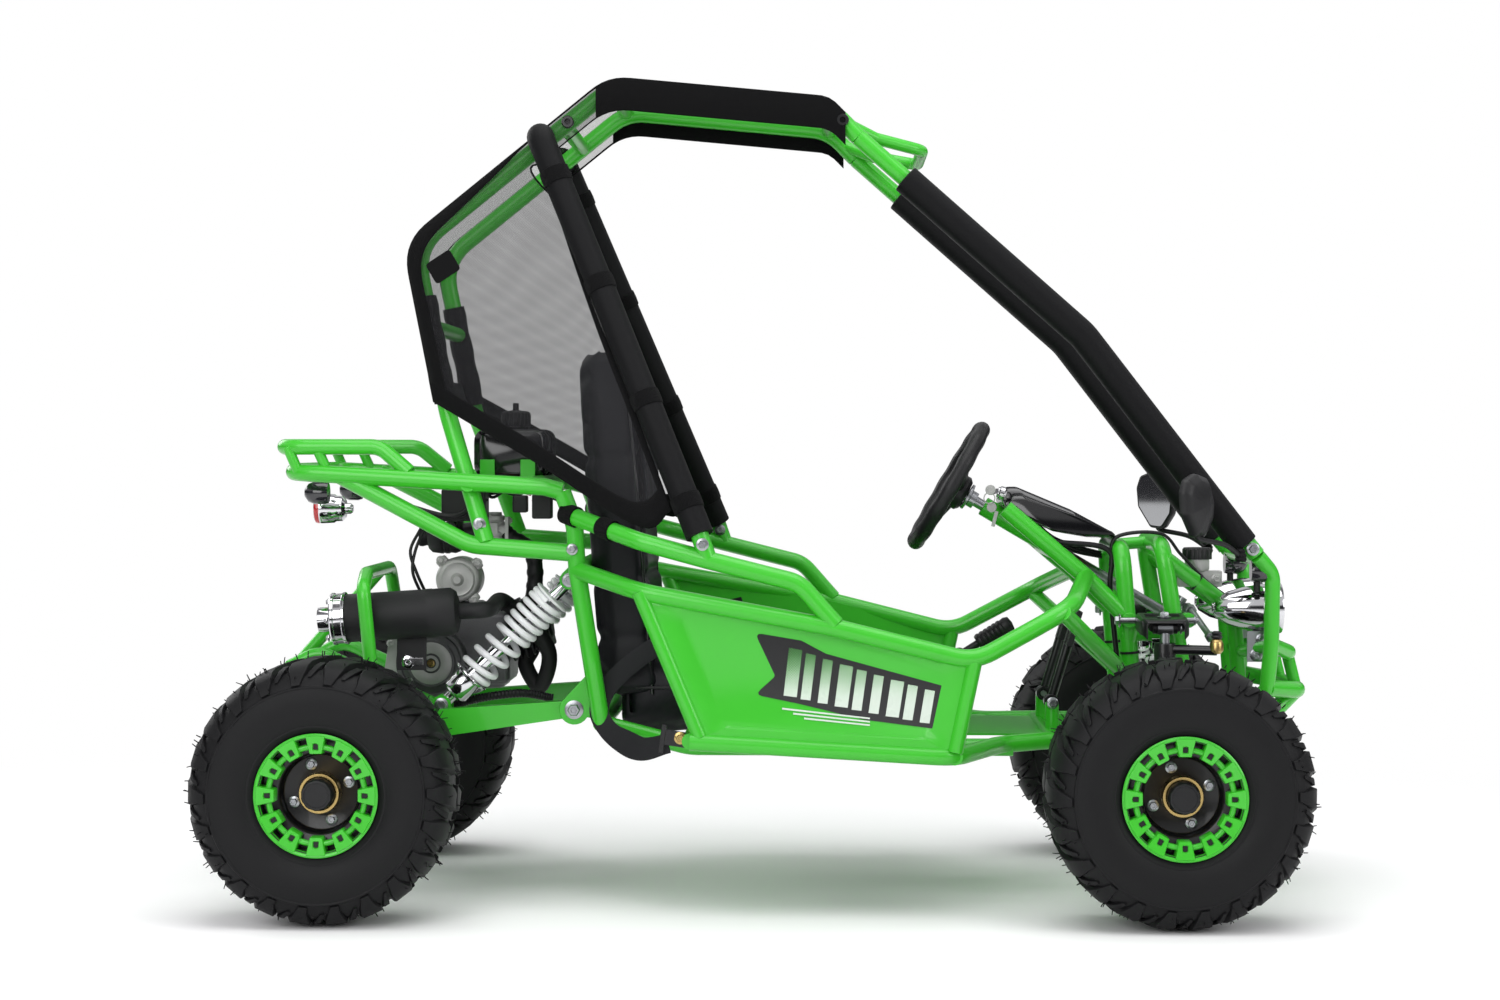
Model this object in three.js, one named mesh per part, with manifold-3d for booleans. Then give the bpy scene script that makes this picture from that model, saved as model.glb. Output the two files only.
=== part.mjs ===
// Off road go kart: tubular frame, bolted roll cage, swing arm engine cradle and double
// wishbone front end. X points forwards, Y to the driver's left and Z up, in millimetres.
import * as THREE from "three";
import { mergeVertices } from "three/addons/utils/BufferGeometryUtils.js";
import Module from "manifold-3d";

const wasm = await Module();
wasm.setup();

// Driving dimensions: wheels and the box that the frame fills.
const wheelbase = 1300;
const frameHeight = 1300;
const frontTrack = 790;
const rearTrack = 766;
const tyreDiameter = 406;
const tyreWidth = 203;
const rimDiameter = 178;
const bumperReach = 896;

// Half widths of the frame at the stations where it changes.
const bodyHalf = 360;
const grabHalf = 376;
const floorNoseHalf = 180;
const noseHalf = 52;
const lampHalf = 104;
const uprightHalf = 250;
const footHalf = 240;
const rackHalf = 215;
const cageHalf = 170;
const pillarTopHalf = 206;
const pillarMidHalf = 262;
const dashHalf = 130;
const guardHalf = 150;
const bumperHalf = 95;
const shockHalf = 150;
const cradleHalf = 118;
const innerRailHalf = 200;

// Tube diameters.
const mainTube = 28;
const rackTube = 25;
const lightTube = 20;
const armTube = 22;
const sleeveDiameter = 47;
const pillarSleeve = 44;

// Clearances and walls.
const seamGap = 0.4;
const runGap = 0.5;
const openGap = 4;
const overrun = 6;
const lattice = 0.02;
const sheetWall = 3;
const tabWall = 5;

// Steering.
const steeringWheelDiameter = 244;
const steeringGrip = 27;
const steeringShaft = 18;
const columnTube = 32;
const pitmanLength = 30;
const pitmanWidth = 16;
const tieRodDiameter = 12;
const steerArmLength = 77;
const steerArmInset = 30;

// Front suspension.
const towerSpread = 42;
const armPivotHalf = 157;
const armSpan = 75;
const armDrop = 7;
const kingpinDiameter = 16;
const knuckleBarrel = 34;
const pivotBolt = 10;
const pivotBarrel = 24;
const frontUpperPivot = 449;
const frontLowerPivot = 168;
const frontSpringDiameter = 42;

// Rear swing arm and shocks.
const swingBolt = 12;
const swingTube = 34;
const swingArmHalf = 180;
const swingArmWide = 26;
const swingArmDeep = 44;
const axleDiameter = 25;
const bearingDiameter = 70;
const rearSpringDiameter = 64;
const rearSpringWire = 9;
const rearSpringCurls = 9;
const damperDiameter = 36;
const damperRod = 14;
const shockEye = 24;
const shockEyeWidth = 22;
const shockBolt = 10;

// Power unit.
const crankcaseLength = 190;
const crankcaseHeight = 150;
const crankcaseWidth = 150;
const flywheelDiameter = 118;
const starterDiameter = 76;
const headWidth = 110;
const filterDiameter = 66;
const carbDiameter = 34;
const intakeDiameter = 26;
const mufflerDiameter = 78;
const headerDiameter = 26;
const tailpipeDiameter = 40;

// Body panels, seat, tank and lamps.
const panThickness = 3;
const panelRimShare = 0.19;
const panelRaise = 4;
const seatWidth = 400;
const seatBackThickness = 74;
const seatBaseHeight = 150;
const seatCrown = 26;
const channelDepth = 9;
const tankLength = 118;
const tankWidth = 190;
const tankHeight = 76;
const capDiameter = 50;
const capHeight = 40;
const headlightDiameter = 82;
const lampClearance = 9;
const tailLightDiameter = 50;
const tailLightLength = 52;
const tailLightDrop = 63;
const mirrorWidth = 108;
const mirrorHeight = 104;
const mirrorDepth = 34;
const stalkDiameter = 8;
const pedalWidth = 62;
const pedalLength = 120;
const canopySheet = 2.4;
const canopyStandoff = 1.2;
const canopyFold = 4;

// Facets.
const tubeSides = 5;
const thinSides = 4;
const roundSides = 10;
const pinSides = 6;
const axleSides = 12;
const bendSteps = 1;
const mitredTurn = 0.6;
const tyreLugs = 9;
const samplesPerLug = 3;

const right = -1;
const left = 1;

// Places seen from the side, as shares of the wheelbase ahead of its middle and of the
// frame height above the ground.
const stationShares = {
  uprightTop: [-0.230, 0.505], uprightKnee: [-0.215, 0.465], railJoint: [-0.212, 0.410],
  gusset: [-0.194, 0.295], uprightFoot: [-0.184, 0.222], swingPivot: [-0.2185, 0.2375],
  shockTop: [-0.2277, 0.3946], shockFoot: [-0.3862, 0.2400],
  railRear: [-0.131, 0.388], grabJoint: [0.103, 0.346], railCorner: [0.264, 0.306],
  railBend: [0.380, 0.369], railEnd: [0.4115, 0.398], strutTop: [0.370, 0.363],
  strutFoot: [0.466, 0.272],
  grabStart: [-0.2265, 0.479], grabShoulder: [-0.132, 0.448], pillarSocket: [-0.049, 0.426],
  grabBend: [0.058, 0.399], grabEnd: [0.101, 0.350],
  postRearFoot: [-0.0592, 0.216], postFrontFoot: [0.2415, 0.199],
  railRearFoot: [-0.0715, 0.211], railKink: [0.2415, 0.193], railTurn: [0.3015, 0.196],
  railInner: [0.3646, 0.199], noseRail: [0.615, 0.2015],
  innerRear: [-0.077, 0.192], innerFront: [0.318, 0.192],
  dashStart: [0.312, 0.483], dashJoint: [0.413, 0.397], dashEnd: [0.470, 0.340],
  dashBar: [0.338, 0.462], columnBar: [0.372, 0.430],
  rearTowerTop: [0.456, 0.434], rearTowerFoot: [0.4745, 0.2015],
  frontTowerTop: [0.506, 0.438], frontTowerFoot: [0.544, 0.2015],
  noseTubeStart: [0.509, 0.422], noseTubeEnd: [0.6030, 0.3535],
  guardTop: [0.6235, 0.4205], guardBend: [0.640, 0.402], guardFoot: [0.6335, 0.262],
  guardMid: [0.6385, 0.315], bumperHigh: [0.667, 0.303], bumperLow: [0.0, 0.256],
  lampBar: [0.613, 0.303],
  tubeBase: [0.6180, 0.4260], sleeveBottom: [0.6030, 0.4380], tubeBend: [0.4046, 0.696],
  sleeveTop: [0.1860, 0.8890], roofJoint: [0.1292, 0.9392], roofFront: [0.0938, 0.9754],
  roofRear: [-0.1738, 1.0008], cageShoulder: [-0.4169, 0.8046], cageKnee: [-0.3754, 0.600],
  cageFoot: [-0.3262, 0.452], hoopStart: [0.112, 0.957], hoopTurn: [0.150, 0.940],
  hoopTip: [0.209, 0.927], cageBar: [-0.232, 0.954], cageLowBar: [-0.397, 0.707],
  pillarTop: [-0.260, 0.9385], pillarMid: [-0.183, 0.7546], pillarFoot: [-0.059, 0.455],
  rackFront: [-0.2508, 0.5108], rackRear: [-0.5655, 0.5285], rackLoopJoint: [-0.4177, 0.5275],
  rackLoopBend: [-0.4554, 0.5592], rackLoopRear: [-0.5770, 0.5592],
  rackStubA: [-0.556, 0.5285], rackStubB: [-0.519, 0.527],
  supportRear: [-0.508, 0.526], supportKnee: [-0.343, 0.440], supportFront: [-0.217, 0.4308],
  tankBarFront: [-0.268, 0.5140], tankBarRear: [-0.345, 0.5140],
  cradleFront: [-0.3830, 0.2300], cradleRear: [-0.545, 0.3030], cradleTail: [-0.580, 0.285],
  hoopLegFoot: [-0.4600, 0.268], hoopLegTop: [-0.4715, 0.388], hoopCrown: [-0.4745, 0.4038],
  mufflerRear: [-0.5154, 0.3477], mufflerFront: [-0.3600, 0.3577], tailpipeEnd: [-0.5392, 0.3508],
  headerBend: [-0.3130, 0.3640], headerDrop: [-0.262, 0.305], headerLow: [-0.268, 0.262],
  headPort: [-0.285, 0.300], engineLug: [-0.4310, 0.2525],
  crankcase: [-0.3830, 0.3050], flywheel: [-0.4069, 0.2869], starter: [-0.3769, 0.3908],
  head: [-0.2780, 0.3330], carb: [-0.3315, 0.4531], filter: [-0.3931, 0.4477],
  intakeBend: [-0.282, 0.430],
  seatFoot: [-0.176, 0.238], seatTop: [-0.2100, 0.6930], seatBaseFront: [0.0500, 0.300],
  wheelCentre: [0.2462, 0.5100], headlight: [0.6555, 0.3585],
  mirrorCentre: [0.5385, 0.4880], mirrorBall: [0.5960, 0.4250],
  pedalPivot: [0.372, 0.240], leverPivot: [0.2646, 0.2877], leverGrip: [0.3169, 0.3208],
  tank: [-0.3070, 0.0],
};

const axleHeight = tyreDiameter / 2;
const kingpinHalf = armPivotHalf + armSpan;

// Returns the place of a named station at a distance y from the middle plane.
function station(name, y = 0) {
  const [xShare, zShare] = stationShares[name];
  return new THREE.Vector3(xShare * wheelbase, y, zShare * frameHeight);
}

// Returns a copy of a point moved by the given lengths.
function shifted(point, dx, dy, dz) {
  return new THREE.Vector3(point.x + dx, point.y + dy, point.z + dz);
}

// Returns a closed geometry's triangles as a solid, with its faces turned outwards.
function solidOf(geometry) {
  const bare = geometry.clone();
  bare.deleteAttribute("normal");
  bare.deleteAttribute("uv");
  const merged = mergeVertices(bare, 1e-3);
  const vertProperties = new Float32Array(merged.attributes.position.array);
  const triVerts = new Uint32Array(withoutSlivers(merged.index.array));
  if (signedVolume(vertProperties, triVerts) < 0) {
    for (let i = 0; i < triVerts.length; i += 3) {
      const held = triVerts[i];
      triVerts[i] = triVerts[i + 1];
      triVerts[i + 1] = held;
    }
  }
  return new wasm.Manifold(new wasm.Mesh({ numProp: 3, vertProperties, triVerts }));
}

// Returns a triangle list without the triangles that use a vertex twice.
function withoutSlivers(triangles) {
  const kept = [];
  for (let i = 0; i < triangles.length; i += 3) {
    const [a, b, c] = [triangles[i], triangles[i + 1], triangles[i + 2]];
    if (a !== b && b !== c && c !== a) {
      kept.push(a, b, c);
    }
  }
  return kept;
}

// Returns the volume inside a triangle list, negative where its faces point inwards.
function signedVolume(places, triangles) {
  const [a, b, c] = [new THREE.Vector3(), new THREE.Vector3(), new THREE.Vector3()];
  let total = 0;
  for (let i = 0; i < triangles.length; i += 3) {
    a.fromArray(places, 3 * triangles[i]);
    b.fromArray(places, 3 * triangles[i + 1]);
    c.fromArray(places, 3 * triangles[i + 2]);
    total += a.dot(b.cross(c));
  }
  return total;
}

// Returns a solid's surface as a geometry.
function geometryOf(solid) {
  const mesh = solid.getMesh();
  const geometry = new THREE.BufferGeometry();
  geometry.setAttribute("position", new THREE.BufferAttribute(mesh.vertProperties, 3));
  geometry.setIndex(new THREE.BufferAttribute(mesh.triVerts, 1));
  geometry.computeVertexNormals();
  return geometry;
}

// A route through given points, read point by point, so that bends keep their places.
class PointRoute extends THREE.Curve {
  constructor(points) {
    super();
    this.points = points;
  }

  getPoint(t, target = new THREE.Vector3()) {
    const index = Math.round(t * (this.points.length - 1));
    return target.copy(this.points[index]);
  }

  getPointAt(u, target) {
    return this.getPoint(u, target);
  }

  getTangentAt(u, target = new THREE.Vector3()) {
    const last = this.points.length - 1;
    const index = Math.round(u * last);
    const before = this.points[Math.max(index - 1, 0)];
    const here = this.points[index];
    const after = this.points[Math.min(index + 1, last)];
    const into = here.clone().sub(before).normalize();
    const out = after.clone().sub(here).normalize();
    return target.copy(into).add(out).normalize();
  }
}

// Returns the points of a run with each inner corner rounded by the bend radius.
function roundedRoute(points, bendRadius) {
  const route = [points[0]];
  for (let i = 1; i < points.length - 1; i += 1) {
    const toBefore = points[i - 1].clone().sub(points[i]);
    const toAfter = points[i + 1].clone().sub(points[i]);
    const turn = Math.PI - toBefore.angleTo(toAfter);
    const reach = bendRadius * Math.tan(turn / 2);
    const limit = 0.45 * Math.min(toBefore.length(), toAfter.length());
    const cut = Math.min(reach, limit);
    const start = points[i].clone().addScaledVector(toBefore.normalize(), cut);
    const end = points[i].clone().addScaledVector(toAfter.normalize(), cut);
    if (cut > overrun / 4 && turn > mitredTurn) {
      route.push(...new THREE.QuadraticBezierCurve3(start, points[i], end).getPoints(bendSteps));
    } else {
      route.push(points[i]);
    }
  }
  route.push(points[points.length - 1]);
  return route;
}

// Returns a regular section outline whose corners lie on the radius.
function roundSection(radius, sides) {
  const outline = [];
  for (let i = 0; i < sides; i += 1) {
    const angle = (2 * Math.PI * (i + 0.5)) / sides;
    outline.push(new THREE.Vector2(radius * Math.cos(angle), radius * Math.sin(angle)));
  }
  return new THREE.Shape(outline);
}

function sidesOf(diameter) {
  return diameter < mainTube ? thinSides : tubeSides;
}

// Returns the bore in which a faceted pin can turn: its flats clear the pin's corners.
function runningBore(diameter, sides) {
  return (diameter + runGap) / Math.cos(Math.PI / sides);
}

// Returns how far the flats of a faceted tube stand from its middle.
function flatReach(diameter, sides = sidesOf(diameter)) {
  return (diameter / 2) * Math.cos(Math.PI / sides);
}

// A member of a welded piece is a function that returns its solid, grown by a clearance.
function run(points, diameter, bendRadius = 0, facets = 0) {
  const sides = facets || sidesOf(diameter);
  return (grow = 0) => {
    const route = roundedRoute(points, bendRadius);
    const last = route.length - 1;
    const headWay = route[0].clone().sub(route[1]).normalize();
    const tailWay = route[last].clone().sub(route[last - 1]).normalize();
    route[0] = route[0].clone().addScaledVector(headWay, grow);
    route[last] = route[last].clone().addScaledVector(tailWay, grow);
    const settings = { steps: last, extrudePath: new PointRoute(route) };
    const section = roundSection(diameter / 2 + grow, sides);
    return solidOf(new THREE.ExtrudeGeometry(section, settings));
  };
}

// A box of the given size about its centre, turned about the Y axis.
function block(centre, length, width, height, pitch = 0) {
  return (grow = 0) => {
    const extra = 2 * grow;
    const geometry = new THREE.BoxGeometry(length + extra, width + extra, height + extra);
    geometry.rotateY(pitch);
    geometry.translate(centre.x, centre.y, centre.z);
    return solidOf(geometry);
  };
}

// A flat plate cut to a side view outline, with its middle at y.
function sidePlate(outline, y, thickness) {
  return (grow = 0) => {
    const shape = new THREE.Shape(outline.map((p) => new THREE.Vector2(p.x, p.z)));
    const depth = thickness + 2 * grow;
    const geometry = new THREE.ExtrudeGeometry(shape, { depth, bevelEnabled: false });
    geometry.rotateX(Math.PI / 2);
    geometry.translate(0, y + depth / 2, 0);
    return solidOf(geometry);
  };
}

// A turned piece about an axis that starts at a point: rows are [radius, distance along it].
function turned(origin, axis, rows, sides = roundSides) {
  return (grow = 0) => {
    const profile = rows.map(([radius, along]) => new THREE.Vector2(radius, along));
    const closed = rows[0][0] > 0;
    if (closed) {
      profile.push(profile[0].clone());
    }
    const geometry = new THREE.LatheGeometry(profile, sides);
    const way = axis.clone().normalize();
    const up = new THREE.Vector3(0, 1, 0);
    geometry.applyQuaternion(new THREE.Quaternion().setFromUnitVectors(up, way));
    geometry.translate(origin.x, origin.y, origin.z);
    return solidOf(geometry);
  };
}

// A plain round bar from one point to another.
function rod(from, to, diameter, sides = roundSides) {
  return run([from, to], diameter, 0, sides);
}

function weld(members, grow = 0) {
  return members.map((member) => member(grow)).reduce((sum, solid) => sum.add(solid));
}

function cutBy(solid, ...tools) {
  return tools.reduce((rest, tool) => rest.subtract(tool), solid);
}

// Returns the largest body of a solid whose cuts left slivers behind.
function largest(solid) {
  return solid.decompose().sort((a, b) => b.volume() - a.volume())[0];
}

// Returns the two mirrored places of a station, right then left.
function pair(name, half) {
  return [station(name, right * half), station(name, left * half)];
}

function crossTube(name, half, diameter) {
  return run(pair(name, half), diameter);
}

// A helical spring with squared ends: curls turn about the axis at a pitch that widens.
// The share is how much wider the last pitch is than the first.
function spring(from, to, diameter, wire, curls, widenShare) {
  const axis = to.clone().sub(from);
  const length = axis.length() - wire;
  const way = axis.clone().normalize();
  const side = new THREE.Vector3(0, 1, 0).cross(way).normalize();
  const other = way.clone().cross(side);
  const radius = (diameter - wire) / 2;
  const stepsPerCurl = 8;
  const sides = 4;
  const steps = Math.round(curls * stepsPerCurl);
  const climb = (t) => length * ((1 - widenShare) * t + widenShare * t * t);
  const points = [];
  for (let i = 0; i <= steps; i += 1) {
    const angle = (2 * Math.PI * i) / stepsPerCurl;
    points.push(from.clone()
      .addScaledVector(way, wire / 2 + climb(i / steps))
      .addScaledVector(side, radius * Math.cos(angle))
      .addScaledVector(other, radius * Math.sin(angle)));
  }
  const tangentEnd = points[steps].clone().sub(points[steps - 1]).normalize();
  const tangentStart = points[0].clone().sub(points[1]).normalize();
  tangentEnd.addScaledVector(way, -tangentEnd.dot(way)).normalize();
  tangentStart.addScaledVector(way, -tangentStart.dot(way)).normalize();
  points.push(points[steps].clone().addScaledVector(tangentEnd, wire));
  points.unshift(points[0].clone().addScaledVector(tangentStart, wire));
  let least = Infinity;
  for (let i = 0; i < points.length; i += 1) {
    for (let j = i + stepsPerCurl - 2; j < points.length; j += 1) {
      least = Math.min(least, points[i].distanceTo(points[j]) - wire);
    }
  }
  console.log(`spring of ${curls} curls: least gap to itself ${least.toFixed(2)} mm`);
  const settings = { steps: points.length - 1, extrudePath: new PointRoute(points) };
  return solidOf(new THREE.ExtrudeGeometry(roundSection(wire / 2, sides), settings));
}

// A padded block: a box grid whose top crowns, whose sides draw in between the corners and
// whose top has sewn channels across it. Lengths run along X, Y and Z before it is placed.
function cushion(length, width, height, crown, channelShares, drawShare) {
  const cells = [10, 4, 2];
  const geometry = new THREE.BoxGeometry(length, width, height, ...cells);
  const places = geometry.attributes.position;
  const p = new THREE.Vector3();
  for (let i = 0; i < places.count; i += 1) {
    p.fromBufferAttribute(places, i);
    const u = (2 * p.x) / length;
    const v = (2 * p.y) / width;
    const w = (2 * p.z) / height;
    const flat = (1 - u ** 4) * (1 - v ** 4);
    const channel = channelShares.reduce((sum, s) => sum + Math.exp(-(((u - s) * 9) ** 2)), 0);
    const lift = w > 0 ? crown * flat * w - channelDepth * channel * flat * w : 0;
    const bulge = 1 - w * w;
    p.x *= 1 - drawShare * (1 - bulge) * (1 - v * v) - drawShare * u * u * v * v;
    p.y *= 1 - drawShare * (1 - bulge) * (1 - u * u) - drawShare * u * u * v * v;
    p.z += lift;
    places.setXYZ(i, p.x, p.y, p.z);
  }
  return geometry;
}

// A thin sheet solid on a grid of points, thickened along each point's own normal.
function sheet(rows, thickness) {
  const down = rows.length;
  const across = rows[0].length;
  const normalAt = (i, j) => {
    const a = rows[Math.min(i + 1, down - 1)][j].clone().sub(rows[Math.max(i - 1, 0)][j]);
    const b = rows[i][Math.min(j + 1, across - 1)].clone().sub(rows[i][Math.max(j - 1, 0)]);
    return a.cross(b).normalize();
  };
  const places = [];
  for (const side of [0, 1]) {
    for (let i = 0; i < down; i += 1) {
      for (let j = 0; j < across; j += 1) {
        const p = rows[i][j].clone().addScaledVector(normalAt(i, j), side * thickness);
        places.push(p.x, p.y, p.z);
      }
    }
  }
  const at = (side, i, j) => side * down * across + i * across + j;
  const faces = [];
  const quad = (a, b, c, d) => faces.push(a, b, c, a, c, d);
  for (let i = 0; i < down - 1; i += 1) {
    for (let j = 0; j < across - 1; j += 1) {
      quad(at(0, i, j), at(0, i, j + 1), at(0, i + 1, j + 1), at(0, i + 1, j));
      quad(at(1, i, j), at(1, i + 1, j), at(1, i + 1, j + 1), at(1, i, j + 1));
    }
  }
  for (let i = 0; i < down - 1; i += 1) {
    quad(at(0, i, 0), at(0, i + 1, 0), at(1, i + 1, 0), at(1, i, 0));
    const j = across - 1;
    quad(at(0, i, j), at(1, i, j), at(1, i + 1, j), at(0, i + 1, j));
  }
  for (let j = 0; j < across - 1; j += 1) {
    quad(at(0, 0, j), at(1, 0, j), at(1, 0, j + 1), at(0, 0, j + 1));
    const i = down - 1;
    quad(at(0, i, j), at(0, i, j + 1), at(1, i, j + 1), at(1, i, j));
  }
  const geometry = new THREE.BufferGeometry();
  geometry.setAttribute("position", new THREE.Float32BufferAttribute(places, 3));
  geometry.setIndex(faces);
  return solidOf(geometry);
}

// Finishes.
const finish = (color, roughness, metalness) => ({ color, roughness, metalness });
const greenPaint = finish(0x4cd137, 0.3, 0.1);
const blackPaint = finish(0x15171a, 0.35, 0.2);
const foam = finish(0x1b1c1e, 0.9, 0);
const vinyl = finish(0x17181a, 0.55, 0);
const meshCloth = finish(0x202124, 0.9, 0);
const tyreRubber = finish(0x232325, 0.85, 0);
const zinc = finish(0xb9bcc0, 0.35, 0.9);
const chrome = finish(0xe4e6e8, 0.08, 1);
const whiteSteel = finish(0xf2f2f2, 0.35, 0.1);
const castMetal = finish(0x8e9194, 0.5, 0.8);
const heatBlack = finish(0x202124, 0.7, 0.3);
const glossBlack = finish(0x0c0d0f, 0.12, 0);

const kart = new THREE.Group();

// Returns a geometry whose vertices lie on a fine lattice, so that no two of them nearly meet.
function onLattice(geometry) {
  const places = geometry.attributes.position;
  for (let i = 0; i < places.array.length; i += 1) {
    places.array[i] = Math.round(places.array[i] / lattice) * lattice;
  }
  return geometry;
}

// Adds a named piece to the kart: its solid's largest body, without the slivers of its cuts.
function addPiece(name, solid, look) {
  const whole = largest(solidOf(onLattice(geometryOf(largest(solid)))));
  const mesh = new THREE.Mesh(geometryOf(whole), new THREE.MeshStandardMaterial(look));
  mesh.name = name;
  kart.add(mesh);
}

function sideName(side) {
  return side === right ? "right" : "left";
}

// Rear frame: the two uprights behind the seat, the cross tubes, the swing arm pivot plates,
// the shock brackets and the luggage rack that is welded to them.
function pivotPlateOutline() {
  const pivot = station("swingPivot");
  const r = swingTube / 2 + tabWall;
  return [
    station("gusset"), shifted(pivot, -r, 0, r), shifted(pivot, -r, 0, -r / 2),
    shifted(pivot, -r / 2, 0, -r), shifted(pivot, r, 0, -r), station("uprightFoot"),
  ];
}

function shockTabOutline(name, towards) {
  const bolt = station(name);
  const way = towards.clone().sub(bolt).setY(0);
  const across = new THREE.Vector3(way.z, 0, -way.x).normalize().multiplyScalar(shockEye * 0.6);
  const back = way.clone().normalize().multiplyScalar(shockEye * 0.6);
  return [
    bolt.clone().add(across), bolt.clone().sub(back).add(across.clone().multiplyScalar(0.5)),
    bolt.clone().sub(back).sub(across.clone().multiplyScalar(0.5)), bolt.clone().sub(across),
    towards.clone().sub(across), towards.clone().add(across),
  ];
}

function shockMount(name, side, towards) {
  const offset = shockEyeWidth / 2 + runGap + tabWall / 2;
  const outline = shockTabOutline(name, towards);
  const bolt = station(name, side * shockHalf);
  const reach = offset + tabWall;
  return [
    sidePlate(outline, side * shockHalf - offset, tabWall),
    sidePlate(outline, side * shockHalf + offset, tabWall),
    rod(shifted(bolt, 0, -reach, 0), shifted(bolt, 0, reach, 0), shockBolt, pinSides),
  ];
}

const rearFrameMembers = [];
for (const side of [right, left]) {
  const y = side * uprightHalf;
  rearFrameMembers.push(
    run([station("uprightTop", y), station("uprightKnee", y), station("railJoint", y),
      station("gusset", y), station("uprightFoot", side * (innerRailHalf + mainTube))],
    mainTube, mainTube * 3),
    run([station("supportRear", side * rackHalf), station("supportKnee", side * footHalf),
      station("supportFront", y)], mainTube, mainTube * 3),
    sidePlate(pivotPlateOutline(), side * (innerRailHalf + runGap + tabWall), 2 * tabWall),
    ...shockMount("shockTop", side, station("railJoint")),
    run([station("rackStubA", side * rackHalf), shifted(station("rackLoopRear", side * rackHalf),
      rackTube, 0, 0)], lightTube),
    run([station("rackStubB", side * rackHalf), shifted(station("rackLoopRear", side * rackHalf),
      rackTube * 3, 0, 0)], lightTube),
  );
}
rearFrameMembers.push(
  run([station("uprightTop", right * uprightHalf), station("rackFront", right * uprightHalf),
    station("rackRear", right * rackHalf), station("rackRear", left * rackHalf),
    station("rackFront", left * uprightHalf), station("uprightTop", left * uprightHalf)],
  mainTube, mainTube * 1.6),
  run([station("rackLoopJoint", right * rackHalf * 1.06),
    station("rackLoopBend", right * rackHalf), station("rackLoopRear", right * rackHalf),
    station("rackLoopRear", left * rackHalf), station("rackLoopBend", left * rackHalf),
    station("rackLoopJoint", left * rackHalf * 1.06)], rackTube, rackTube * 1.6),
  crossTube("railJoint", uprightHalf, mainTube),
  crossTube("uprightFoot", innerRailHalf + mainTube, mainTube),
  crossTube("tankBarFront", uprightHalf, rackTube),
  crossTube("tankBarRear", uprightHalf, rackTube),
  rod(station("swingPivot", right * (innerRailHalf + 4 * tabWall)),
    station("swingPivot", left * (innerRailHalf + 4 * tabWall)), swingBolt, pinSides),
);
const rearFrame = weld(rearFrameMembers);
addPiece("rear_frame", rearFrame, greenPaint);
const rearFrameRoom = weld(rearFrameMembers, seamGap);

// Floor frame: outer and inner rails, cross members, belly pan and the two lower front
// pivot rails that hang under the nose.
const armX = wheelbase / 2;
const pivotReach = towerSpread + mainTube * 0.75;
const hangReach = towerSpread + tabWall;
const bumperTip = station("bumperLow").setX(bumperReach - mainTube / 2);
const floorMembers = [];
for (const side of [right, left]) {
  const lowerPin = (dx, y) => new THREE.Vector3(armX + dx, side * y, frontLowerPivot);
  floorMembers.push(
    run([station("railRearFoot", side * bodyHalf), station("railKink", side * bodyHalf),
      station("railTurn", side * (floorNoseHalf + mainTube)),
      station("railInner", side * floorNoseHalf), station("rearTowerFoot", side * dashHalf),
      station("noseRail", side * dashHalf), bumperTip.clone().setY(side * bumperHalf * 0.8)],
    mainTube, mainTube * 2),
    run([station("uprightFoot", side * (innerRailHalf + mainTube)),
      station("innerRear", side * innerRailHalf), station("innerFront", side * innerRailHalf)],
    mainTube, mainTube * 3),
    rod(lowerPin(-pivotReach, armPivotHalf), lowerPin(pivotReach, armPivotHalf), pivotBolt,
      pinSides),
    ...[-hangReach, hangReach].map((dx) => run([lowerPin(dx, armPivotHalf),
      lowerPin(dx, dashHalf), lowerPin(dx, dashHalf).setZ(station("noseRail").z)], pivotBarrel)),
  );
}
const panRear = station("railRearFoot");
const panFront = station("railKink");
const panLevel = station("innerRear").z + mainTube / 2;
floorMembers.push(
  crossTube("railRearFoot", bodyHalf, rackTube),
  crossTube("railKink", bodyHalf, rackTube),
  crossTube("railInner", floorNoseHalf, rackTube),
  crossTube("rearTowerFoot", dashHalf, rackTube),
  crossTube("noseRail", dashHalf, rackTube),
  block(new THREE.Vector3((panRear.x + panFront.x) / 2, 0, panLevel + panThickness / 2),
    panFront.x - panRear.x, 2 * (bodyHalf - mainTube), panThickness),
  block(new THREE.Vector3((panFront.x + station("railInner").x) / 2, 0,
    panLevel + panThickness / 2), station("railInner").x - panFront.x + rackTube,
  2 * (floorNoseHalf - mainTube), panThickness),
);
const leverY = left * innerRailHalf * 0.5;
const postInset = armTube / 2 + pivotBarrel / 2 + runGap;
const leverPost = station("leverPivot", leverY + left * postInset);
floorMembers.push(
  run([leverPost.clone().setZ(panLevel), leverPost], armTube),
  rod(leverPost, shifted(leverPost, 0, right * (postInset + pivotBarrel / 2), 0), pivotBolt,
    pinSides),
);
const pedalHalf = dashHalf * 0.6;
for (const side of [right, left]) {
  const pedalPost = station("pedalPivot", side * (pedalHalf + postInset));
  floorMembers.push(
    run([pedalPost.clone().setZ(panLevel), pedalPost], armTube),
    rod(pedalPost, shifted(pedalPost, 0, -side * (postInset + pivotBarrel / 2), 0), pivotBolt,
      pinSides),
  );
}
const floorFrame = cutBy(weld(floorMembers), rearFrameRoom);
addPiece("floor_frame", floorFrame, greenPaint);
const floorRoom = weld(floorMembers, seamGap);

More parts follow.
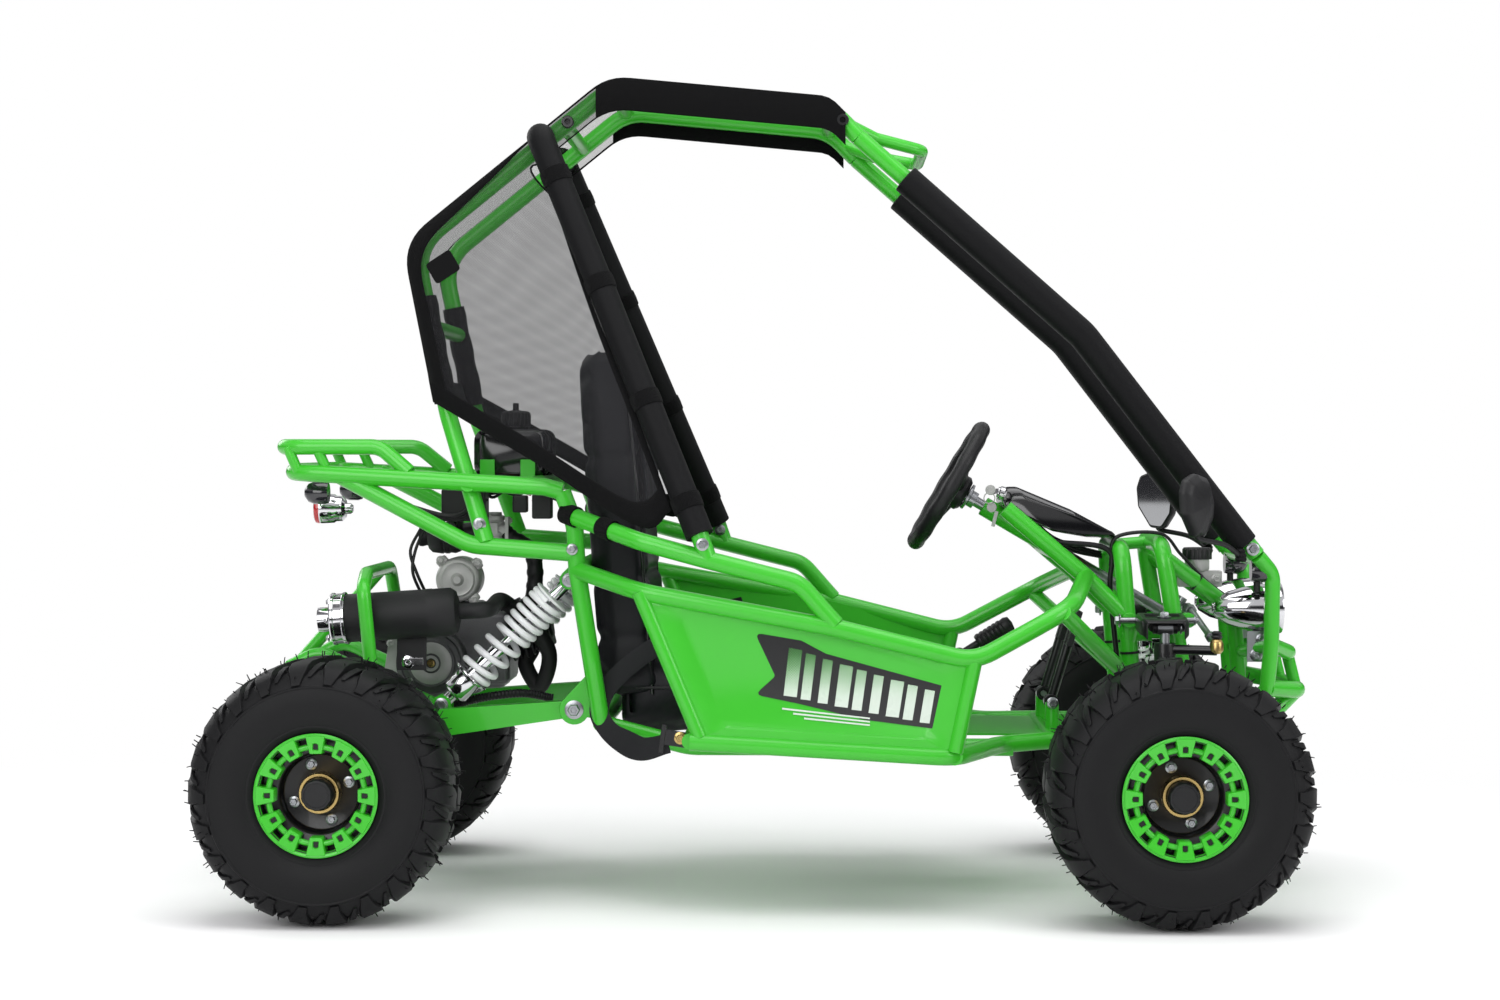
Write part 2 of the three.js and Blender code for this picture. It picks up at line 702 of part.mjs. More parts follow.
// Front frame: dash tubes, suspension towers, nose, headlight guards and bumper.
const wheelCentre = station("wheelCentre");
const columnWayShares = [0.861, 0, -0.508];
const columnWay = new THREE.Vector3(...columnWayShares).normalize();
const onColumn = (x) => wheelCentre.clone()
  .addScaledVector(columnWay, (x - wheelCentre.x) / columnWay.x);
const damperBarLevel = frontUpperPivot - pivotBarrel;
const frontMembers = [];
for (const side of [right, left]) {
  const y = side * dashHalf;
  const boltAt = (z, dx) => new THREE.Vector3(armX + dx, side * armPivotHalf, z);
  frontMembers.push(
    run([station("dashStart", y), station("dashJoint", y), station("dashEnd", y),
      station("rearTowerFoot", y).lerp(station("rearTowerTop", y), 0.5)], mainTube, mainTube * 2),
    run([station("rearTowerTop", y), station("rearTowerFoot", y)], mainTube),
    run([station("frontTowerTop", y), station("frontTowerFoot", y)], mainTube),
    run([station("noseTubeStart", y), station("noseTubeEnd", side * noseHalf),
      station("noseRail", side * noseHalf)], rackTube, mainTube),
    run([station("tubeBase", side * cageHalf), station("guardTop", side * (cageHalf - tabWall)),
      station("guardBend", side * guardHalf), station("guardMid", side * guardHalf),
      station("guardFoot", side * guardHalf), station("noseRail", side * dashHalf)],
    rackTube, mainTube * 1.2),
    rod(boltAt(frontUpperPivot, -pivotReach), boltAt(frontUpperPivot, pivotReach),
      pivotBolt, pinSides),
    ...[-hangReach, hangReach].map((dx) => rod(boltAt(frontUpperPivot, dx).setY(y),
      boltAt(frontUpperPivot, dx), pivotBarrel, tubeSides)),
  );
}
const columnTop = onColumn(station("dashStart").x - mainTube);
const columnFoot = onColumn(station("columnBar").x + mainTube);
const shaftEnd = onColumn(station("rearTowerTop").x + steerArmLength * 1.25);
frontMembers.push(
  crossTube("dashBar", dashHalf, rackTube),
  crossTube("columnBar", dashHalf, rackTube),
  crossTube("rearTowerTop", dashHalf, mainTube),
  crossTube("frontTowerTop", dashHalf, mainTube),
  crossTube("noseTubeEnd", noseHalf, rackTube),
  crossTube("guardTop", cageHalf - tabWall, rackTube),
  run([station("guardMid", right * guardHalf), station("lampBar", right * noseHalf * 1.5),
    station("lampBar", left * noseHalf * 1.5), station("guardMid", left * guardHalf)], lightTube),
  run([station("rearTowerTop", lightTube), station("frontTowerTop", lightTube)], lightTube),
  rod(columnTop, columnFoot, columnTube, roundSides),
  run([station("guardMid", right * guardHalf), station("bumperHigh", right * bumperHalf),
    station("bumperHigh", left * bumperHalf), station("guardMid", left * guardHalf)],
  rackTube, mainTube),
);
frontMembers.push(
  run([station("guardFoot", right * guardHalf), bumperTip.clone().setY(right * bumperHalf),
    bumperTip.clone().setY(left * bumperHalf), station("guardFoot", left * guardHalf)],
  mainTube, mainTube * 1.4),
);
for (const side of [right, left]) {
  frontMembers.push(
    run([station("bumperHigh", side * bumperHalf * 0.8),
      bumperTip.clone().setY(side * bumperHalf * 0.8)], lightTube),
    run([station("rearTowerTop", side * dashHalf).setZ(damperBarLevel),
      station("frontTowerTop", side * dashHalf).setZ(damperBarLevel)], armTube),
  );
}
const shaftWayBack = columnTop.clone().addScaledVector(columnWay, -mainTube * 2);
const shaftWayOn = shaftEnd.clone().addScaledVector(columnWay, mainTube * 1.4);
const shaftRoom = run([shaftWayBack, shaftWayOn], steeringShaft + 2 * runGap, 0, roundSides)();
const frontFrame = cutBy(weld(frontMembers), floorRoom, shaftRoom);
addPiece("front_frame", frontFrame, greenPaint);
const frontRoom = weld(frontMembers, seamGap);

// Side rails: upper rail, grab rail, panel posts and the strut to the tower.
function sideRailMembers(side) {
  const y = side * bodyHalf;
  return [
    run([station("railJoint", side * uprightHalf), station("railRear", y),
      station("grabJoint", side * grabHalf), station("railCorner", y),
      station("railBend", side * (bodyHalf - lightTube)), station("railEnd", side * dashHalf)],
    mainTube, mainTube * 3),
    run([station("grabStart", side * uprightHalf), station("grabShoulder", y),
      station("pillarSocket", side * grabHalf), station("grabBend", side * grabHalf),
      station("grabEnd", side * grabHalf)], mainTube, mainTube * 2),
    run([station("railRear", y), station("postRearFoot", y)], rackTube),
    run([station("railCorner", y), station("postFrontFoot", y)], rackTube),
    run([station("strutTop", side * (bodyHalf - lightTube)), station("strutFoot", side * dashHalf)],
      rackTube),
  ];
}
const sideRoom = {};
for (const side of [right, left]) {
  const members = sideRailMembers(side);
  const solid = cutBy(weld(members), rearFrameRoom, floorRoom, frontRoom);
  addPiece(`side_rail_${sideName(side)}`, solid, greenPaint);
  sideRoom[side] = weld(members, seamGap);
}

// Roll cage: two roof tubes that run down to the rack supports, cross bars and a front hoop.
const cageMembers = [];
for (const side of [right, left]) {
  const y = side * cageHalf;
  cageMembers.push(
    run([station("cageFoot", side * footHalf), station("cageKnee", side * (cageHalf + mainTube / 2)),
      station("cageShoulder", y), station("roofRear", y), station("roofFront", y),
      station("roofJoint", y)], mainTube, mainTube * 3),
  );
}
cageMembers.push(
  crossTube("roofRear", cageHalf, rackTube),
  crossTube("cageBar", cageHalf, rackTube),
  crossTube("cageLowBar", cageHalf, rackTube),
  crossTube("roofFront", cageHalf, rackTube),
  run([station("hoopStart", right * cageHalf), station("hoopTurn", right * (cageHalf - mainTube)),
    station("hoopTip", right * (cageHalf - mainTube * 2)),
    station("hoopTip", left * (cageHalf - mainTube * 2)),
    station("hoopTurn", left * (cageHalf - mainTube)), station("hoopStart", left * cageHalf)],
  lightTube, mainTube, thinSides),
);
const rollCage = cutBy(weld(cageMembers), rearFrameRoom);
addPiece("roll_cage", rollCage, greenPaint);
const cageRoom = weld(cageMembers, seamGap);

// Front tubes that run from the roof to the nose, each in a foam sleeve.
const sleeveRoom = {};
const mirrorRoom = {};
for (const side of [right, left]) {
  const y = side * cageHalf;
  const route = [station("roofJoint", y), station("tubeBend", y), station("tubeBase", y)];
  const tube = run(route, mainTube, mainTube * 4);
  const middle = [station("sleeveTop", y), station("tubeBend", y), station("sleeveBottom", y)];
  const sleeve = run(middle, sleeveDiameter, mainTube * 4);
  addPiece(`front_tube_${sideName(side)}`, cutBy(tube(), cageRoom, frontRoom), greenPaint);
  addPiece(`front_sleeve_${sideName(side)}`, cutBy(sleeve(), tube(seamGap), frontRoom), foam);
  sleeveRoom[side] = weld([sleeve, tube], seamGap);
  mirrorRoom[side] = weld([sleeve, tube], 2 * runGap);
}

// Rear pillars: padded tubes that lean out from the cage to the grab rails.
const pillarRoom = {};
for (const side of [right, left]) {
  const members = [
    run([station("pillarTop", side * cageHalf), station("pillarTop", side * pillarTopHalf),
      station("pillarMid", side * pillarMidHalf), station("pillarFoot", side * grabHalf)],
    pillarSleeve, mainTube * 1.5),
    run([station("pillarFoot", side * grabHalf), station("pillarSocket", side * grabHalf)],
      mainTube),
  ];
  const solid = cutBy(weld(members), cageRoom, sideRoom[side]);
  addPiece(`rear_pillar_${sideName(side)}`, solid, foam);
  pillarRoom[side] = weld(members, seamGap);
}

// Pressed side panels, welded between the rails and the posts.
for (const side of [right, left]) {
  const corners = ["railRear", "grabJoint", "railCorner", "postFrontFoot", "postRearFoot"];
  const outline = corners.map((name) => station(name));
  const middle = outline.reduce((sum, p) => sum.add(p), new THREE.Vector3())
    .divideScalar(outline.length);
  const inner = outline.map((p) => p.clone().lerp(middle, panelRimShare));
  const outer = sidePlate(outline, side * bodyHalf, panThickness)();
  const raised = sidePlate(outline, side * (bodyHalf + panelRaise / 2), panelRaise)();
  const recess = sidePlate(inner, side * (bodyHalf + panelRaise), 2 * panelRaise)(0);
  const plate = outer.add(cutBy(raised, recess));
  const solid = cutBy(plate, sideRoom[side], floorRoom);
  addPiece(`side_panel_${sideName(side)}`, solid, greenPaint);
}

// Canopy: one mesh sheet over the roof and down behind the cage, with a side sheet from
// each rear pillar to the cage tube and folds that deepen towards the hem.
const skin = mainTube / 2 + seamGap + canopyStandoff;
function outward(point, dx, dz) {
  return shifted(point, dx * skin, 0, dz * skin);
}
const hemRear = station("cageShoulder").lerp(station("cageKnee"), 0.93);
const canopyLine = [
  outward(station("roofFront"), -0.6, 1.1), outward(station("roofRear"), 0.2, 1.2),
  outward(station("roofRear"), -0.75, 1.0), outward(station("cageShoulder"), -0.9, 0.9),
  outward(station("cageShoulder"), -1.15, 0.1), outward(hemRear, -1.15, 0.1),
];
const canopyRows = canopyLine.map((p, i) => {
  const half = cageHalf + (i > 4 ? mainTube / 2 : 0) + skin + canopySheet / 2;
  const cells = 4;
  const row = [];
  for (let j = 0; j <= cells; j += 1) {
    const share = (2 * j) / cells - 1;
    const dip = i > 2 ? canopyFold * Math.sin(share * Math.PI * 2) * 0.5 : 0;
    row.push(shifted(p, -Math.abs(dip), share * half, 0));
  }
  return row;
});
const canopyParts = [sheet(canopyRows, canopySheet)];
const pillarBack = -pillarSleeve / 2 - canopyStandoff * 2;
for (const side of [right, left]) {
  const topY = side * (cageHalf + skin);
  const frontEdge = [
    shifted(station("pillarTop", topY), pillarBack, 0, mainTube / 2),
    shifted(station("pillarMid", side * pillarMidHalf), pillarBack, 0, 0),
    shifted(station("pillarMid", side * pillarMidHalf).lerp(
      station("pillarFoot", side * grabHalf), 0.42), pillarBack * 2.2, 0, 0),
  ];
  frontEdge[2].y = side * (uprightHalf + mainTube);
  const rearEdge = [
    canopyLine[2].clone().lerp(canopyLine[3], 0.34).setY(topY),
    canopyLine[4].clone().setY(topY),
    hemRear.clone().setY(side * (cageHalf + mainTube / 2 + skin)),
  ];
  rearEdge[0].z -= canopySheet;
  rearEdge[1].x += canopySheet / 2;
  rearEdge[2].x -= skin * 1.15 - canopySheet / 2;
  const rows = [];
  const down = 4;
  const across = 5;
  for (let i = 0; i <= down; i += 1) {
    const t = (2 * i) / down;
    const k = Math.min(Math.floor(t), 1);
    const front = frontEdge[k].clone().lerp(frontEdge[k + 1], t - k);
    const rear = rearEdge[k].clone().lerp(rearEdge[k + 1], t - k);
    const row = [];
    for (let j = 0; j <= across; j += 1) {
      const s = j / across;
      const fold = side * canopyFold * Math.sin(s * Math.PI * 3) * (i / down);
      row.push(shifted(front.clone().lerp(rear, s), 0, Math.abs(fold) * side, 0));
    }
    rows.push(row);
  }
  canopyParts.push(sheet(rows, side * canopySheet));
}
const canopySolid = cutBy(canopyParts.reduce((sum, s) => sum.add(s)), cageRoom,
  pillarRoom[right], pillarRoom[left]);
addPiece("canopy", canopySolid, meshCloth);

// Seat: a base cushion on the pan and a tall back cushion that leans on the cross tubes.
const seatRear = station("seatFoot").x;
const seatFront = station("seatBaseFront").x;
const seatFloor = panLevel + panThickness + seamGap;
const baseLength = seatFront - seatRear;
const baseGeometry = cushion(baseLength, seatWidth - mainTube, seatBaseHeight, seatCrown,
  [-0.2, 0.2, 0.6], 0.04);
baseGeometry.translate((seatRear + seatFront) / 2, 0, seatFloor + seatBaseHeight / 2);
const seatTop = station("seatTop");
const backHeight = seatTop.z - station("seatFoot").z;
const backGeometry = cushion(backHeight, seatWidth, seatBackThickness, seatCrown,
  [-0.3, 0, 0.3, 0.62], 0.05);
const lean = Math.atan2(station("seatFoot").x - seatTop.x, backHeight);
const backPlaces = backGeometry.attributes.position;
for (let i = 0; i < backPlaces.count; i += 1) {
  const rise = backPlaces.getX(i) / backHeight + 0.5;
  const waist = 1 - 0.42 * Math.max(rise - 0.62, 0) / 0.38;
  const v = backPlaces.getY(i) / (seatWidth / 2);
  const bolster = backPlaces.getZ(i) > 0 ? seatCrown * 1.6 * v ** 4 * Math.min(1, 1.6 - rise) : 0;
  backPlaces.setY(i, backPlaces.getY(i) * waist);
  backPlaces.setZ(i, backPlaces.getZ(i) + bolster);
}
backGeometry.rotateY(-Math.PI / 2);
backGeometry.scale(-1, 1, 1);
backGeometry.rotateY(-lean);
const backMiddle = station("seatFoot").lerp(seatTop, 0.5);
backGeometry.translate(backMiddle.x + seatBackThickness / 2 - mainTube * 0.4, 0, backMiddle.z);
const seatBack = cutBy(solidOf(backGeometry), rearFrameRoom, sideRoom[right], sideRoom[left],
  floorRoom);
const seatBackRoom = solidOf(backGeometry.clone().translate(seamGap * 2, 0, -seamGap * 2))
  .add(solidOf(backGeometry));
addPiece("seat_back", seatBack, vinyl);
addPiece("seat_base", cutBy(solidOf(baseGeometry), seatBackRoom, sideRoom[right],
  sideRoom[left], floorRoom), vinyl);

// Fuel tank on its two cross tubes, and its cap.
const tankFloor = station("tankBarFront").z + flatReach(rackTube) + seamGap;
const tankMiddle = new THREE.Vector3(station("tank").x, 0, tankFloor + tankHeight / 2);
function tankShape() {
  const profile = new THREE.Shape();
  const [hx, hz, r] = [tankLength / 2, tankHeight / 2, tankHeight / 3];
  profile.moveTo(-hx, -hz);
  profile.lineTo(hx, -hz);
  profile.lineTo(hx, hz - r);
  profile.quadraticCurveTo(hx, hz, hx - r, hz);
  profile.lineTo(-hx + r, hz);
  profile.quadraticCurveTo(-hx, hz, -hx, hz - r);
  const geometry = new THREE.ExtrudeGeometry(profile, {
    depth: tankWidth, bevelEnabled: false, curveSegments: 4,
  });
  geometry.rotateX(Math.PI / 2);
  geometry.translate(0, tankWidth / 2, 0);
  return geometry;
}
const tankGeometry = tankShape();
tankGeometry.translate(tankMiddle.x, tankMiddle.y, tankMiddle.z);
const neck = rod(shifted(tankMiddle, 0, 0, 0), shifted(tankMiddle, 0, 0,
  tankHeight / 2 + tabWall), capDiameter * 0.8, roundSides);
addPiece("fuel_tank", solidOf(tankGeometry).add(neck()), glossBlack);
const capFoot = shifted(tankMiddle, 0, 0, tankHeight / 2 + tabWall + seamGap);
addPiece("fuel_cap", turned(capFoot, new THREE.Vector3(0, 0, 1), [
  [0, 0], [capDiameter / 2, 0], [capDiameter / 2, capHeight * 0.6],
  [capDiameter * 0.4, capHeight * 0.7], [capDiameter * 0.1, capHeight * 0.72],
  [capDiameter * 0.1, capHeight], [0, capHeight],
])(), blackPaint);

// Dash cowl between the dash tubes, with the ignition lock.
const cowlHalf = dashHalf - flatReach(mainTube) - seamGap;
const cowlShares = [
  [0.308, 0.4900], [0.316, 0.5085], [0.332, 0.5085], [0.400, 0.4800], [0.452, 0.4520],
  [0.452, 0.4470], [0.415, 0.4480], [0.372, 0.4560],
];
const cowlOutline = cowlShares.map(([x, z]) => new THREE.Vector3(x * wheelbase, 0,
  z * frameHeight));
const lockPlace = new THREE.Vector3(cowlOutline[0].x, right * dashHalf * 0.45, cowlOutline[0].z);
const cowl = cutBy(sidePlate(cowlOutline, 0, 2 * cowlHalf)(), frontRoom, shaftRoom)
  .add(rod(shifted(lockPlace, mainTube, 0, mainTube * 0.4),
    shifted(lockPlace, -mainTube * 0.4, 0, mainTube * 0.6), lightTube, roundSides)());
addPiece("dash_cowl", cutBy(cowl, frontRoom), glossBlack);

// Headlights and tail light.
for (const side of [right, left]) {
  const front = station("headlight", side * lampHalf);
  const back = new THREE.Vector3(-1, 0, 0);
  const r = headlightDiameter / 2;
  const l = front.x - steerBall(side).x - tieRodDiameter / 2 - lampClearance;
  const lamp = turned(front, back, [[0, 0], [r, 0], [r, l * 0.2], [r * 0.9, l * 0.5],
    [r * 0.6, l * 0.85], [r * 0.22, l], [0, l]]);
  const stem = block(shifted(front, -l * 0.32, 0, -r - tabWall), rackTube, rackTube,
    r * 0.9);
  addPiece(`headlight_${sideName(side)}`, cutBy(weld([lamp, stem]), frontRoom), chrome);
}
const tailFace = shifted(station("rackRear"), 0, 0, -tailLightDrop);
addPiece("tail_light", cutBy(weld([
  turned(tailFace, new THREE.Vector3(1, 0, 0), [[0, 0], [tailLightDiameter * 0.46, 0],
    [tailLightDiameter / 2, tailLightLength * 0.2], [tailLightDiameter / 2, tailLightLength * 0.8],
    [tailLightDiameter * 0.4, tailLightLength], [0, tailLightLength]]),
  block(shifted(tailFace, tailLightLength * 0.3, 0, tailLightDiameter * 0.7), sheetWall * 4,
    rackTube, tailLightDiameter),
]), rearFrameRoom), chrome);

// Steering: wheel, shaft with its pitman arm, and the two tie rods.
const up = new THREE.Vector3(-columnWay.z, 0, columnWay.x);
const rimMiddle = (steeringWheelDiameter - steeringGrip) / 2;
const rimGeometry = new THREE.TorusGeometry(rimMiddle, steeringGrip / 2, 5, 14);
const facing = new THREE.Quaternion().setFromUnitVectors(new THREE.Vector3(0, 0, 1), columnWay);
rimGeometry.applyQuaternion(facing);
rimGeometry.translate(wheelCentre.x, wheelCentre.y, wheelCentre.z);
const hubBack = wheelCentre.clone().addScaledVector(columnWay, steeringGrip);
const spokes = [];
for (const turn of [-1, 0, 1]) {
  const angle = (turn * 2 * Math.PI) / 3 - Math.PI / 2;
  const tip = wheelCentre.clone()
    .addScaledVector(up, rimMiddle * Math.sin(angle))
    .addScaledVector(new THREE.Vector3(0, 1, 0), rimMiddle * Math.cos(angle));
  spokes.push(run([hubBack, tip], steeringGrip * 0.7, 0, thinSides));
}
const hub = turned(hubBack.clone().addScaledVector(columnWay, -steeringGrip * 0.4), columnWay,
  [[0, 0], [steeringShaft * 1.6, 0], [steeringShaft * 1.6, steeringGrip * 0.7],
    [0, steeringGrip * 0.7]]);
const steeringWheel = solidOf(rimGeometry).add(weld([...spokes, hub]));
addPiece("steering_wheel", steeringWheel, foam);
const shaftStart = hubBack.clone().addScaledVector(columnWay, steeringGrip * 0.3 + seamGap);
const pitmanTip = shaftEnd.clone().addScaledVector(up, pitmanLength);
const pitman = run([shaftEnd.clone().addScaledVector(up, -steeringShaft),
  pitmanTip.clone().addScaledVector(up, pitmanWidth / 2)], pitmanWidth);
const steeringShaftSolid = weld([rod(shaftStart, shaftEnd, steeringShaft), pitman]);
addPiece("steering_shaft", cutBy(steeringShaftSolid, steeringWheel), zinc);

function steerBall(side) {
  return new THREE.Vector3(armX + steerArmLength, side * (kingpinHalf + steerArmInset),
    frontUpperPivot - armDrop - pivotBarrel);
}
const rodStandoff = flatReach(pitmanWidth) + tieRodDiameter / 2 + seamGap;
for (const side of [right, left]) {
  const outer = steerBall(side).setY(side * (kingpinHalf + steerArmInset - pivotBarrel / 2
    - openGap));
  const inner = pitmanTip.clone().addScaledVector(columnWay, rodStandoff)
    .setY(side * (tieRodDiameter / 10 + seamGap));
  addPiece(`tie_rod_${sideName(side)}`, run([inner, outer], tieRodDiameter, 0, tubeSides)(), zinc);
}

// Front suspension: arms that hinge on the towers, kingpins, knuckles and dampers.
function wheelPoint(x, y, z = axleHeight) {
  return new THREE.Vector3(x, y, z);
}
const barrelReach = towerSpread - tabWall * 3;
const lowerBrace = armTube * 0.8;
for (const side of [right, left]) {
  const name = sideName(side);
  const innerY = side * armPivotHalf;
  const outerY = side * kingpinHalf;
  for (const [level, z] of [["upper", frontUpperPivot], ["lower", frontLowerPivot]]) {
    const pivot = new THREE.Vector3(armX, innerY, z);
    const outerPin = new THREE.Vector3(armX, outerY, z - armDrop);
    const reach = barrelReach;
    const armRod = level === "upper" ? armTube * 0.6 : armTube;
    const fork = pivotBarrel / 2 + runGap + armRod / 2;
    const members = [
      rod(shifted(pivot, -reach, 0, 0), shifted(pivot, reach, 0, 0), pivotBarrel, 8),
      rod(shifted(outerPin, -fork, 0, 0), shifted(outerPin, fork, 0, 0), pivotBolt, pinSides),
    ];
    for (const end of [-1, 1]) {
      members.push(run([shifted(pivot, end * (reach - tabWall), 0, 0),
        shifted(outerPin, end * fork, 0, 0)], armRod));
    }
    if (level === "upper") {
      members.push(block(pivot.clone().lerp(outerPin, 0.42), reach * 2, armSpan * 0.55,
        tabWall));
    } else {
      members.push(run([shifted(pivot.clone().lerp(outerPin, 0.5), -reach, 0, 0),
        shifted(pivot.clone().lerp(outerPin, 0.5), reach, 0, 0)], lowerBrace));
    }
    const bore = rod(shifted(pivot, -reach * 2, 0, 0), shifted(pivot, reach * 2, 0, 0),
      pivotBolt + 2 * runGap, pinSides);
    addPiece(`${level}_arm_${name}`, cutBy(weld(members), bore()),
      level === "upper" ? blackPaint : greenPaint);
  }
  const top = new THREE.Vector3(armX, outerY, frontUpperPivot - armDrop);
  const foot = new THREE.Vector3(armX, outerY, frontLowerPivot - armDrop);
  const eyeHalf = pivotBarrel / 2;
  const pinBores = [top, foot].map((p) => rod(shifted(p, -eyeHalf * 2, 0, 0),
    shifted(p, eyeHalf * 2, 0, 0), pivotBolt + 2 * runGap, pinSides)());
  addPiece(`kingpin_${name}`, cutBy(weld([
    rod(foot, top, kingpinDiameter, 8),
    rod(shifted(top, -eyeHalf, 0, 0), shifted(top, eyeHalf, 0, 0), pivotBarrel * 0.9, 8),
    rod(shifted(foot, -eyeHalf, 0, 0), shifted(foot, eyeHalf, 0, 0), pivotBarrel * 0.9, 8),
  ]), ...pinBores), zinc);
  const barrelTop = top.z - pivotBarrel;
  const barrelFoot = foot.z + pivotBarrel * 0.75;
  const ball = steerBall(side);
  const hubFace = side * (frontTrack / 2 - tyreWidth * 0.18);
  const stubEnd = side * (frontTrack / 2 + tyreWidth * 0.12);
  const knuckle = weld([
    rod(new THREE.Vector3(armX, outerY, barrelFoot), new THREE.Vector3(armX, outerY, barrelTop),
      knuckleBarrel, 8),
    run([new THREE.Vector3(armX, outerY, axleHeight), wheelPoint(armX, hubFace)],
      axleDiameter * 1.2, 0, 8),
    run([wheelPoint(armX, hubFace - side * tabWall), wheelPoint(armX, stubEnd)],
      axleDiameter * 0.72, 0, 8),
    run([new THREE.Vector3(armX, outerY, barrelTop - pivotBarrel * 0.4),
      new THREE.Vector3(ball.x, ball.y, barrelTop - pivotBarrel * 0.4)], armTube * 0.7, 0, 6),
    rod(new THREE.Vector3(ball.x, ball.y, barrelTop - pivotBarrel * 0.6),
      shifted(ball, 0, 0, pivotBarrel * 0.4), pivotBarrel * 0.9, 8),
  ]);
  const kingpinBore = rod(shifted(foot, 0, 0, -overrun), shifted(top, 0, 0, overrun),
    runningBore(kingpinDiameter, 8), 8);
  addPiece(`knuckle_${name}`, cutBy(knuckle, kingpinBore()), zinc);
  const damperTop = new THREE.Vector3(armX, side * (dashHalf + armTube / 4),
    damperBarLevel - flatReach(armTube) - seamGap - damperRod * 0.14);
  const damperFoot = new THREE.Vector3(armX, innerY + side * armSpan * 0.5,
    frontLowerPivot - armDrop / 2 + flatReach(lowerBrace) + damperRod * 0.18);
  const damperWay = damperFoot.clone().sub(damperTop).normalize();
  const reachDown = damperFoot.distanceTo(damperTop);
  const damper = turned(damperTop, damperWay, [[0, 0], [damperRod, 0],
    [frontSpringDiameter / 2, damperRod], [frontSpringDiameter / 2, reachDown * 0.72],
    [damperRod, reachDown * 0.72], [damperRod, reachDown], [0, reachDown]], 8)();
  addPiece(`front_shock_${name}`, damper, whiteSteel);
}

// Wheels: a lugged tyre, and a dished rim with its clamp ring, hub and bore.
function tyreSolid(middleY, side) {
  const r = tyreDiameter / 2;
  const h = tyreWidth / 2;
  const steps = tyreLugs * samplesPerLug;
  const seat = (rimDiameter / 2 + seamGap) / Math.cos(Math.PI / steps);
  const rows = [
    [seat, h * 0.84, 0], [r * 0.64, h, 0], [r * 0.86, h * 0.95, 0.5], [r * 0.96, h * 0.72, 1],
    [r, h * 0.28, 1], [r, -h * 0.28, 1], [r * 0.96, -h * 0.72, 1], [r * 0.86, -h * 0.95, 0.5],
    [r * 0.64, -h, 0], [seat, -h * 0.84, 0],
  ];
  const treadDepth = r * 0.045;
  const places = [];
  for (let i = 0; i < steps; i += 1) {
    rows.forEach(([radius, y, share], k) => {
      const slant = k < rows.length / 2 ? 0 : 1;
      const groove = (i + slant) % samplesPerLug === 0 ? treadDepth * share : 0;
      const angle = (2 * Math.PI * (i + Math.abs(y / h) * 0.4)) / steps;
      places.push((radius - groove) * Math.cos(angle), y, (radius - groove) * Math.sin(angle));
    });
  }
  const faces = [];
  const n = rows.length;
  for (let i = 0; i < steps; i += 1) {
    for (let k = 0; k < n; k += 1) {
      const a = i * n + k;
      const b = i * n + ((k + 1) % n);
      const c = ((i + 1) % steps) * n + ((k + 1) % n);
      const d = ((i + 1) % steps) * n + k;
      faces.push(a, b, c, a, c, d);
    }
  }
  const geometry = new THREE.BufferGeometry();
  geometry.setAttribute("position", new THREE.Float32BufferAttribute(places, 3));
  geometry.setIndex(faces);
  geometry.rotateY(Math.PI / 2 + (side * Math.PI) / steps);
  return (x) => solidOf(geometry.clone().translate(x, middleY, axleHeight));
}

function rimSolid(x, middleY, side, boreDiameter) {
  const r = rimDiameter / 2;
  const h = tyreWidth / 2;
  const bore = boreDiameter / 2 / Math.cos(Math.PI / roundSides) + runGap;
  const ring = h * 0.88 + seamGap;
  const rows = [
    [bore, h * 0.62], [r * 0.34, h * 0.62], [r * 0.36, h * 0.28], [r * 0.66, h * 0.28],
    [r * 0.74, ring + panelRaise * 2], [r * 1.04, ring + panelRaise * 2],
    [r * 1.04, ring], [r, ring], [r, -h * 0.78], [r * 0.9, -h * 0.78],
    [r * 0.88, h * 0.14], [bore, h * 0.14],
  ];
  return turned(wheelPoint(x, middleY), new THREE.Vector3(0, side, 0), rows)();
}

const rearX = -wheelbase / 2;
for (const [end, x, track, bore] of [
  ["front", armX, frontTrack, axleDiameter * 0.72], ["rear", rearX, rearTrack, axleDiameter]]) {
  for (const side of [right, left]) {
    const y = (side * track) / 2;
    addPiece(`${end}_tyre_${sideName(side)}`, tyreSolid(y, side)(x), tyreRubber);
    addPiece(`${end}_rim_${sideName(side)}`, rimSolid(x, y, side, bore), blackPaint);
  }
}

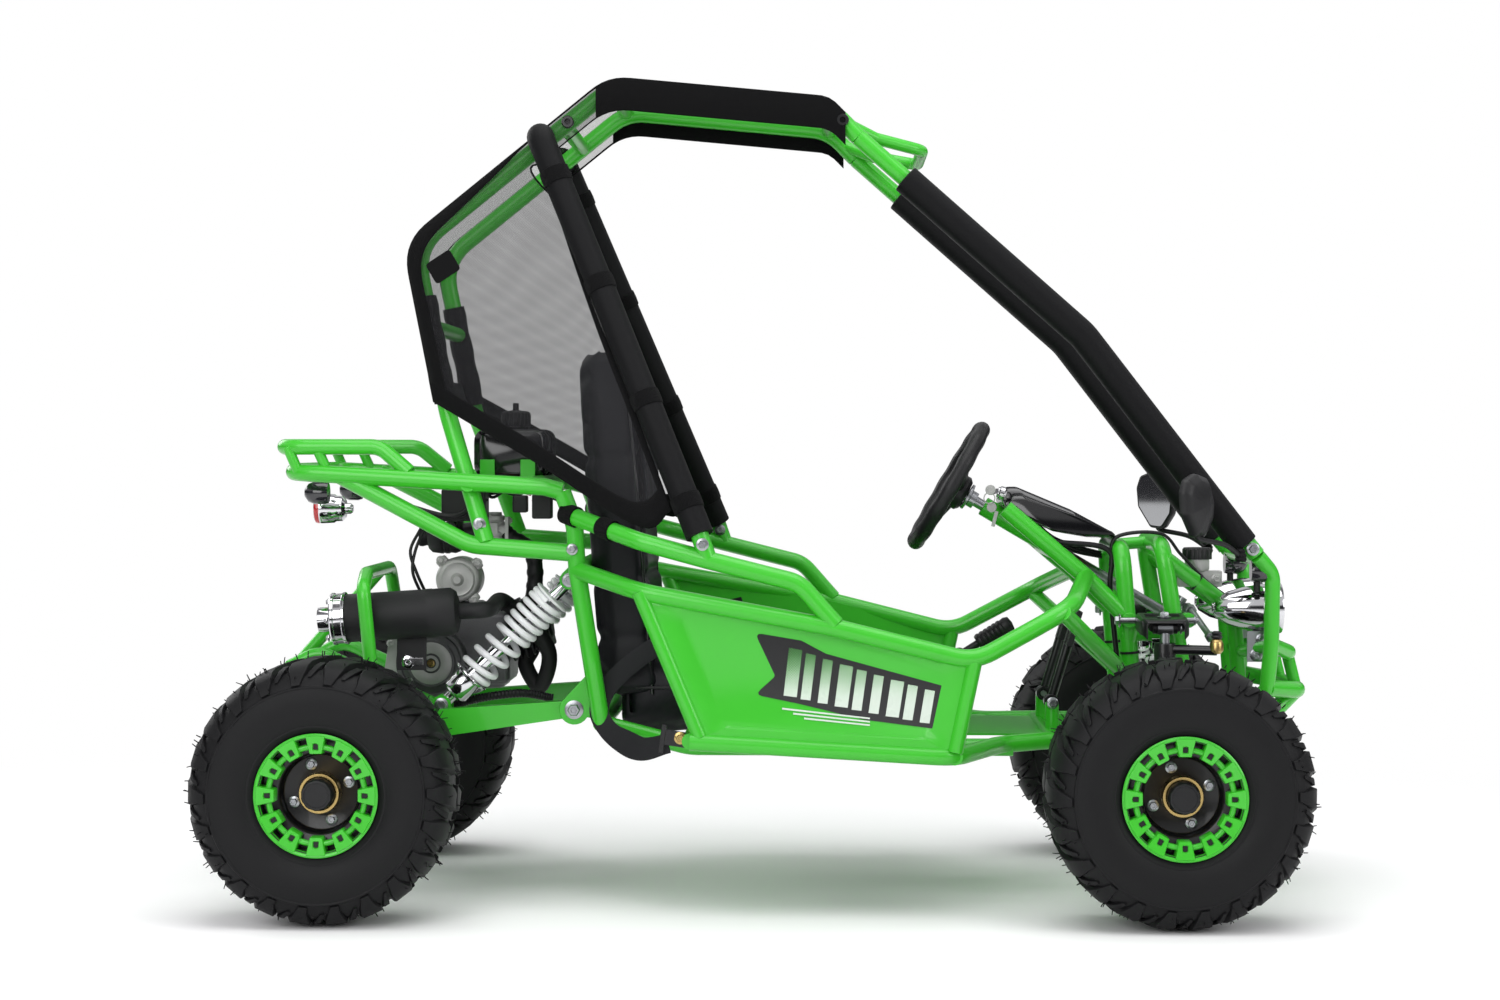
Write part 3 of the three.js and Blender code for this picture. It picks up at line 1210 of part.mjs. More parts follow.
// Swing arm: pivot tube, two box arms, bearing carriers, engine cradle and muffler hoop.
const pivotTube = (grow = 0) => cutBy(
  rod(station("swingPivot", -innerRailHalf), station("swingPivot", innerRailHalf),
    swingTube, 8)(grow),
);
const armOutline = [
  shifted(station("swingPivot"), 0, 0, swingArmDeep * 0.3),
  shifted(station("shockFoot"), 0, 0, -tabWall),
  shifted(wheelPoint(rearX, 0), bearingDiameter * 0.5, 0, bearingDiameter * 0.45),
  shifted(wheelPoint(rearX, 0), bearingDiameter * 0.3, 0, -bearingDiameter * 0.35),
  shifted(station("shockFoot"), 0, 0, -tabWall - swingArmDeep),
  shifted(station("swingPivot"), 0, 0, -swingArmDeep * 0.3),
];
const swingMembers = [pivotTube];
for (const side of [right, left]) {
  const y = side * swingArmHalf;
  const cradleY = side * cradleHalf;
  swingMembers.push(
    sidePlate(armOutline, y, swingArmWide),
    rod(wheelPoint(rearX, y - side * swingArmWide * 0.8), wheelPoint(rearX, y + side
      * swingArmWide * 0.8), bearingDiameter, 10),
    run([station("cradleFront", cradleY), station("cradleRear", cradleY),
      station("cradleTail", cradleY)], armTube, armTube * 2),
    run([station("cradleTail", cradleY), wheelPoint(rearX, y).setZ(axleHeight
      + bearingDiameter * 0.4)], armTube),
    run([station("cradleFront", cradleY).setZ(station("shockFoot").z - swingArmDeep * 0.6),
      station("cradleFront", cradleY)], armTube),
    ...shockMount("shockFoot", side, station("shockFoot").setZ(station("shockFoot").z
      - swingArmDeep)),
  );
}
swingMembers.push(
  run([station("cradleFront", right * swingArmHalf).setZ(station("shockFoot").z
    - swingArmDeep * 0.6), station("cradleFront", left * swingArmHalf).setZ(
    station("shockFoot").z - swingArmDeep * 0.6)], mainTube),
  run(pair("cradleTail", cradleHalf), armTube),
  run([station("hoopLegFoot", right * cradleHalf), station("hoopLegFoot", right * uprightHalf
    * 1.03), station("hoopLegTop", right * uprightHalf * 1.03),
  station("hoopCrown", right * uprightHalf * 0.8), station("hoopCrown", left * cradleHalf * 0.4),
  station("hoopLegFoot", left * cradleHalf * 0.9), station("hoopLegFoot", left * cradleHalf)],
  armTube, mainTube),
  run([station("cradleTail", right * cradleHalf * 0.4), station("hoopCrown", right * cradleHalf
    * 0.4)], lightTube),
);
const axleBore = run([wheelPoint(rearX, -swingArmHalf * 2), wheelPoint(rearX, swingArmHalf * 2)],
  runningBore(axleDiameter, axleSides), 0, axleSides);
const boltBore = run([station("swingPivot", -innerRailHalf * 2),
  station("swingPivot", innerRailHalf * 2)], swingBolt + 2 * runGap, 0, pinSides);
const swingArm = cutBy(weld(swingMembers), axleBore(), boltBore());
addPiece("swing_arm", swingArm, greenPaint);
const swingRoom = weld(swingMembers, seamGap);

// Rear axle with its sprocket and brake disc.
const axleReach = rearTrack / 2 + tyreWidth * 0.36;
const sprocketY = left * cradleHalf * 0.45;
const discY = right * cradleHalf * 0.45;
addPiece("rear_axle", weld([
  run([wheelPoint(rearX, -axleReach), wheelPoint(rearX, axleReach)], axleDiameter, 0,
    axleSides),
  rod(wheelPoint(rearX, sprocketY - tabWall / 2), wheelPoint(rearX, sprocketY + tabWall / 2),
    tyreDiameter * 0.37),
  rod(wheelPoint(rearX, discY - tabWall / 2), wheelPoint(rearX, discY + tabWall / 2),
    tyreDiameter * 0.42),
  rod(wheelPoint(rearX, discY - tabWall * 3), wheelPoint(rearX, discY + tabWall * 3),
    axleDiameter * 2, 8),
  rod(wheelPoint(rearX, sprocketY - tabWall * 3), wheelPoint(rearX, sprocketY + tabWall * 3),
    axleDiameter * 2, 8),
]), zinc);

// Rear shocks: upper rod with its spring seat, lower damper body and the coil between.
for (const side of [right, left]) {
  const top = station("shockTop", side * shockHalf);
  const foot = station("shockFoot", side * shockHalf);
  const way = foot.clone().sub(top);
  const length = way.length();
  way.normalize();
  const along = (d) => top.clone().addScaledVector(way, d);
  const seatTop = length * 0.13;
  const seatFoot = length * 0.83;
  const r = rearSpringDiameter / 2;
  const eye = (p) => rod(shifted(p, 0, -shockEyeWidth / 2, 0), shifted(p, 0,
    shockEyeWidth / 2, 0), shockEye, 8);
  const eyeBore = (p, gap) => rod(shifted(p, 0, -shockEyeWidth, 0), shifted(p, 0,
    shockEyeWidth, 0), shockBolt + 2 * gap, pinSides)();
  const rodEnd = length * 0.74;
  const upper = weld([
    eye(top), rod(along(shockEye * 0.4), along(rodEnd), damperRod, 8),
    rod(along(shockEye * 0.4), along(seatTop), shockEyeWidth, 8),
    rod(along(seatTop - tabWall), along(seatTop), r * 2, 10),
  ]);
  addPiece(`rear_shock_rod_${sideName(side)}`, cutBy(upper, eyeBore(top, runGap)), chrome);
  const bodyStart = length * 0.52;
  const lower = weld([
    eye(foot), rod(along(bodyStart), along(length - shockEye), damperDiameter, 8),
    rod(along(length - shockEye * 1.3), along(length - shockEye * 0.3), shockEyeWidth * 0.9, 8),
    rod(along(seatFoot), along(seatFoot + tabWall), r * 2, 10),
  ]);
  const rodBore = rod(along(bodyStart - overrun), along(rodEnd + overrun * 3),
    damperRod + 2 * runGap, 8)();
  addPiece(`rear_shock_body_${sideName(side)}`, cutBy(lower, eyeBore(foot, 2 * runGap), rodBore), chrome);
  addPiece(`rear_spring_${sideName(side)}`, spring(along(seatTop + seamGap),
    along(seatFoot - seamGap), r * 2, rearSpringWire, rearSpringCurls, 0.42), whiteSteel);
}

// Engine: crankcase with its flywheel cover, starter, finned head, intake and air filter.
const caseMiddle = station("crankcase");
const finCount = 4;
const finSpreadShare = 0.42;
const headMiddle = station("head");
const starter = station("starter", right * crankcaseWidth * 0.1);
const carb = station("carb", right * crankcaseWidth * 0.2);
const filter = station("filter", right * crankcaseWidth * 0.2);
const engineMembers = [
  block(caseMiddle, crankcaseLength, crankcaseWidth, crankcaseHeight * 0.8),
  crossTube("engineLug", cradleHalf, armTube),
  block(shifted(caseMiddle, -crankcaseLength * 0.1, 0, crankcaseHeight * 0.2),
    crankcaseLength * 0.7, crankcaseWidth * 0.9, crankcaseHeight),
  rod(station("flywheel", right * crankcaseWidth * 0.4), station("flywheel", right
    * crankcaseWidth * 0.62), flywheelDiameter),
  rod(station("flywheel", left * crankcaseWidth * 0.4), station("flywheel", left
    * crankcaseWidth * 0.6), flywheelDiameter * 0.8),
  rod(shifted(starter, 0, crankcaseWidth * 0.2, 0), shifted(starter, 0, -crankcaseWidth * 0.32,
    0), starterDiameter),
  run([headMiddle.clone().lerp(caseMiddle, 1), headMiddle], headWidth * 0.72, 0, 8),
  run([station("headPort", right * headWidth * 0.2).setZ(headMiddle.z + headWidth * 0.3),
    station("intakeBend", right * crankcaseWidth * 0.2), carb], intakeDiameter, intakeDiameter),
  rod(shifted(carb, 0, 0, -carbDiameter), shifted(carb, 0, 0, carbDiameter * 0.9),
    carbDiameter, 8),
  rod(carb, filter, carbDiameter * 0.9, 6),
  rod(filter.clone().lerp(carb, 0.35), shifted(filter, -filterDiameter * 0.45, 0, 0),
    filterDiameter, 10),
];
for (let i = 0; i < finCount; i += 1) {
  const place = headMiddle.clone().lerp(caseMiddle, (finSpreadShare * i) / finCount);
  engineMembers.push(block(place, tabWall, headWidth, headWidth * 0.9, -0.25));
}
const engine = cutBy(weld(engineMembers), swingRoom, rearFrameRoom);
addPiece("engine", engine, castMetal);
const engineRoom = weld(engineMembers, seamGap);

// Muffler with its header pipe, tailpipe and hanger.
const mufflerY = right * (uprightHalf * 1.03 - armTube / 2 - mufflerDiameter / 2 - tabWall);
const mufflerMembers = [
  run([station("mufflerRear", mufflerY), station("mufflerFront", mufflerY)], mufflerDiameter,
    0, 10),
  rod(station("tailpipeEnd", mufflerY), station("mufflerRear", mufflerY), tailpipeDiameter, 8),
  run([station("mufflerFront", mufflerY), station("headerBend", right * crankcaseWidth * 0.62),
    station("headerDrop", right * crankcaseWidth * 0.42), station("headerLow", right
      * crankcaseWidth * 0.3), station("headPort", right * headWidth * 0.2)], headerDiameter,
  headerDiameter * 1.5),
  block(station("mufflerRear", mufflerY).lerp(station("mufflerFront", mufflerY), 0.62)
    .add(new THREE.Vector3(0, mufflerDiameter * 0.1, -mufflerDiameter * 0.75)),
  mufflerDiameter * 0.6, tabWall, mufflerDiameter * 0.8),
];
const muffler = cutBy(weld(mufflerMembers), engineRoom, swingRoom, rearFrameRoom);
addPiece("muffler", muffler, heatBlack);

// Controls: two pedals, the gear lever and two mirrors.
function pivotHub(pivot) {
  return rod(shifted(pivot, 0, -pivotBarrel / 2, 0), shifted(pivot, 0, pivotBarrel / 2, 0),
    pivotBarrel, 8);
}

function pivotBore(pivot) {
  return rod(shifted(pivot, 0, -pivotBarrel, 0), shifted(pivot, 0, pivotBarrel, 0),
    runningBore(pivotBolt, pinSides), pinSides)();
}

for (const [name, side] of [["throttle", right], ["brake", left]]) {
  const pivot = station("pedalPivot", side * pedalHalf);
  const tip = shifted(pivot, pedalLength * 0.3, 0, pedalLength);
  addPiece(`${name}_pedal`, cutBy(weld([
    pivotHub(pivot),
    run([pivot, tip], armTube * 0.7),
    block(tip, tabWall * 2, pedalWidth, pedalLength * 0.5, 0.3),
  ]), pivotBore(pivot)), blackPaint);
}
const leverPivot = station("leverPivot", leverY);
const leverTop = station("leverGrip", leverY);
addPiece("gear_lever", cutBy(weld([
  pivotHub(leverPivot),
  run([leverPivot, leverTop], armTube * 0.6),
  run([leverPivot.clone().lerp(leverTop, 0.45), leverTop.clone().lerp(leverPivot, -0.3)],
    armTube * 1.4, 0, 8),
]), pivotBore(leverPivot)), blackPaint);

for (const side of [right, left]) {
  const ballPlace = station("mirrorBall", side * (cageHalf + mainTube * 0.74));
  const middle = station("mirrorCentre", side * (cageHalf + mainTube * 2.9));
  const geometry = new THREE.SphereGeometry(1, 8, 4);
  geometry.scale(mirrorDepth / 2, mirrorWidth / 2, mirrorHeight / 2);
  const shell = solidOf(geometry);
  const behind = solidOf(new THREE.BoxGeometry(mirrorDepth, mirrorWidth * 2, mirrorHeight * 2)
    .translate(-mirrorDepth * 0.75, 0, 0));
  const turn = new THREE.Matrix4().makeRotationZ(side * 0.6);
  turn.setPosition(middle);
  const housing = geometryOf(cutBy(shell, behind));
  housing.applyMatrix4(turn);
  addPiece(`mirror_${sideName(side)}`, cutBy(solidOf(housing).add(weld([
    run([shifted(middle, 0, 0, -mirrorHeight * 0.3), ballPlace], stalkDiameter, 0, thinSides),
    turned(shifted(ballPlace, 0, 0, -stalkDiameter), new THREE.Vector3(0, 0, 1), [[0, 0],
      [stalkDiameter, 0], [stalkDiameter * 1.2, stalkDiameter], [stalkDiameter, stalkDiameter
        * 2], [0, stalkDiameter * 2]], 10),
  ])), mirrorRoom[side], frontRoom), blackPaint);
}

// The origin stands on the ground, midway between the rearmost and the foremost points.
const rearReach = wheelbase / 2 + tyreDiameter / 2;
kart.position.x = -(bumperReach - rearReach) / 2;

export default kart;
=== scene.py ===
"""Off road go kart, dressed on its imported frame.

X points forwards, Y to the driver's left and Z up, in metres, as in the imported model.
"""
import logging
import math
from collections.abc import Sequence
from dataclasses import dataclass, field
from enum import Enum

import bmesh
import bpy
import numpy as np
from mathutils import Matrix


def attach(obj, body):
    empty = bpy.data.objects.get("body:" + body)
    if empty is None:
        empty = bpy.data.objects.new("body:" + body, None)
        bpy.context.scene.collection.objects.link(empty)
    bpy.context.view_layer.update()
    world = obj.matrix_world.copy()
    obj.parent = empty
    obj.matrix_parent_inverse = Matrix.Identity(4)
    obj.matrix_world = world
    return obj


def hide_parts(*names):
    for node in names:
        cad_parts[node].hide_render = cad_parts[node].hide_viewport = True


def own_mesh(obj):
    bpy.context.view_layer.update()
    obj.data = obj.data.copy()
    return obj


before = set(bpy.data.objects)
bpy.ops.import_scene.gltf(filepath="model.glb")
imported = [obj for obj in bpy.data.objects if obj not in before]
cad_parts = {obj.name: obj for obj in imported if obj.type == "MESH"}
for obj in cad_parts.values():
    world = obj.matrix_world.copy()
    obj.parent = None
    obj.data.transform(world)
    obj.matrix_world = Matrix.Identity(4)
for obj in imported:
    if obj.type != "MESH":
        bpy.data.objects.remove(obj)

log = logging.getLogger("off_road_kart")
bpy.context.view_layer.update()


class Side(Enum):
    """The two sides of the kart, as the sign of Y."""

    RIGHT = -1
    LEFT = 1

    @property
    def label(self) -> str:
        """The word that node names end with."""
        return self.name.lower()


# Driving sizes, repeated from the part's source.
WHEELBASE = 1.300
FRAME_HEIGHT = 1.300
FRONT_TRACK = 0.790
REAR_TRACK = 0.766
TYRE_RADIUS = 0.203
BUMPER_REACH = 0.896
BODY_HALF = 0.360
GRAB_HALF = 0.376
NOSE_FLOOR_HALF = 0.180
NOSE_HALF = 0.052
LAMP_HALF = 0.104
UPRIGHT_HALF = 0.250
FOOT_HALF = 0.240
RACK_HALF = 0.215
CAGE_HALF = 0.170
DASH_HALF = 0.130
GUARD_HALF = 0.150
BUMPER_HALF = 0.095
SHOCK_HALF = 0.150
CRADLE_HALF = 0.118
INNER_RAIL_HALF = 0.200
MAIN_TUBE = 0.028
RACK_TUBE = 0.025
LIGHT_TUBE = 0.020
ARM_TUBE = 0.022
TAB_WALL = 0.005

# How pieces are made: the gap under which points merge, the turn in degrees above which a
# modelled edge is rounded, and the pressure and the length of the pads' cloth simulation.
MERGE_GAP = 2e-6
HARD_TURN = 40
PAD_PRESSURE = 4
PAD_FRAMES = 20

# Distances that several groups share and no station gives.
PIVOT_HALF = 0.157
UPPER_PIVOT = 0.449
LOWER_PIVOT = 0.168
HANGER_REACH = 0.047
KNEE_HALF = 0.184
PILLAR_TOP_HALF = 0.206
PILLAR_MID_HALF = 0.262
BUMPER_LEVEL = 0.3328
BUMPER_TAPER = 0.8
TAB_GAP = 0.0170
ROW_SHIFT = -(BUMPER_REACH - WHEELBASE / 2 - TYRE_RADIUS) / 2
ARM_X = WHEELBASE / 2 + ROW_SHIFT
REAR_X = -WHEELBASE / 2 + ROW_SHIFT

# Places seen from the side, as shares of the wheelbase ahead of its middle and of the frame
# height above the ground, as in the part's source.
STATION_SHARES = {
    "uprightTop": (-0.230, 0.505), "uprightKnee": (-0.215, 0.465), "railJoint": (-0.212, 0.410),
    "gusset": (-0.194, 0.295), "uprightFoot": (-0.184, 0.222), "swingPivot": (-0.2185, 0.2375),
    "shockTop": (-0.2277, 0.3946), "shockFoot": (-0.3862, 0.2400),
    "railRear": (-0.131, 0.388), "grabJoint": (0.103, 0.346), "railCorner": (0.264, 0.306),
    "railBend": (0.380, 0.369), "railEnd": (0.4115, 0.398), "strutTop": (0.370, 0.363),
    "strutFoot": (0.466, 0.272), "grabStart": (-0.2265, 0.479), "grabShoulder": (-0.132, 0.448),
    "pillarSocket": (-0.049, 0.426), "grabBend": (0.058, 0.399), "grabEnd": (0.101, 0.350),
    "postRearFoot": (-0.0592, 0.216), "postFrontFoot": (0.2415, 0.199),
    "railRearFoot": (-0.0715, 0.211), "railKink": (0.2415, 0.193), "railTurn": (0.3015, 0.196),
    "railInner": (0.3646, 0.199), "noseRail": (0.615, 0.2015), "innerRear": (-0.077, 0.192),
    "innerFront": (0.318, 0.192), "dashStart": (0.312, 0.483), "dashJoint": (0.413, 0.397),
    "dashEnd": (0.470, 0.340), "dashBar": (0.338, 0.462), "columnBar": (0.372, 0.430),
    "rearTowerTop": (0.456, 0.434), "rearTowerFoot": (0.4745, 0.2015),
    "frontTowerTop": (0.506, 0.438), "frontTowerFoot": (0.544, 0.2015),
    "noseTubeStart": (0.509, 0.422), "noseTubeEnd": (0.6030, 0.3535),
    "guardTop": (0.6235, 0.4205), "guardBend": (0.640, 0.402), "guardFoot": (0.6335, 0.262),
    "guardMid": (0.6385, 0.315), "bumperHigh": (0.667, 0.303), "lampBar": (0.613, 0.303),
    "tubeBase": (0.6180, 0.4260), "sleeveBottom": (0.6030, 0.4380), "tubeBend": (0.4046, 0.696),
    "sleeveTop": (0.1860, 0.8890), "roofJoint": (0.1292, 0.9392), "roofFront": (0.0938, 0.9754),
    "roofRear": (-0.1738, 1.0008), "cageShoulder": (-0.4169, 0.8046),
    "cageKnee": (-0.3754, 0.600), "cageFoot": (-0.3262, 0.452), "hoopStart": (0.112, 0.957),
    "hoopTurn": (0.150, 0.940), "hoopTip": (0.209, 0.927), "cageBar": (-0.232, 0.954),
    "cageLowBar": (-0.397, 0.707), "pillarTop": (-0.260, 0.9385), "pillarMid": (-0.183, 0.7546),
    "pillarFoot": (-0.059, 0.455), "rackFront": (-0.2508, 0.5108), "rackRear": (-0.5655, 0.5285),
    "rackLoopJoint": (-0.4177, 0.5275), "rackLoopBend": (-0.4554, 0.5592),
    "rackLoopRear": (-0.5770, 0.5592), "rackStubA": (-0.556, 0.5285),
    "rackStubB": (-0.519, 0.527), "supportRear": (-0.508, 0.526), "supportKnee": (-0.343, 0.440),
    "supportFront": (-0.217, 0.4308), "tankBarFront": (-0.268, 0.5140),
    "tankBarRear": (-0.345, 0.5140), "cradleFront": (-0.3830, 0.2300),
    "cradleRear": (-0.545, 0.3030), "cradleTail": (-0.580, 0.285), "hoopLegFoot": (-0.4600, 0.268),
    "hoopLegTop": (-0.4715, 0.388), "hoopCrown": (-0.4745, 0.4038),
    "mufflerRear": (-0.5154, 0.3477), "mufflerFront": (-0.3600, 0.3577),
    "headerBend": (-0.3130, 0.3640), "headerDrop": (-0.262, 0.305),
    "headerLow": (-0.268, 0.262), "headPort": (-0.285, 0.300),
    "engineLug": (-0.4310, 0.2525), "crankcase": (-0.3830, 0.3050), "flywheel": (-0.4069, 0.2869),
    "starter": (-0.3769, 0.3908), "head": (-0.2780, 0.3330), "carb": (-0.3315, 0.4531),
    "filter": (-0.3931, 0.4477), "intakeBend": (-0.282, 0.430), "seatFoot": (-0.176, 0.238),
    "seatTop": (-0.2100, 0.6930), "seatBaseFront": (0.0500, 0.300),
    "wheelCentre": (0.2462, 0.5100), "headlight": (0.6555, 0.3585),
    "mirrorCentre": (0.5385, 0.4880), "mirrorBall": (0.5960, 0.4250),
    "pedalPivot": (0.372, 0.240), "leverPivot": (0.2646, 0.2877), "leverGrip": (0.3169, 0.3208),
    "tank": (-0.3070, 0.0),
}


def at(name: str, y: float = 0.0, z: float | None = None) -> np.ndarray:
    """Place of a named station.

    Args:
        name: the station's name.
        y: distance from the middle plane, to the left.
        z: a height that takes the place of the station's own.

    Returns:
        The point in the row frame.
    """
    x_share, z_share = STATION_SHARES[name]
    height = z_share * FRAME_HEIGHT if z is None else z
    return xyz(x_share * WHEELBASE + ROW_SHIFT, y, height)


def unit(way: Sequence[float]) -> np.ndarray:
    """The same direction with a length of one."""
    vector = np.asarray(way, float)
    return vector / np.linalg.norm(vector)


def between(a: np.ndarray, b: np.ndarray, share: float) -> np.ndarray:
    """The point a share of the way from a to b."""
    return a + (b - a) * share


def unit_rows(vectors: np.ndarray) -> np.ndarray:
    """Each row with a length of one."""
    return vectors / np.linalg.norm(vectors, axis=1, keepdims=True)


def xyz(x: float, y: float, z: float) -> np.ndarray:
    """A point, or a shift, by its distances forwards, to the left and up."""
    return np.array([x, y, z], float)


def around(steps: int) -> np.ndarray:
    """Equal angles round one turn."""
    return np.linspace(0, 2 * math.pi, steps, endpoint=False)


def run_lengths(route: np.ndarray) -> np.ndarray:
    """The length run at each point of a route."""
    return np.concatenate([[0], np.cumsum(np.linalg.norm(np.diff(route, axis=0), axis=1))])


def resampled(route: np.ndarray, spots: np.ndarray, knots: np.ndarray | None = None) -> np.ndarray:
    """The points of a route at the spots, where its own points stand at the knots, or at equal
    shares from 0 to 1."""
    if knots is None:
        knots = np.linspace(0, 1, len(route))
    return np.stack([np.interp(spots, knots, route[:, k]) for k in range(3)], axis=1)


FORWARD = xyz(1, 0, 0)
ACROSS = xyz(0, 1, 0)
UPWARD = xyz(0, 0, 1)
COLUMN_WAY = unit((0.861, 0.0, -0.508))
COLUMN_UP = xyz(-COLUMN_WAY[2], 0, COLUMN_WAY[0])
NORMALS = unit_rows(np.array([[0, 1, 0], [0, 0, 1], [1, 0, 0], [0, 1, 1], [1, 1, 0], [1, 0, 1],
                              [1, -1, 1]]))


@dataclass
class Shell:
    """One surface: its points, four-sided faces, other faces, and a place on cloth if any."""

    points: np.ndarray
    quads: np.ndarray
    others: list[list[int]] = field(default_factory=list)
    uv: np.ndarray | None = None


def joined(shells: Sequence[Shell]) -> Shell:
    """All the shells as one.

    Args:
        shells: the surfaces to put together.

    Returns:
        One shell that holds them all, with their face numbers moved on.
    """
    points, quads, others, uvs = [], [], [], []
    start = 0
    for shell in shells:
        points.append(shell.points)
        quads.append(shell.quads + start)
        others.extend([number + start for number in face] for face in shell.others)
        uvs.append(shell.points[:, :2] if shell.uv is None else shell.uv)
        start += len(shell.points)
    return Shell(np.concatenate(points), np.concatenate(quads), others, np.concatenate(uvs))


def grid_shell(points: np.ndarray, loop_rows: bool = False, loop_columns: bool = False,
               uv: np.ndarray | None = None) -> Shell:
    """A surface through a grid of points: each cell is the quad of its four neighbours.

    Args:
        points: array of rows by columns by three.
        loop_rows: whether the last row meets the first.
        loop_columns: whether the last column meets the first.
        uv: array of rows by columns by two, the place on flat cloth.

    Returns:
        The shell.
    """
    rows, columns = points.shape[:2]
    i = np.arange(rows if loop_rows else rows - 1)[:, None]
    j = np.arange(columns if loop_columns else columns - 1)[None, :]
    after_i, after_j = (i + 1) % rows, (j + 1) % columns
    corners = [i * columns + j, i * columns + after_j, after_i * columns + after_j,
               after_i * columns + j]
    quads = np.stack([c.ravel() for c in np.broadcast_arrays(*corners)], axis=1)
    flat_uv = None if uv is None else uv.reshape(-1, 2)
    return Shell(points.reshape(-1, 3), quads, [], flat_uv)


def capped(rings: Sequence[np.ndarray], flip: bool = False) -> Shell:
    """A skin through closed rings, with a flat cap on its first and on its last ring.

    Args:
        rings: the rings, each with the same number of points.
        flip: whether the caps are listed the other way round.

    Returns:
        The closed shell.
    """
    shell = grid_shell(np.stack(rings), False, True)
    count = len(rings[0])
    last = (len(rings) - 1) * count
    start, end = list(range(count)), list(range(last, last + count))
    shell.others = [start, end[::-1]] if flip else [start[::-1], end]
    return shell


def circle(sides: int, lift: float = 1.0) -> np.ndarray:
    """Unit circle outline with cos and sin of equal steps, its second axis scaled by lift."""
    turn = around(sides)
    return np.stack([np.cos(turn), lift * np.sin(turn)], axis=1)


def sweep(route: np.ndarray, radii: float | np.ndarray, outline: np.ndarray | None = None,
          loop: bool = False, normal: np.ndarray | None = None) -> Shell:
    """Carries an outline along a route: route + radius x (outline x times the normal + outline
    y times the binormal), where the normal is a fixed direction made square to the route.

    Args:
        route: points of the route.
        radii: scale of the outline, one number or one for each route point.
        outline: closed outline in the section plane; a circle of 16 if left out.
        loop: whether the route's end meets its start.
        normal: the fixed direction; the least parallel of a few if left out.

    Returns:
        The swept shell, closed by caps unless it is a loop.
    """
    shape = circle(16) if outline is None else outline
    if loop:
        way = np.roll(route, -1, axis=0) - np.roll(route, 1, axis=0)
    else:
        way = np.gradient(route, axis=0)
    way = unit_rows(way)
    if normal is None:
        normal = NORMALS[np.argmin(np.abs(way @ NORMALS.T).max(axis=0))]
    first = unit_rows(normal - (way @ normal)[:, None] * way)
    second = np.cross(way, first)
    scale = np.broadcast_to(np.asarray(radii, float), (len(route),))[:, None, None]
    section = shape[None, :, :1] * first[:, None, :] + shape[None, :, 1:] * second[:, None, :]
    rings = route[:, None, :] + scale * section
    return grid_shell(rings, True, True) if loop else capped(rings)


def rounded(points: Sequence[np.ndarray], bend: float, steps: int = 7) -> np.ndarray:
    """A run with each inner corner rounded by a quadratic arc that starts bend x tan(half turn)
    before the corner.

    Args:
        points: the corners of the run.
        bend: the bend radius.
        steps: pieces in each arc.

    Returns:
        The route's points.
    """
    route = [points[0]]
    for before, corner, after in zip(points, points[1:], points[2:]):
        back, on = before - corner, after - corner
        turn = math.pi - math.acos(np.clip(unit(back) @ unit(on), -1, 1))
        limit = 0.45 * min(np.linalg.norm(back), np.linalg.norm(on))
        cut = min(bend * math.tan(turn / 2), limit)
        share = np.linspace(0, 1, steps + 1)[:, None]
        start, end = corner + unit(back) * cut, corner + unit(on) * cut
        arc = (1 - share) ** 2 * start + 2 * share * (1 - share) * corner + share ** 2 * end
        route.extend(arc if cut > 1e-5 else [corner])
    route.append(points[-1])
    return np.array(route)


def rounded_ring(corners: Sequence[np.ndarray], bend: float, steps: int = 7) -> np.ndarray:
    """A closed outline with rounded corners, which starts halfway along its last edge."""
    start = between(corners[-1], corners[0], 0.5)
    return rounded([start, *corners, start], bend, steps)[:-1]


def smooth(points: Sequence[Sequence[float]], steps: int = 8) -> np.ndarray:
    """A Catmull-Rom curve through points: each span is the cubic that leaves and meets its ends
    along half the chord of their neighbours.

    Args:
        points: the points that it passes.
        steps: pieces in each span.

    Returns:
        The curve's points.
    """
    p = np.asarray(points, float)
    p = np.concatenate([p[:1] * 2 - p[1:2], p, p[-1:] * 2 - p[-2:-1]])
    t = np.linspace(0, 1, steps, endpoint=False)[None, :, None]
    a, b, c, d = (p[k:len(p) - 3 + k, None, :] for k in range(4))
    spans = 0.5 * (2 * b + (c - a) * t + (2 * a - 5 * b + 4 * c - d) * t ** 2
                   + (3 * b - a - 3 * c + d) * t ** 3)
    return np.concatenate([spans.reshape(-1, p.shape[1]), p[-2:-1]])


def tube(points: Sequence[np.ndarray], diameter: float, bend: float = 0.0,
         sides: int = 16) -> Shell:
    """A round tube along a run of corners that are rounded by the bend radius."""
    return sweep(rounded(points, bend), diameter / 2, circle(sides))


def cross_tube(name: str, half: float, diameter: float = RACK_TUBE) -> Shell:
    """A straight tube across the kart at a station."""
    return tube([at(name, -half), at(name, half)], diameter)


def cable(points: Sequence[Sequence[float]], radius: float, sides: int = 10) -> Shell:
    """A round cable along a smooth route."""
    return sweep(smooth(points), radius, circle(sides))


def axes_from(way: np.ndarray) -> tuple[np.ndarray, np.ndarray]:
    """Two directions square to a way and to each other."""
    helper = UPWARD if abs(way[2]) < 0.9 else FORWARD
    first = unit(np.cross(helper, way))
    return first, np.cross(way, first)


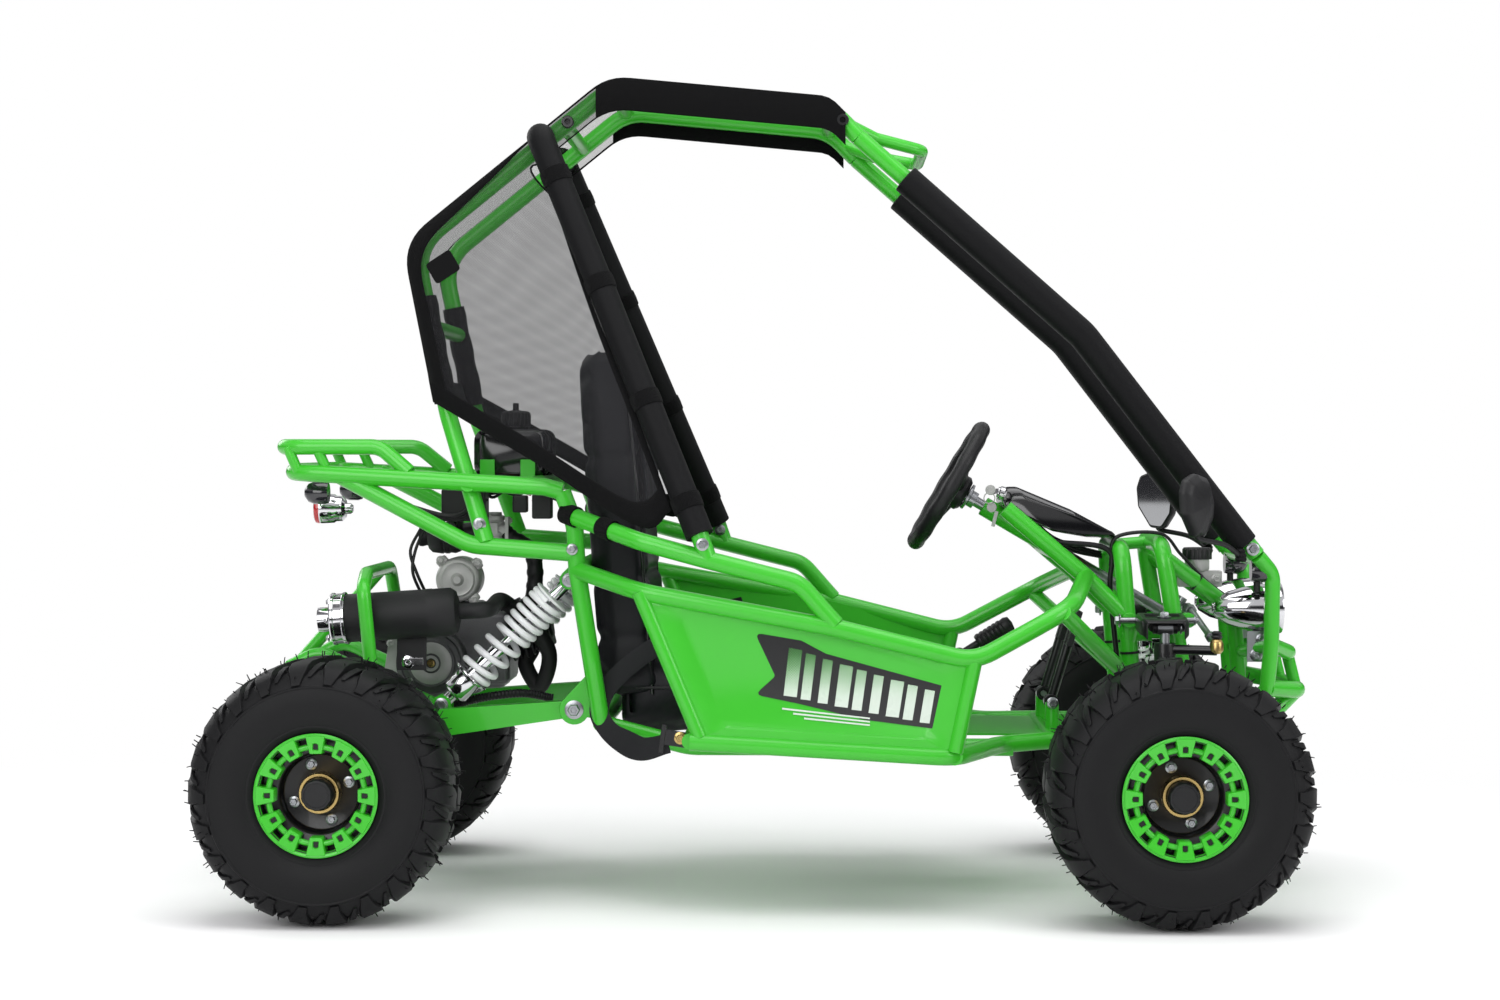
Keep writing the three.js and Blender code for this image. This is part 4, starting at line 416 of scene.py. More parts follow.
def turned(origin: np.ndarray, way: Sequence[float], rows: Sequence[tuple[float, float]],
           sides: int = 40) -> Shell:
    """A turned piece: each row (radius, distance) is a circle at that distance along the axis.

    Args:
        origin: where the axis starts.
        way: direction of the axis.
        rows: the profile; closed on itself when it doesn't start on the axis.
        sides: steps round the axis.

    Returns:
        The shell.
    """
    along = unit(way)
    first, second = axes_from(along)
    profile = np.asarray(rows, float)
    ring = circle(sides)
    spokes = ring[:, :1] * first + ring[:, 1:] * second
    grid = origin + profile[:, None, 1:] * along + profile[:, None, :1] * spokes[None]
    return grid_shell(grid, profile[0, 0] > 0, True)


def rod(origin: np.ndarray, way: Sequence[float], radius: float, length: float,
        sides: int = 40, bore: float = 0.0) -> Shell:
    """A plain rod or disc from its origin along a way, or a bush where it has a bore."""
    return turned(origin, way, [(bore, 0), (radius, 0), (radius, length), (bore, length)], sides)


def plate(outline: np.ndarray, middle: float, thickness: float) -> Shell:
    """A flat plate cut to a side view outline of (x, z), centred on a distance from the middle
    plane."""
    near = np.insert(np.asarray(outline, float)[:, [0, -1]], 1, middle - thickness / 2, axis=1)
    return capped([near, near + [0, thickness, 0]], True)


def block(centre: Sequence[float], size: Sequence[float], pitch: float = 0.0) -> Shell:
    """A box of the given size about its centre, turned by pitch about the Y axis."""
    x, y, z = np.asarray(size, float) / 2
    outline = np.array([[-x, -z], [x, -z], [x, z], [-x, z]])
    turn = np.array([[math.cos(pitch), -math.sin(pitch)], [math.sin(pitch), math.cos(pitch)]])
    shell = plate(outline @ turn, 0, 2 * y)
    shell.points = shell.points + np.asarray(centre, float)
    return shell


def set_on(origin: np.ndarray, way: Sequence[float], up: Sequence[float]) -> Matrix:
    """The matrix that carries local Z to a way, local X near to up, and the middle to origin."""
    z = unit(way)
    y = unit(np.cross(z, up))
    matrix = np.eye(4)
    matrix[:3, 0], matrix[:3, 1], matrix[:3, 2], matrix[:3, 3] = np.cross(y, z), y, z, origin
    return Matrix(matrix.tolist())


def bolt(place: np.ndarray, way: Sequence[float], across: float = 0.013) -> Shell:
    """A flange bolt: a washer face, a six-sided head and a shallow dished top.

    Args:
        place: the middle of the seat face.
        way: the way that the head points.
        across: head width over its corners.

    Returns:
        The shell.
    """
    r = across / 2
    flange = turned(place, way, [(0, -0.001), (r * 1.45, -0.001), (r * 1.5, 0.0008),
                                 (r * 1.1, 0.002), (0, 0.002)], 24)
    head = turned(place, way, [(0, 0), (r, 0), (r, r * 0.9), (r * 0.86, r * 1.1),
                               (r * 0.5, r * 1.1), (r * 0.42, r * 0.95), (0, r * 0.95)], 6)
    return joined([flange, head])


def cap_bolt(place: np.ndarray, way: Sequence[float], diameter: float = 0.018) -> Shell:
    """A round headed bolt with a hollow in its face."""
    r = diameter / 2
    return turned(place, way, [(0, -0.002), (r, -0.002), (r, r * 0.55), (r * 0.85, r * 0.75),
                               (r * 0.5, r * 0.75), (r * 0.45, r * 0.3), (0, r * 0.3)], 24)


class Graph:
    """Adds nodes to a tree, and links them."""

    def __init__(self, tree: bpy.types.NodeTree) -> None:
        """Keeps the tree that the nodes go into."""
        self.tree = tree

    def node(self, kind: str, **settings: object) -> bpy.types.Node:
        """Adds a node of a kind and sets its properties."""
        made = self.tree.nodes.new(kind)
        for name, value in settings.items():
            setattr(made, name, value)
        return made

    def link(self, source: bpy.types.NodeSocket, target: bpy.types.NodeSocket) -> None:
        """Links two sockets."""
        self.tree.links.new(source, target)

    def feed(self, target: bpy.types.NodeSocket, value: object) -> None:
        """Links a socket, or sets a plain value, on a target."""
        if isinstance(value, bpy.types.NodeSocket):
            self.link(value, target)
        else:
            target.default_value = value

    def math(self, operation: str, a: object, b: object = 0.0) -> bpy.types.NodeSocket:
        """The result of a Math node on sockets or numbers."""
        made = self.node("ShaderNodeMath", operation=operation)
        self.feed(made.inputs[0], a)
        self.feed(made.inputs[1], b)
        return made.outputs[0]

    def ramp(self, value: object, low: object, high: object) -> bpy.types.NodeSocket:
        """A value carried from low..high to 0..1, with soft ends."""
        made = self.node("ShaderNodeMapRange", interpolation_type="SMOOTHSTEP")
        for socket, number in zip(made.inputs, (value, low, high)):
            self.feed(socket, number)
        return made.outputs[0]

    def mix(self, share: object, a: object, b: object) -> bpy.types.NodeSocket:
        """Colours a and b mixed by a share."""
        made = self.node("ShaderNodeMix", data_type="RGBA")
        self.feed(made.inputs[0], share)
        self.feed(made.inputs[6], a)
        self.feed(made.inputs[7], b)
        return made.outputs[2]

    def noise(self, scale: object) -> bpy.types.NodeSocket:
        """A noise value on object coordinates, with three layers of detail."""
        place = self.node("ShaderNodeTexCoord").outputs["Object"]
        made = self.node("ShaderNodeTexNoise")
        self.link(place, made.inputs["Vector"])
        self.feed(made.inputs["Scale"], scale)
        made.inputs["Detail"].default_value = 3.0
        return made.outputs["Fac"]

    def group(self, tree: bpy.types.NodeTree, **values: object) -> bpy.types.Node:
        """Adds a shared group and sets its inputs."""
        made = self.node("ShaderNodeGroup", node_tree=tree)
        for name, value in values.items():
            made.inputs[name].default_value = value
        return made

    def bump(self, height: bpy.types.NodeSocket, shader: bpy.types.Node,
             **values: float) -> None:
        """Feeds a height to a shader's normal, through a bump with the given inputs."""
        made = self.node("ShaderNodeBump")
        for name, value in values.items():
            made.inputs[name].default_value = value
        self.link(height, made.inputs["Height"])
        self.link(made.outputs[0], shader.inputs["Normal"])

    def crossed_waves(self, parts: bpy.types.Node, axis: int,
                      pitch: object) -> bpy.types.NodeSocket:
        """The product of two waves, along both diagonals of x and another axis."""
        waves = []
        for operation in ("ADD", "SUBTRACT"):
            diagonal = self.math(operation, parts.outputs[0], parts.outputs[axis])
            turn = self.math("MULTIPLY", self.math("DIVIDE", diagonal, pitch), math.pi)
            waves.append(self.math("ABSOLUTE", self.math("SINE", turn)))
        return self.math("MULTIPLY", waves[0], waves[1])

    def seen(self, rays: bpy.types.Node) -> bpy.types.NodeSocket:
        """One for the rays that the picture is seen by, straight or through glass."""
        return self.math("MAXIMUM", rays.outputs["Is Camera Ray"],
                         rays.outputs["Is Transmission Ray"])


def effect_group(name: str, inputs: dict[str, tuple[str, object]],
                 outputs: dict[str, str]) -> tuple[bpy.types.NodeTree, Graph, dict, dict]:
    """Starts a shader node group.

    Args:
        name: the group's name.
        inputs: socket name to its kind and starting value.
        outputs: socket name to its kind.

    Returns:
        The tree, its graph, and the inner sockets of its inputs and outputs by name.
    """
    tree = bpy.data.node_groups.new(name, "ShaderNodeTree")
    for socket, (kind, value) in inputs.items():
        tree.interface.new_socket(socket, in_out="INPUT", socket_type=kind).default_value = value
    for socket, kind in outputs.items():
        tree.interface.new_socket(socket, in_out="OUTPUT", socket_type=kind)
    graph = Graph(tree)
    source = graph.node("NodeGroupInput").outputs
    target = graph.node("NodeGroupOutput").inputs
    return (tree, graph, {key: source[key] for key in inputs},
            {key: target[key] for key in outputs})


def mottle_group() -> bpy.types.NodeTree:
    """Colour and gloss that drift from place to place, by two sizes of noise."""
    tree, graph, give, take = effect_group(
        "mottle",
        {"Colour": ("NodeSocketColor", (1, 1, 1, 1)), "Depth": ("NodeSocketFloat", 0.1),
         "Scale": ("NodeSocketFloat", 20.0), "Roughness": ("NodeSocketFloat", 0.5)},
        {"Colour": "NodeSocketColor", "Roughness": "NodeSocketFloat"})
    broad = graph.noise(give["Scale"])
    fine = graph.noise(graph.math("MULTIPLY", give["Scale"], 9.0))
    both = graph.math("ADD", graph.math("MULTIPLY", broad, 0.7), graph.math("MULTIPLY", fine, 0.3))
    spread = graph.math("MULTIPLY", graph.math("SUBTRACT", both, 0.5), give["Depth"])
    hsv = graph.node("ShaderNodeHueSaturation")
    graph.link(give["Colour"], hsv.inputs["Color"])
    graph.link(graph.math("ADD", graph.math("MULTIPLY", spread, 3.0), 1.0), hsv.inputs["Value"])
    graph.link(hsv.outputs[0], take["Colour"])
    graph.link(graph.math("ADD", give["Roughness"], graph.math("MULTIPLY", spread, 1.2)),
               take["Roughness"])
    return tree


def grain_group() -> bpy.types.NodeTree:
    """Height of a moulded or cast skin: fine noise with the ridges of small cells."""
    tree, graph, give, take = effect_group(
        "grain", {"Scale": ("NodeSocketFloat", 400.0)}, {"Height": "NodeSocketFloat"})
    place = graph.node("ShaderNodeTexCoord").outputs["Object"]
    cells = graph.node("ShaderNodeTexVoronoi", feature="DISTANCE_TO_EDGE")
    graph.link(place, cells.inputs["Vector"])
    graph.link(give["Scale"], cells.inputs["Scale"])
    ridges = graph.ramp(cells.outputs["Distance"], 0.0, 0.25)
    graph.link(graph.math("ADD", graph.math("MULTIPLY", ridges, 0.6),
                          graph.math("MULTIPLY", graph.noise(give["Scale"]), 0.8)),
               take["Height"])
    return tree


def weave_group() -> bpy.types.NodeTree:
    """Thread mask and height of an open weave on the piece's own UV map: a hole stands where
    the sines of both diagonals are high."""
    tree, graph, give, take = effect_group(
        "weave", {"Pitch": ("NodeSocketFloat", 0.004), "Opening": ("NodeSocketFloat", 0.4)},
        {"Thread": "NodeSocketFloat", "Height": "NodeSocketFloat"})
    parts = graph.node("ShaderNodeSeparateXYZ")
    graph.link(graph.node("ShaderNodeTexCoord").outputs["UV"], parts.inputs[0])
    both = graph.crossed_waves(parts, 1, give["Pitch"])
    fringe, solid, clear = 0.30, 0.68, 0.40
    high = graph.math("ADD", give["Opening"], fringe)
    hole = graph.node("ShaderNodeMapRange")
    for socket, source in zip(hole.inputs, (both, give["Opening"], high)):
        graph.link(source, socket)
    lost = graph.math("MULTIPLY", hole.outputs[0], clear)
    graph.link(graph.math("SUBTRACT", solid, lost), take["Thread"])
    graph.link(graph.math("SUBTRACT", 1.0, both), take["Height"])
    return tree


def halftone_group() -> bpy.types.NodeTree:
    """Mask of round dots that grow upwards and backwards, and a share that fades with height."""
    tree, graph, give, take = effect_group(
        "halftone", {"Pitch": ("NodeSocketFloat", 0.004), "Low": ("NodeSocketFloat", 0.3),
                     "High": ("NodeSocketFloat", 0.4)},
        {"Dots": "NodeSocketFloat", "Fade": "NodeSocketFloat"})
    parts = graph.node("ShaderNodeSeparateXYZ")
    graph.link(graph.node("ShaderNodeTexCoord").outputs["Object"], parts.inputs[0])
    dots = graph.crossed_waves(parts, 2, give["Pitch"])
    drift = graph.math("MULTIPLY", graph.math("SUBTRACT", graph.noise(16.0), 0.5), 0.03)
    level = graph.math("ADD", parts.outputs[2], drift)
    fade = graph.ramp(level, give["Low"], give["High"])
    graph.link(fade, take["Fade"])
    graph.link(graph.ramp(graph.math("SUBTRACT", dots, graph.math("SUBTRACT", 1.05, fade)),
                          0.0, 0.10), take["Dots"])
    return tree


class Effects:
    """The shared node groups, each built once."""

    def __init__(self) -> None:
        """Builds the groups."""
        self.mottle = mottle_group()
        self.grain = grain_group()
        self.weave = weave_group()
        self.halftone = halftone_group()


@dataclass(frozen=True)
class Finish:
    """A surface finish: a base colour that drifts a little, gloss, and the grain of the skin."""

    name: str
    slot: str
    colour: tuple[float, float, float]
    roughness: float
    metallic: float = 0.0
    coat: float = 0.0
    drift: float = 0.10
    drift_scale: float = 14.0
    grain_scale: float = 0.0
    grain_depth: float = 0.0
    transmission: float = 0.0
    sheen: float = 0.0
    glow: float = 0.0
    specular: float = 0.5

    def material(self, effects: Effects) -> bpy.types.Material:
        """The finish as a material, made once.

        Args:
            effects: the shared node groups.

        Returns:
            The material.
        """
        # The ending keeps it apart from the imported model's material of the same name.
        name = f"{self.name}_finish"
        if name in bpy.data.materials:
            return bpy.data.materials[name]
        made = bpy.data.materials.new(name)
        made.use_nodes = True
        graph = Graph(made.node_tree)
        shader = made.node_tree.nodes["Principled BSDF"]
        for socket, value in (("Metallic", self.metallic), ("Coat Weight", self.coat),
                              ("Coat Roughness", 0.08), ("Transmission Weight", self.transmission),
                              ("Sheen Weight", self.sheen), ("Sheen Roughness", 0.4),
                              ("Specular IOR Level", self.specular)):
            shader.inputs[socket].default_value = value
        mottle = graph.group(effects.mottle, Colour=(*self.colour, 1), Depth=self.drift,
                             Scale=self.drift_scale, Roughness=self.roughness)
        graph.link(mottle.outputs["Colour"], shader.inputs["Base Color"])
        graph.link(mottle.outputs["Roughness"], shader.inputs["Roughness"])
        if self.grain_depth:
            grain = graph.group(effects.grain, Scale=self.grain_scale)
            graph.bump(grain.outputs["Height"], shader, Distance=self.grain_depth, Strength=0.6)
        if self.glow:
            shader.inputs["Emission Color"].default_value = (*self.colour, 1)
            shader.inputs["Emission Strength"].default_value = self.glow
        self.dress(graph, shader, effects)
        return made

    def dress(self, graph: Graph, shader: bpy.types.Node, effects: Effects) -> None:
        """Adds what is special to a finish; plain ones add nothing."""


@dataclass(frozen=True)
class WovenCloth(Finish):
    """Cloth with a weave; open cloth is clear in its holes."""

    pitch: float = 0.004
    opening: float = 0.4
    open_holes: bool = True

    def dress(self, graph: Graph, shader: bpy.types.Node, effects: Effects) -> None:
        """Adds the weave's height, and its holes where they are open."""
        weave = graph.group(effects.weave, Pitch=self.pitch, Opening=self.opening)
        if self.open_holes:
            graph.link(weave.outputs["Thread"], shader.inputs["Alpha"])
        else:
            graph.bump(weave.outputs["Height"], shader, Distance=self.pitch / 4)


@dataclass(frozen=True)
class PanelPrint(Finish):
    """A printed film: pale bars that fade through green into black by way of round dots."""

    pale: tuple[float, float, float] = (0.60, 0.68, 0.60)
    dot: tuple[float, float, float] = (0.004, 0.006, 0.005)
    low: float = 0.325
    high: float = 0.435

    def dress(self, graph: Graph, shader: bpy.types.Node, effects: Effects) -> None:
        """Feeds the base colour from the halftone."""
        half = graph.group(effects.halftone, Low=self.low, High=self.high)
        deep = graph.mix(half.outputs["Fade"], (*self.pale, 1), (*self.colour, 1))
        dotted = graph.mix(half.outputs["Dots"], deep, (*self.dot, 1))
        graph.link(dotted, shader.inputs["Base Color"])


GREEN = Finish("green_powder_coat", "green_paint", (0.040, 0.455, 0.020), 0.30, coat=0.30,
               drift=0.05, drift_scale=6.0, grain_scale=700, grain_depth=0.00006, specular=0.4)
BLACK_PAINT = Finish("black_powder_coat", "black_paint", (0.006, 0.006, 0.007), 0.34, coat=0.2,
                     grain_scale=700, grain_depth=0.00006, specular=0.35)
PLASTIC = Finish("black_plastic", "black_plastic", (0.007, 0.007, 0.008), 0.42,
                 grain_scale=900, grain_depth=0.00010, specular=0.35)
FOAM = Finish("foam_sleeve", "foam", (0.0040, 0.0040, 0.0047), 0.55, drift=0.14, drift_scale=9.0,
              grain_scale=650, grain_depth=0.00018, sheen=0.02, specular=0.14)
CLOTH = WovenCloth("black_cloth", "mesh_cloth", (0.0030, 0.0030, 0.0034), 0.78, sheen=0.02,
                   pitch=0.0022, open_holes=False, specular=0.12)
WEBBING = WovenCloth("grey_webbing", "mesh_cloth", (0.012, 0.012, 0.014), 0.72, sheen=0.1,
                     pitch=0.0036, open_holes=False, specular=0.25)
MESH = WovenCloth("canopy_mesh", "mesh_cloth", (0.010, 0.010, 0.012), 0.62, pitch=0.0026,
                  opening=0.16, specular=0.3)
SEAT_MESH = WovenCloth("seat_mesh", "vinyl", (0.010, 0.011, 0.016), 0.66, pitch=0.0040,
                       open_holes=False, specular=0.3)
VINYL = Finish("seat_vinyl", "vinyl", (0.0050, 0.0050, 0.0072), 0.42, drift=0.12, drift_scale=8.0,
               grain_scale=520, grain_depth=0.00022, specular=0.22)
RUBBER = Finish("tyre_rubber", "tyre_rubber", (0.0050, 0.0050, 0.0057), 0.56, drift=0.16,
                drift_scale=11.0, specular=0.22)
ZINC = Finish("zinc_plate", "zinc", (0.36, 0.37, 0.39), 0.30, metallic=1.0, drift=0.16,
              drift_scale=60.0)
SATIN = Finish("satin_alloy", "cast_metal", (0.46, 0.46, 0.45), 0.46, metallic=0.45, drift=0.12,
               drift_scale=60.0)
CHROME = Finish("chrome", "chrome", (0.64, 0.64, 0.66), 0.09, metallic=1.0, drift=0.03)
WHITE = Finish("white_powder_coat", "white_paint", (0.86, 0.86, 0.88), 0.30, coat=0.3,
               drift=0.03, grain_scale=700, grain_depth=0.00005)
# Cast alloy of the crankcase and flywheel cover: its own grey, set darker to stand for the shade
# that the crankcase sits in, so partly painted shade.
SHADED_CAST = Finish("cast_alloy_shaded", "cast_metal", (0.13, 0.13, 0.135), 0.46, metallic=0.80, drift=0.22,
              drift_scale=40.0, grain_scale=420, grain_depth=0.00030)
# Dark casting of the cylinder, head cover and caliper: a dark casting colour set near black, with
# painted shade for the cylinder that sits in shadow.
DARK_CAST_AND_SHADE = Finish("dark_casting", "cast_metal", (0.016, 0.016, 0.018), 0.50, metallic=0.4,
                   drift=0.2, drift_scale=40.0, grain_scale=420, grain_depth=0.00030)
HEAT = Finish("heat_black", "heat_black", (0.009, 0.009, 0.010), 0.58, drift=0.16,
              grain_scale=600, grain_depth=0.00014, specular=0.35)
GLOSS = Finish("gloss_black", "gloss_black", (0.004, 0.004, 0.005), 0.16, coat=0.4, drift=0.04)
BRASS = Finish("brass", "zinc", (0.50, 0.36, 0.14), 0.28, metallic=1.0, drift=0.14,
               drift_scale=50.0)
RED_LENS = Finish("red_lens", "chrome", (0.45, 0.008, 0.010), 0.10, coat=0.6, glow=0.10)
SMOKED = Finish("smoked_lens", "black_plastic", (0.018, 0.018, 0.022), 0.10, coat=0.6)
CLEAR = Finish("lamp_glass", "chrome", (0.95, 0.95, 0.96), 0.03, transmission=1.0, drift=0.01)
MIRROR = Finish("mirror_glass", "chrome", (0.72, 0.73, 0.74), 0.03, metallic=1.0, drift=0.02)
RED_WIRE = Finish("red_wire", "black_plastic", (0.40, 0.012, 0.010), 0.35)
PRINT = PanelPrint("panel_print", "green_paint", (0.050, 0.420, 0.030), 0.28, coat=0.3)
GREY_BELLY = Finish("belly_film", "black_plastic", (0.14, 0.14, 0.15), 0.40)


class Fitter:
    """Makes each piece a Blender object, dresses it and ties it to its body."""

    def __init__(self) -> None:
        """Starts with the shared effects and no pieces."""
        self.effects = Effects()
        self.made: dict[str, bpy.types.Object] = {}

    def add(self, name: str, body: str, finish: Finish, shells: Sequence[Shell] | Shell,
            replaces: Sequence[str] = (), bevel: float = 0.0, smooth_turn: float = 38.0,
            thickness: float = 0.0, subdivide: int = 0) -> bpy.types.Object:
        """Makes one piece.

        Args:
            name: the piece's name.
            body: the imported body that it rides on.
            finish: its finish.
            shells: its surfaces.
            replaces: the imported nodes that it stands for.
            bevel: width of the rounding of its hard edges.
            smooth_turn: the turn in degrees above which an edge stays sharp.
            thickness: wall that an open surface gets, or none.
            subdivide: levels of subdivision.

        Returns:
            The object.
        """
        shell = shells if isinstance(shells, Shell) else joined(list(shells))
        mesh = bpy.data.meshes.new(name)
        mesh.from_pydata(shell.points.tolist(), [], shell.quads.tolist() + shell.others)
        if shell.uv is not None:
            layer = mesh.uv_layers.new(name="cloth")
            corners = np.empty(len(mesh.loops), np.int32)
            mesh.loops.foreach_get("vertex_index", corners)
            layer.data.foreach_set("uv", shell.uv[corners].astype(np.float32).ravel())
        work = bmesh.new()
        work.from_mesh(mesh)
        bmesh.ops.remove_doubles(work, verts=work.verts, dist=MERGE_GAP)
        bmesh.ops.recalc_face_normals(work, faces=work.faces)
        work.to_mesh(mesh)
        work.free()
        mesh.shade_smooth()
        mesh.set_sharp_from_angle(angle=math.radians(smooth_turn))
        piece = bpy.data.objects.new(name, mesh)
        bpy.context.scene.collection.objects.link(piece)
        mesh.materials.append(finish.material(self.effects))
        if thickness:
            wall = piece.modifiers.new("wall", "SOLIDIFY")
            wall.thickness = thickness
            wall.offset = 0
        if bevel:
            edge = piece.modifiers.new("edge", "BEVEL")
            edge.width = bevel
            edge.segments = 2
            edge.limit_method = "ANGLE"
            edge.angle_limit = math.radians(HARD_TURN)
            edge.harden_normals = True
        if subdivide:
            finer = piece.modifiers.new("finer", "SUBSURF")
            finer.levels = finer.render_levels = subdivide
        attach(piece, body)
        if replaces:
            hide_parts(*replaces)
        self.made[name] = piece
        log.info("%s: %d points on %s", name, len(shell.points), body)
        return piece


@dataclass
class Studio:
    """Camera, lights, floor and world."""

    camera_place: tuple[float, float, float] = (0.0845, -4.651, 0.728)
    camera_yaw: float = 1.42
    camera_pitch: float = 1.10
    lens: float = 67.2
    aim_level: float = 0.55
    floor_reach: float = 30.0
    fade_start: float = 0.75
    fade_end: float = 1.9

    def build(self) -> None:
        """Makes them all."""
        self.camera()
        self.lights()
        self.floor()
        self.world()

    def camera(self) -> None:
        """The photograph's viewpoint: yaw to the left and pitch down from looking along Y."""
        data = bpy.data.cameras.new("camera")
        data.lens = self.lens
        data.sensor_width = 36
        camera = bpy.data.objects.new("camera", data)
        camera.location = self.camera_place
        camera.rotation_euler = (math.radians(90 - self.camera_pitch), 0,
                                 math.radians(self.camera_yaw))
        bpy.context.scene.collection.objects.link(camera)
        bpy.context.scene.camera = camera

    def lights(self) -> None:
        """Four large soft panels, each turned towards the middle of the kart."""
        for name, place, size, power in (
                ("overhead", (0.2, -0.6, 3.6), 3.4, 95), ("by_camera", (-1.6, -3.8, 2.0), 2.4, 62),
                ("front_quarter", (3.4, -2.2, 1.8), 1.8, 34),
                ("rear_quarter", (-3.2, 2.6, 2.2), 2.0, 40)):
            data = bpy.data.lights.new(name, "AREA")
            data.size = size
            data.energy = power
            lamp = bpy.data.objects.new(name, data)
            lamp.location = place
            way = UPWARD * self.aim_level - np.array(place)
            lamp.rotation_euler = Matrix(np.array(set_on(np.zeros(3), -way, UPWARD))).to_euler()
            bpy.context.scene.collection.objects.link(lamp)

    def floor(self) -> None:
        """A pale floor that keeps the shadow near the kart and fades to white away from it."""
        r = self.floor_reach
        corners = np.array([[[-r, -r, 0], [r, -r, 0]], [[-r, r, 0], [r, r, 0]]], float)
        shell = grid_shell(corners)
        mesh = bpy.data.meshes.new("floor")
        mesh.from_pydata(shell.points.tolist(), [], shell.quads.tolist())
        floor = bpy.data.objects.new("floor", mesh)
        bpy.context.scene.collection.objects.link(floor)
        made = bpy.data.materials.new("pale_floor")
        made.use_nodes = True
        graph = Graph(made.node_tree)
        shader = made.node_tree.nodes["Principled BSDF"]
        shader.inputs["Roughness"].default_value = 0.9
        shader.inputs["Specular IOR Level"].default_value = 0.1
        place = graph.node("ShaderNodeTexCoord").outputs["Object"]
        parts = graph.node("ShaderNodeSeparateXYZ")
        graph.link(place, parts.inputs[0])
        stretched = graph.node("ShaderNodeCombineXYZ")
        graph.link(graph.math("MULTIPLY", parts.outputs[0], 0.5), stretched.inputs[0])
        graph.link(parts.outputs[1], stretched.inputs[1])
        away = graph.node("ShaderNodeVectorMath", operation="LENGTH")
        graph.link(stretched.outputs[0], away.inputs[0])
        fade = graph.ramp(away.outputs["Value"], self.fade_start, self.fade_end)
        shader.inputs["Base Color"].default_value = (0.93, 0.93, 0.93, 1)
        white = graph.node("ShaderNodeEmission")
        rays = graph.node("ShaderNodeLightPath")
        seen = graph.seen(rays)
        mix = graph.node("ShaderNodeMixShader")
        graph.link(graph.math("MULTIPLY", fade, seen), mix.inputs[0])
        graph.link(shader.outputs[0], mix.inputs[1])
        graph.link(white.outputs[0], mix.inputs[2])
        graph.link(mix.outputs[0], made.node_tree.nodes["Material Output"].inputs[0])
        mesh.materials.append(made)

    def world(self) -> None:
        """A world that is white to the camera, softer as a light, and banded with dark and pale
        to the rays that shiny surfaces send out."""
        world = bpy.data.worlds.new("studio")
        world.use_nodes = True
        bpy.context.scene.world = world
        graph = Graph(world.node_tree)
        rays = graph.node("ShaderNodeLightPath")
        seen = graph.seen(rays)
        back = world.node_tree.nodes["Background"]
        parts = graph.node("ShaderNodeSeparateXYZ")
        graph.link(graph.node("ShaderNodeTexCoord").outputs["Generated"], parts.inputs[0])
        high = graph.ramp(parts.outputs[2], 0.18, 0.34)
        top = graph.ramp(parts.outputs[2], 0.72, 0.86)
        band = graph.math("SUBTRACT", high, graph.math("MULTIPLY", top, 0.75))
        dark = graph.mix(band, (0.03, 0.03, 0.033, 1), (0.70, 0.70, 0.71, 1))
        soft = graph.mix(rays.outputs["Is Glossy Ray"], (0.60, 0.60, 0.61, 1), dark)
        graph.link(graph.mix(seen, soft, (1, 1, 1, 1)), back.inputs["Color"])
        bpy.context.scene.view_settings.view_transform = "Standard"


def bumper_tip(y: float) -> np.ndarray:
    """The place of the bumper's foremost tube at a distance to the left."""
    return xyz(BUMPER_REACH - MAIN_TUBE / 2 + ROW_SHIFT, y, BUMPER_LEVEL)


def shock_tab(name: str, towards: np.ndarray) -> np.ndarray:
    """Side outline of a shock bracket: round about the bolt and straight to its root."""
    eye = at(name)
    way = unit((towards - eye) * [1, 0, 1])
    across = xyz(way[2], 0, -way[0])
    turn = np.linspace(-math.pi / 2, math.pi / 2, 9)[:, None]
    nose = eye + 0.0155 * (np.sin(turn) * across - np.cos(turn) * way)
    return np.concatenate([nose, [towards + across * 0.0155, towards - across * 0.0155]])


def shock_bracket(name: str, side: Side, towards: np.ndarray) -> list[Shell]:
    """The two tabs of a shock bracket."""
    outline = shock_tab(name, towards)
    middle = side.value * SHOCK_HALF
    return [plate(outline, middle + offset, TAB_WALL) for offset in (-0.0140, 0.0140)]


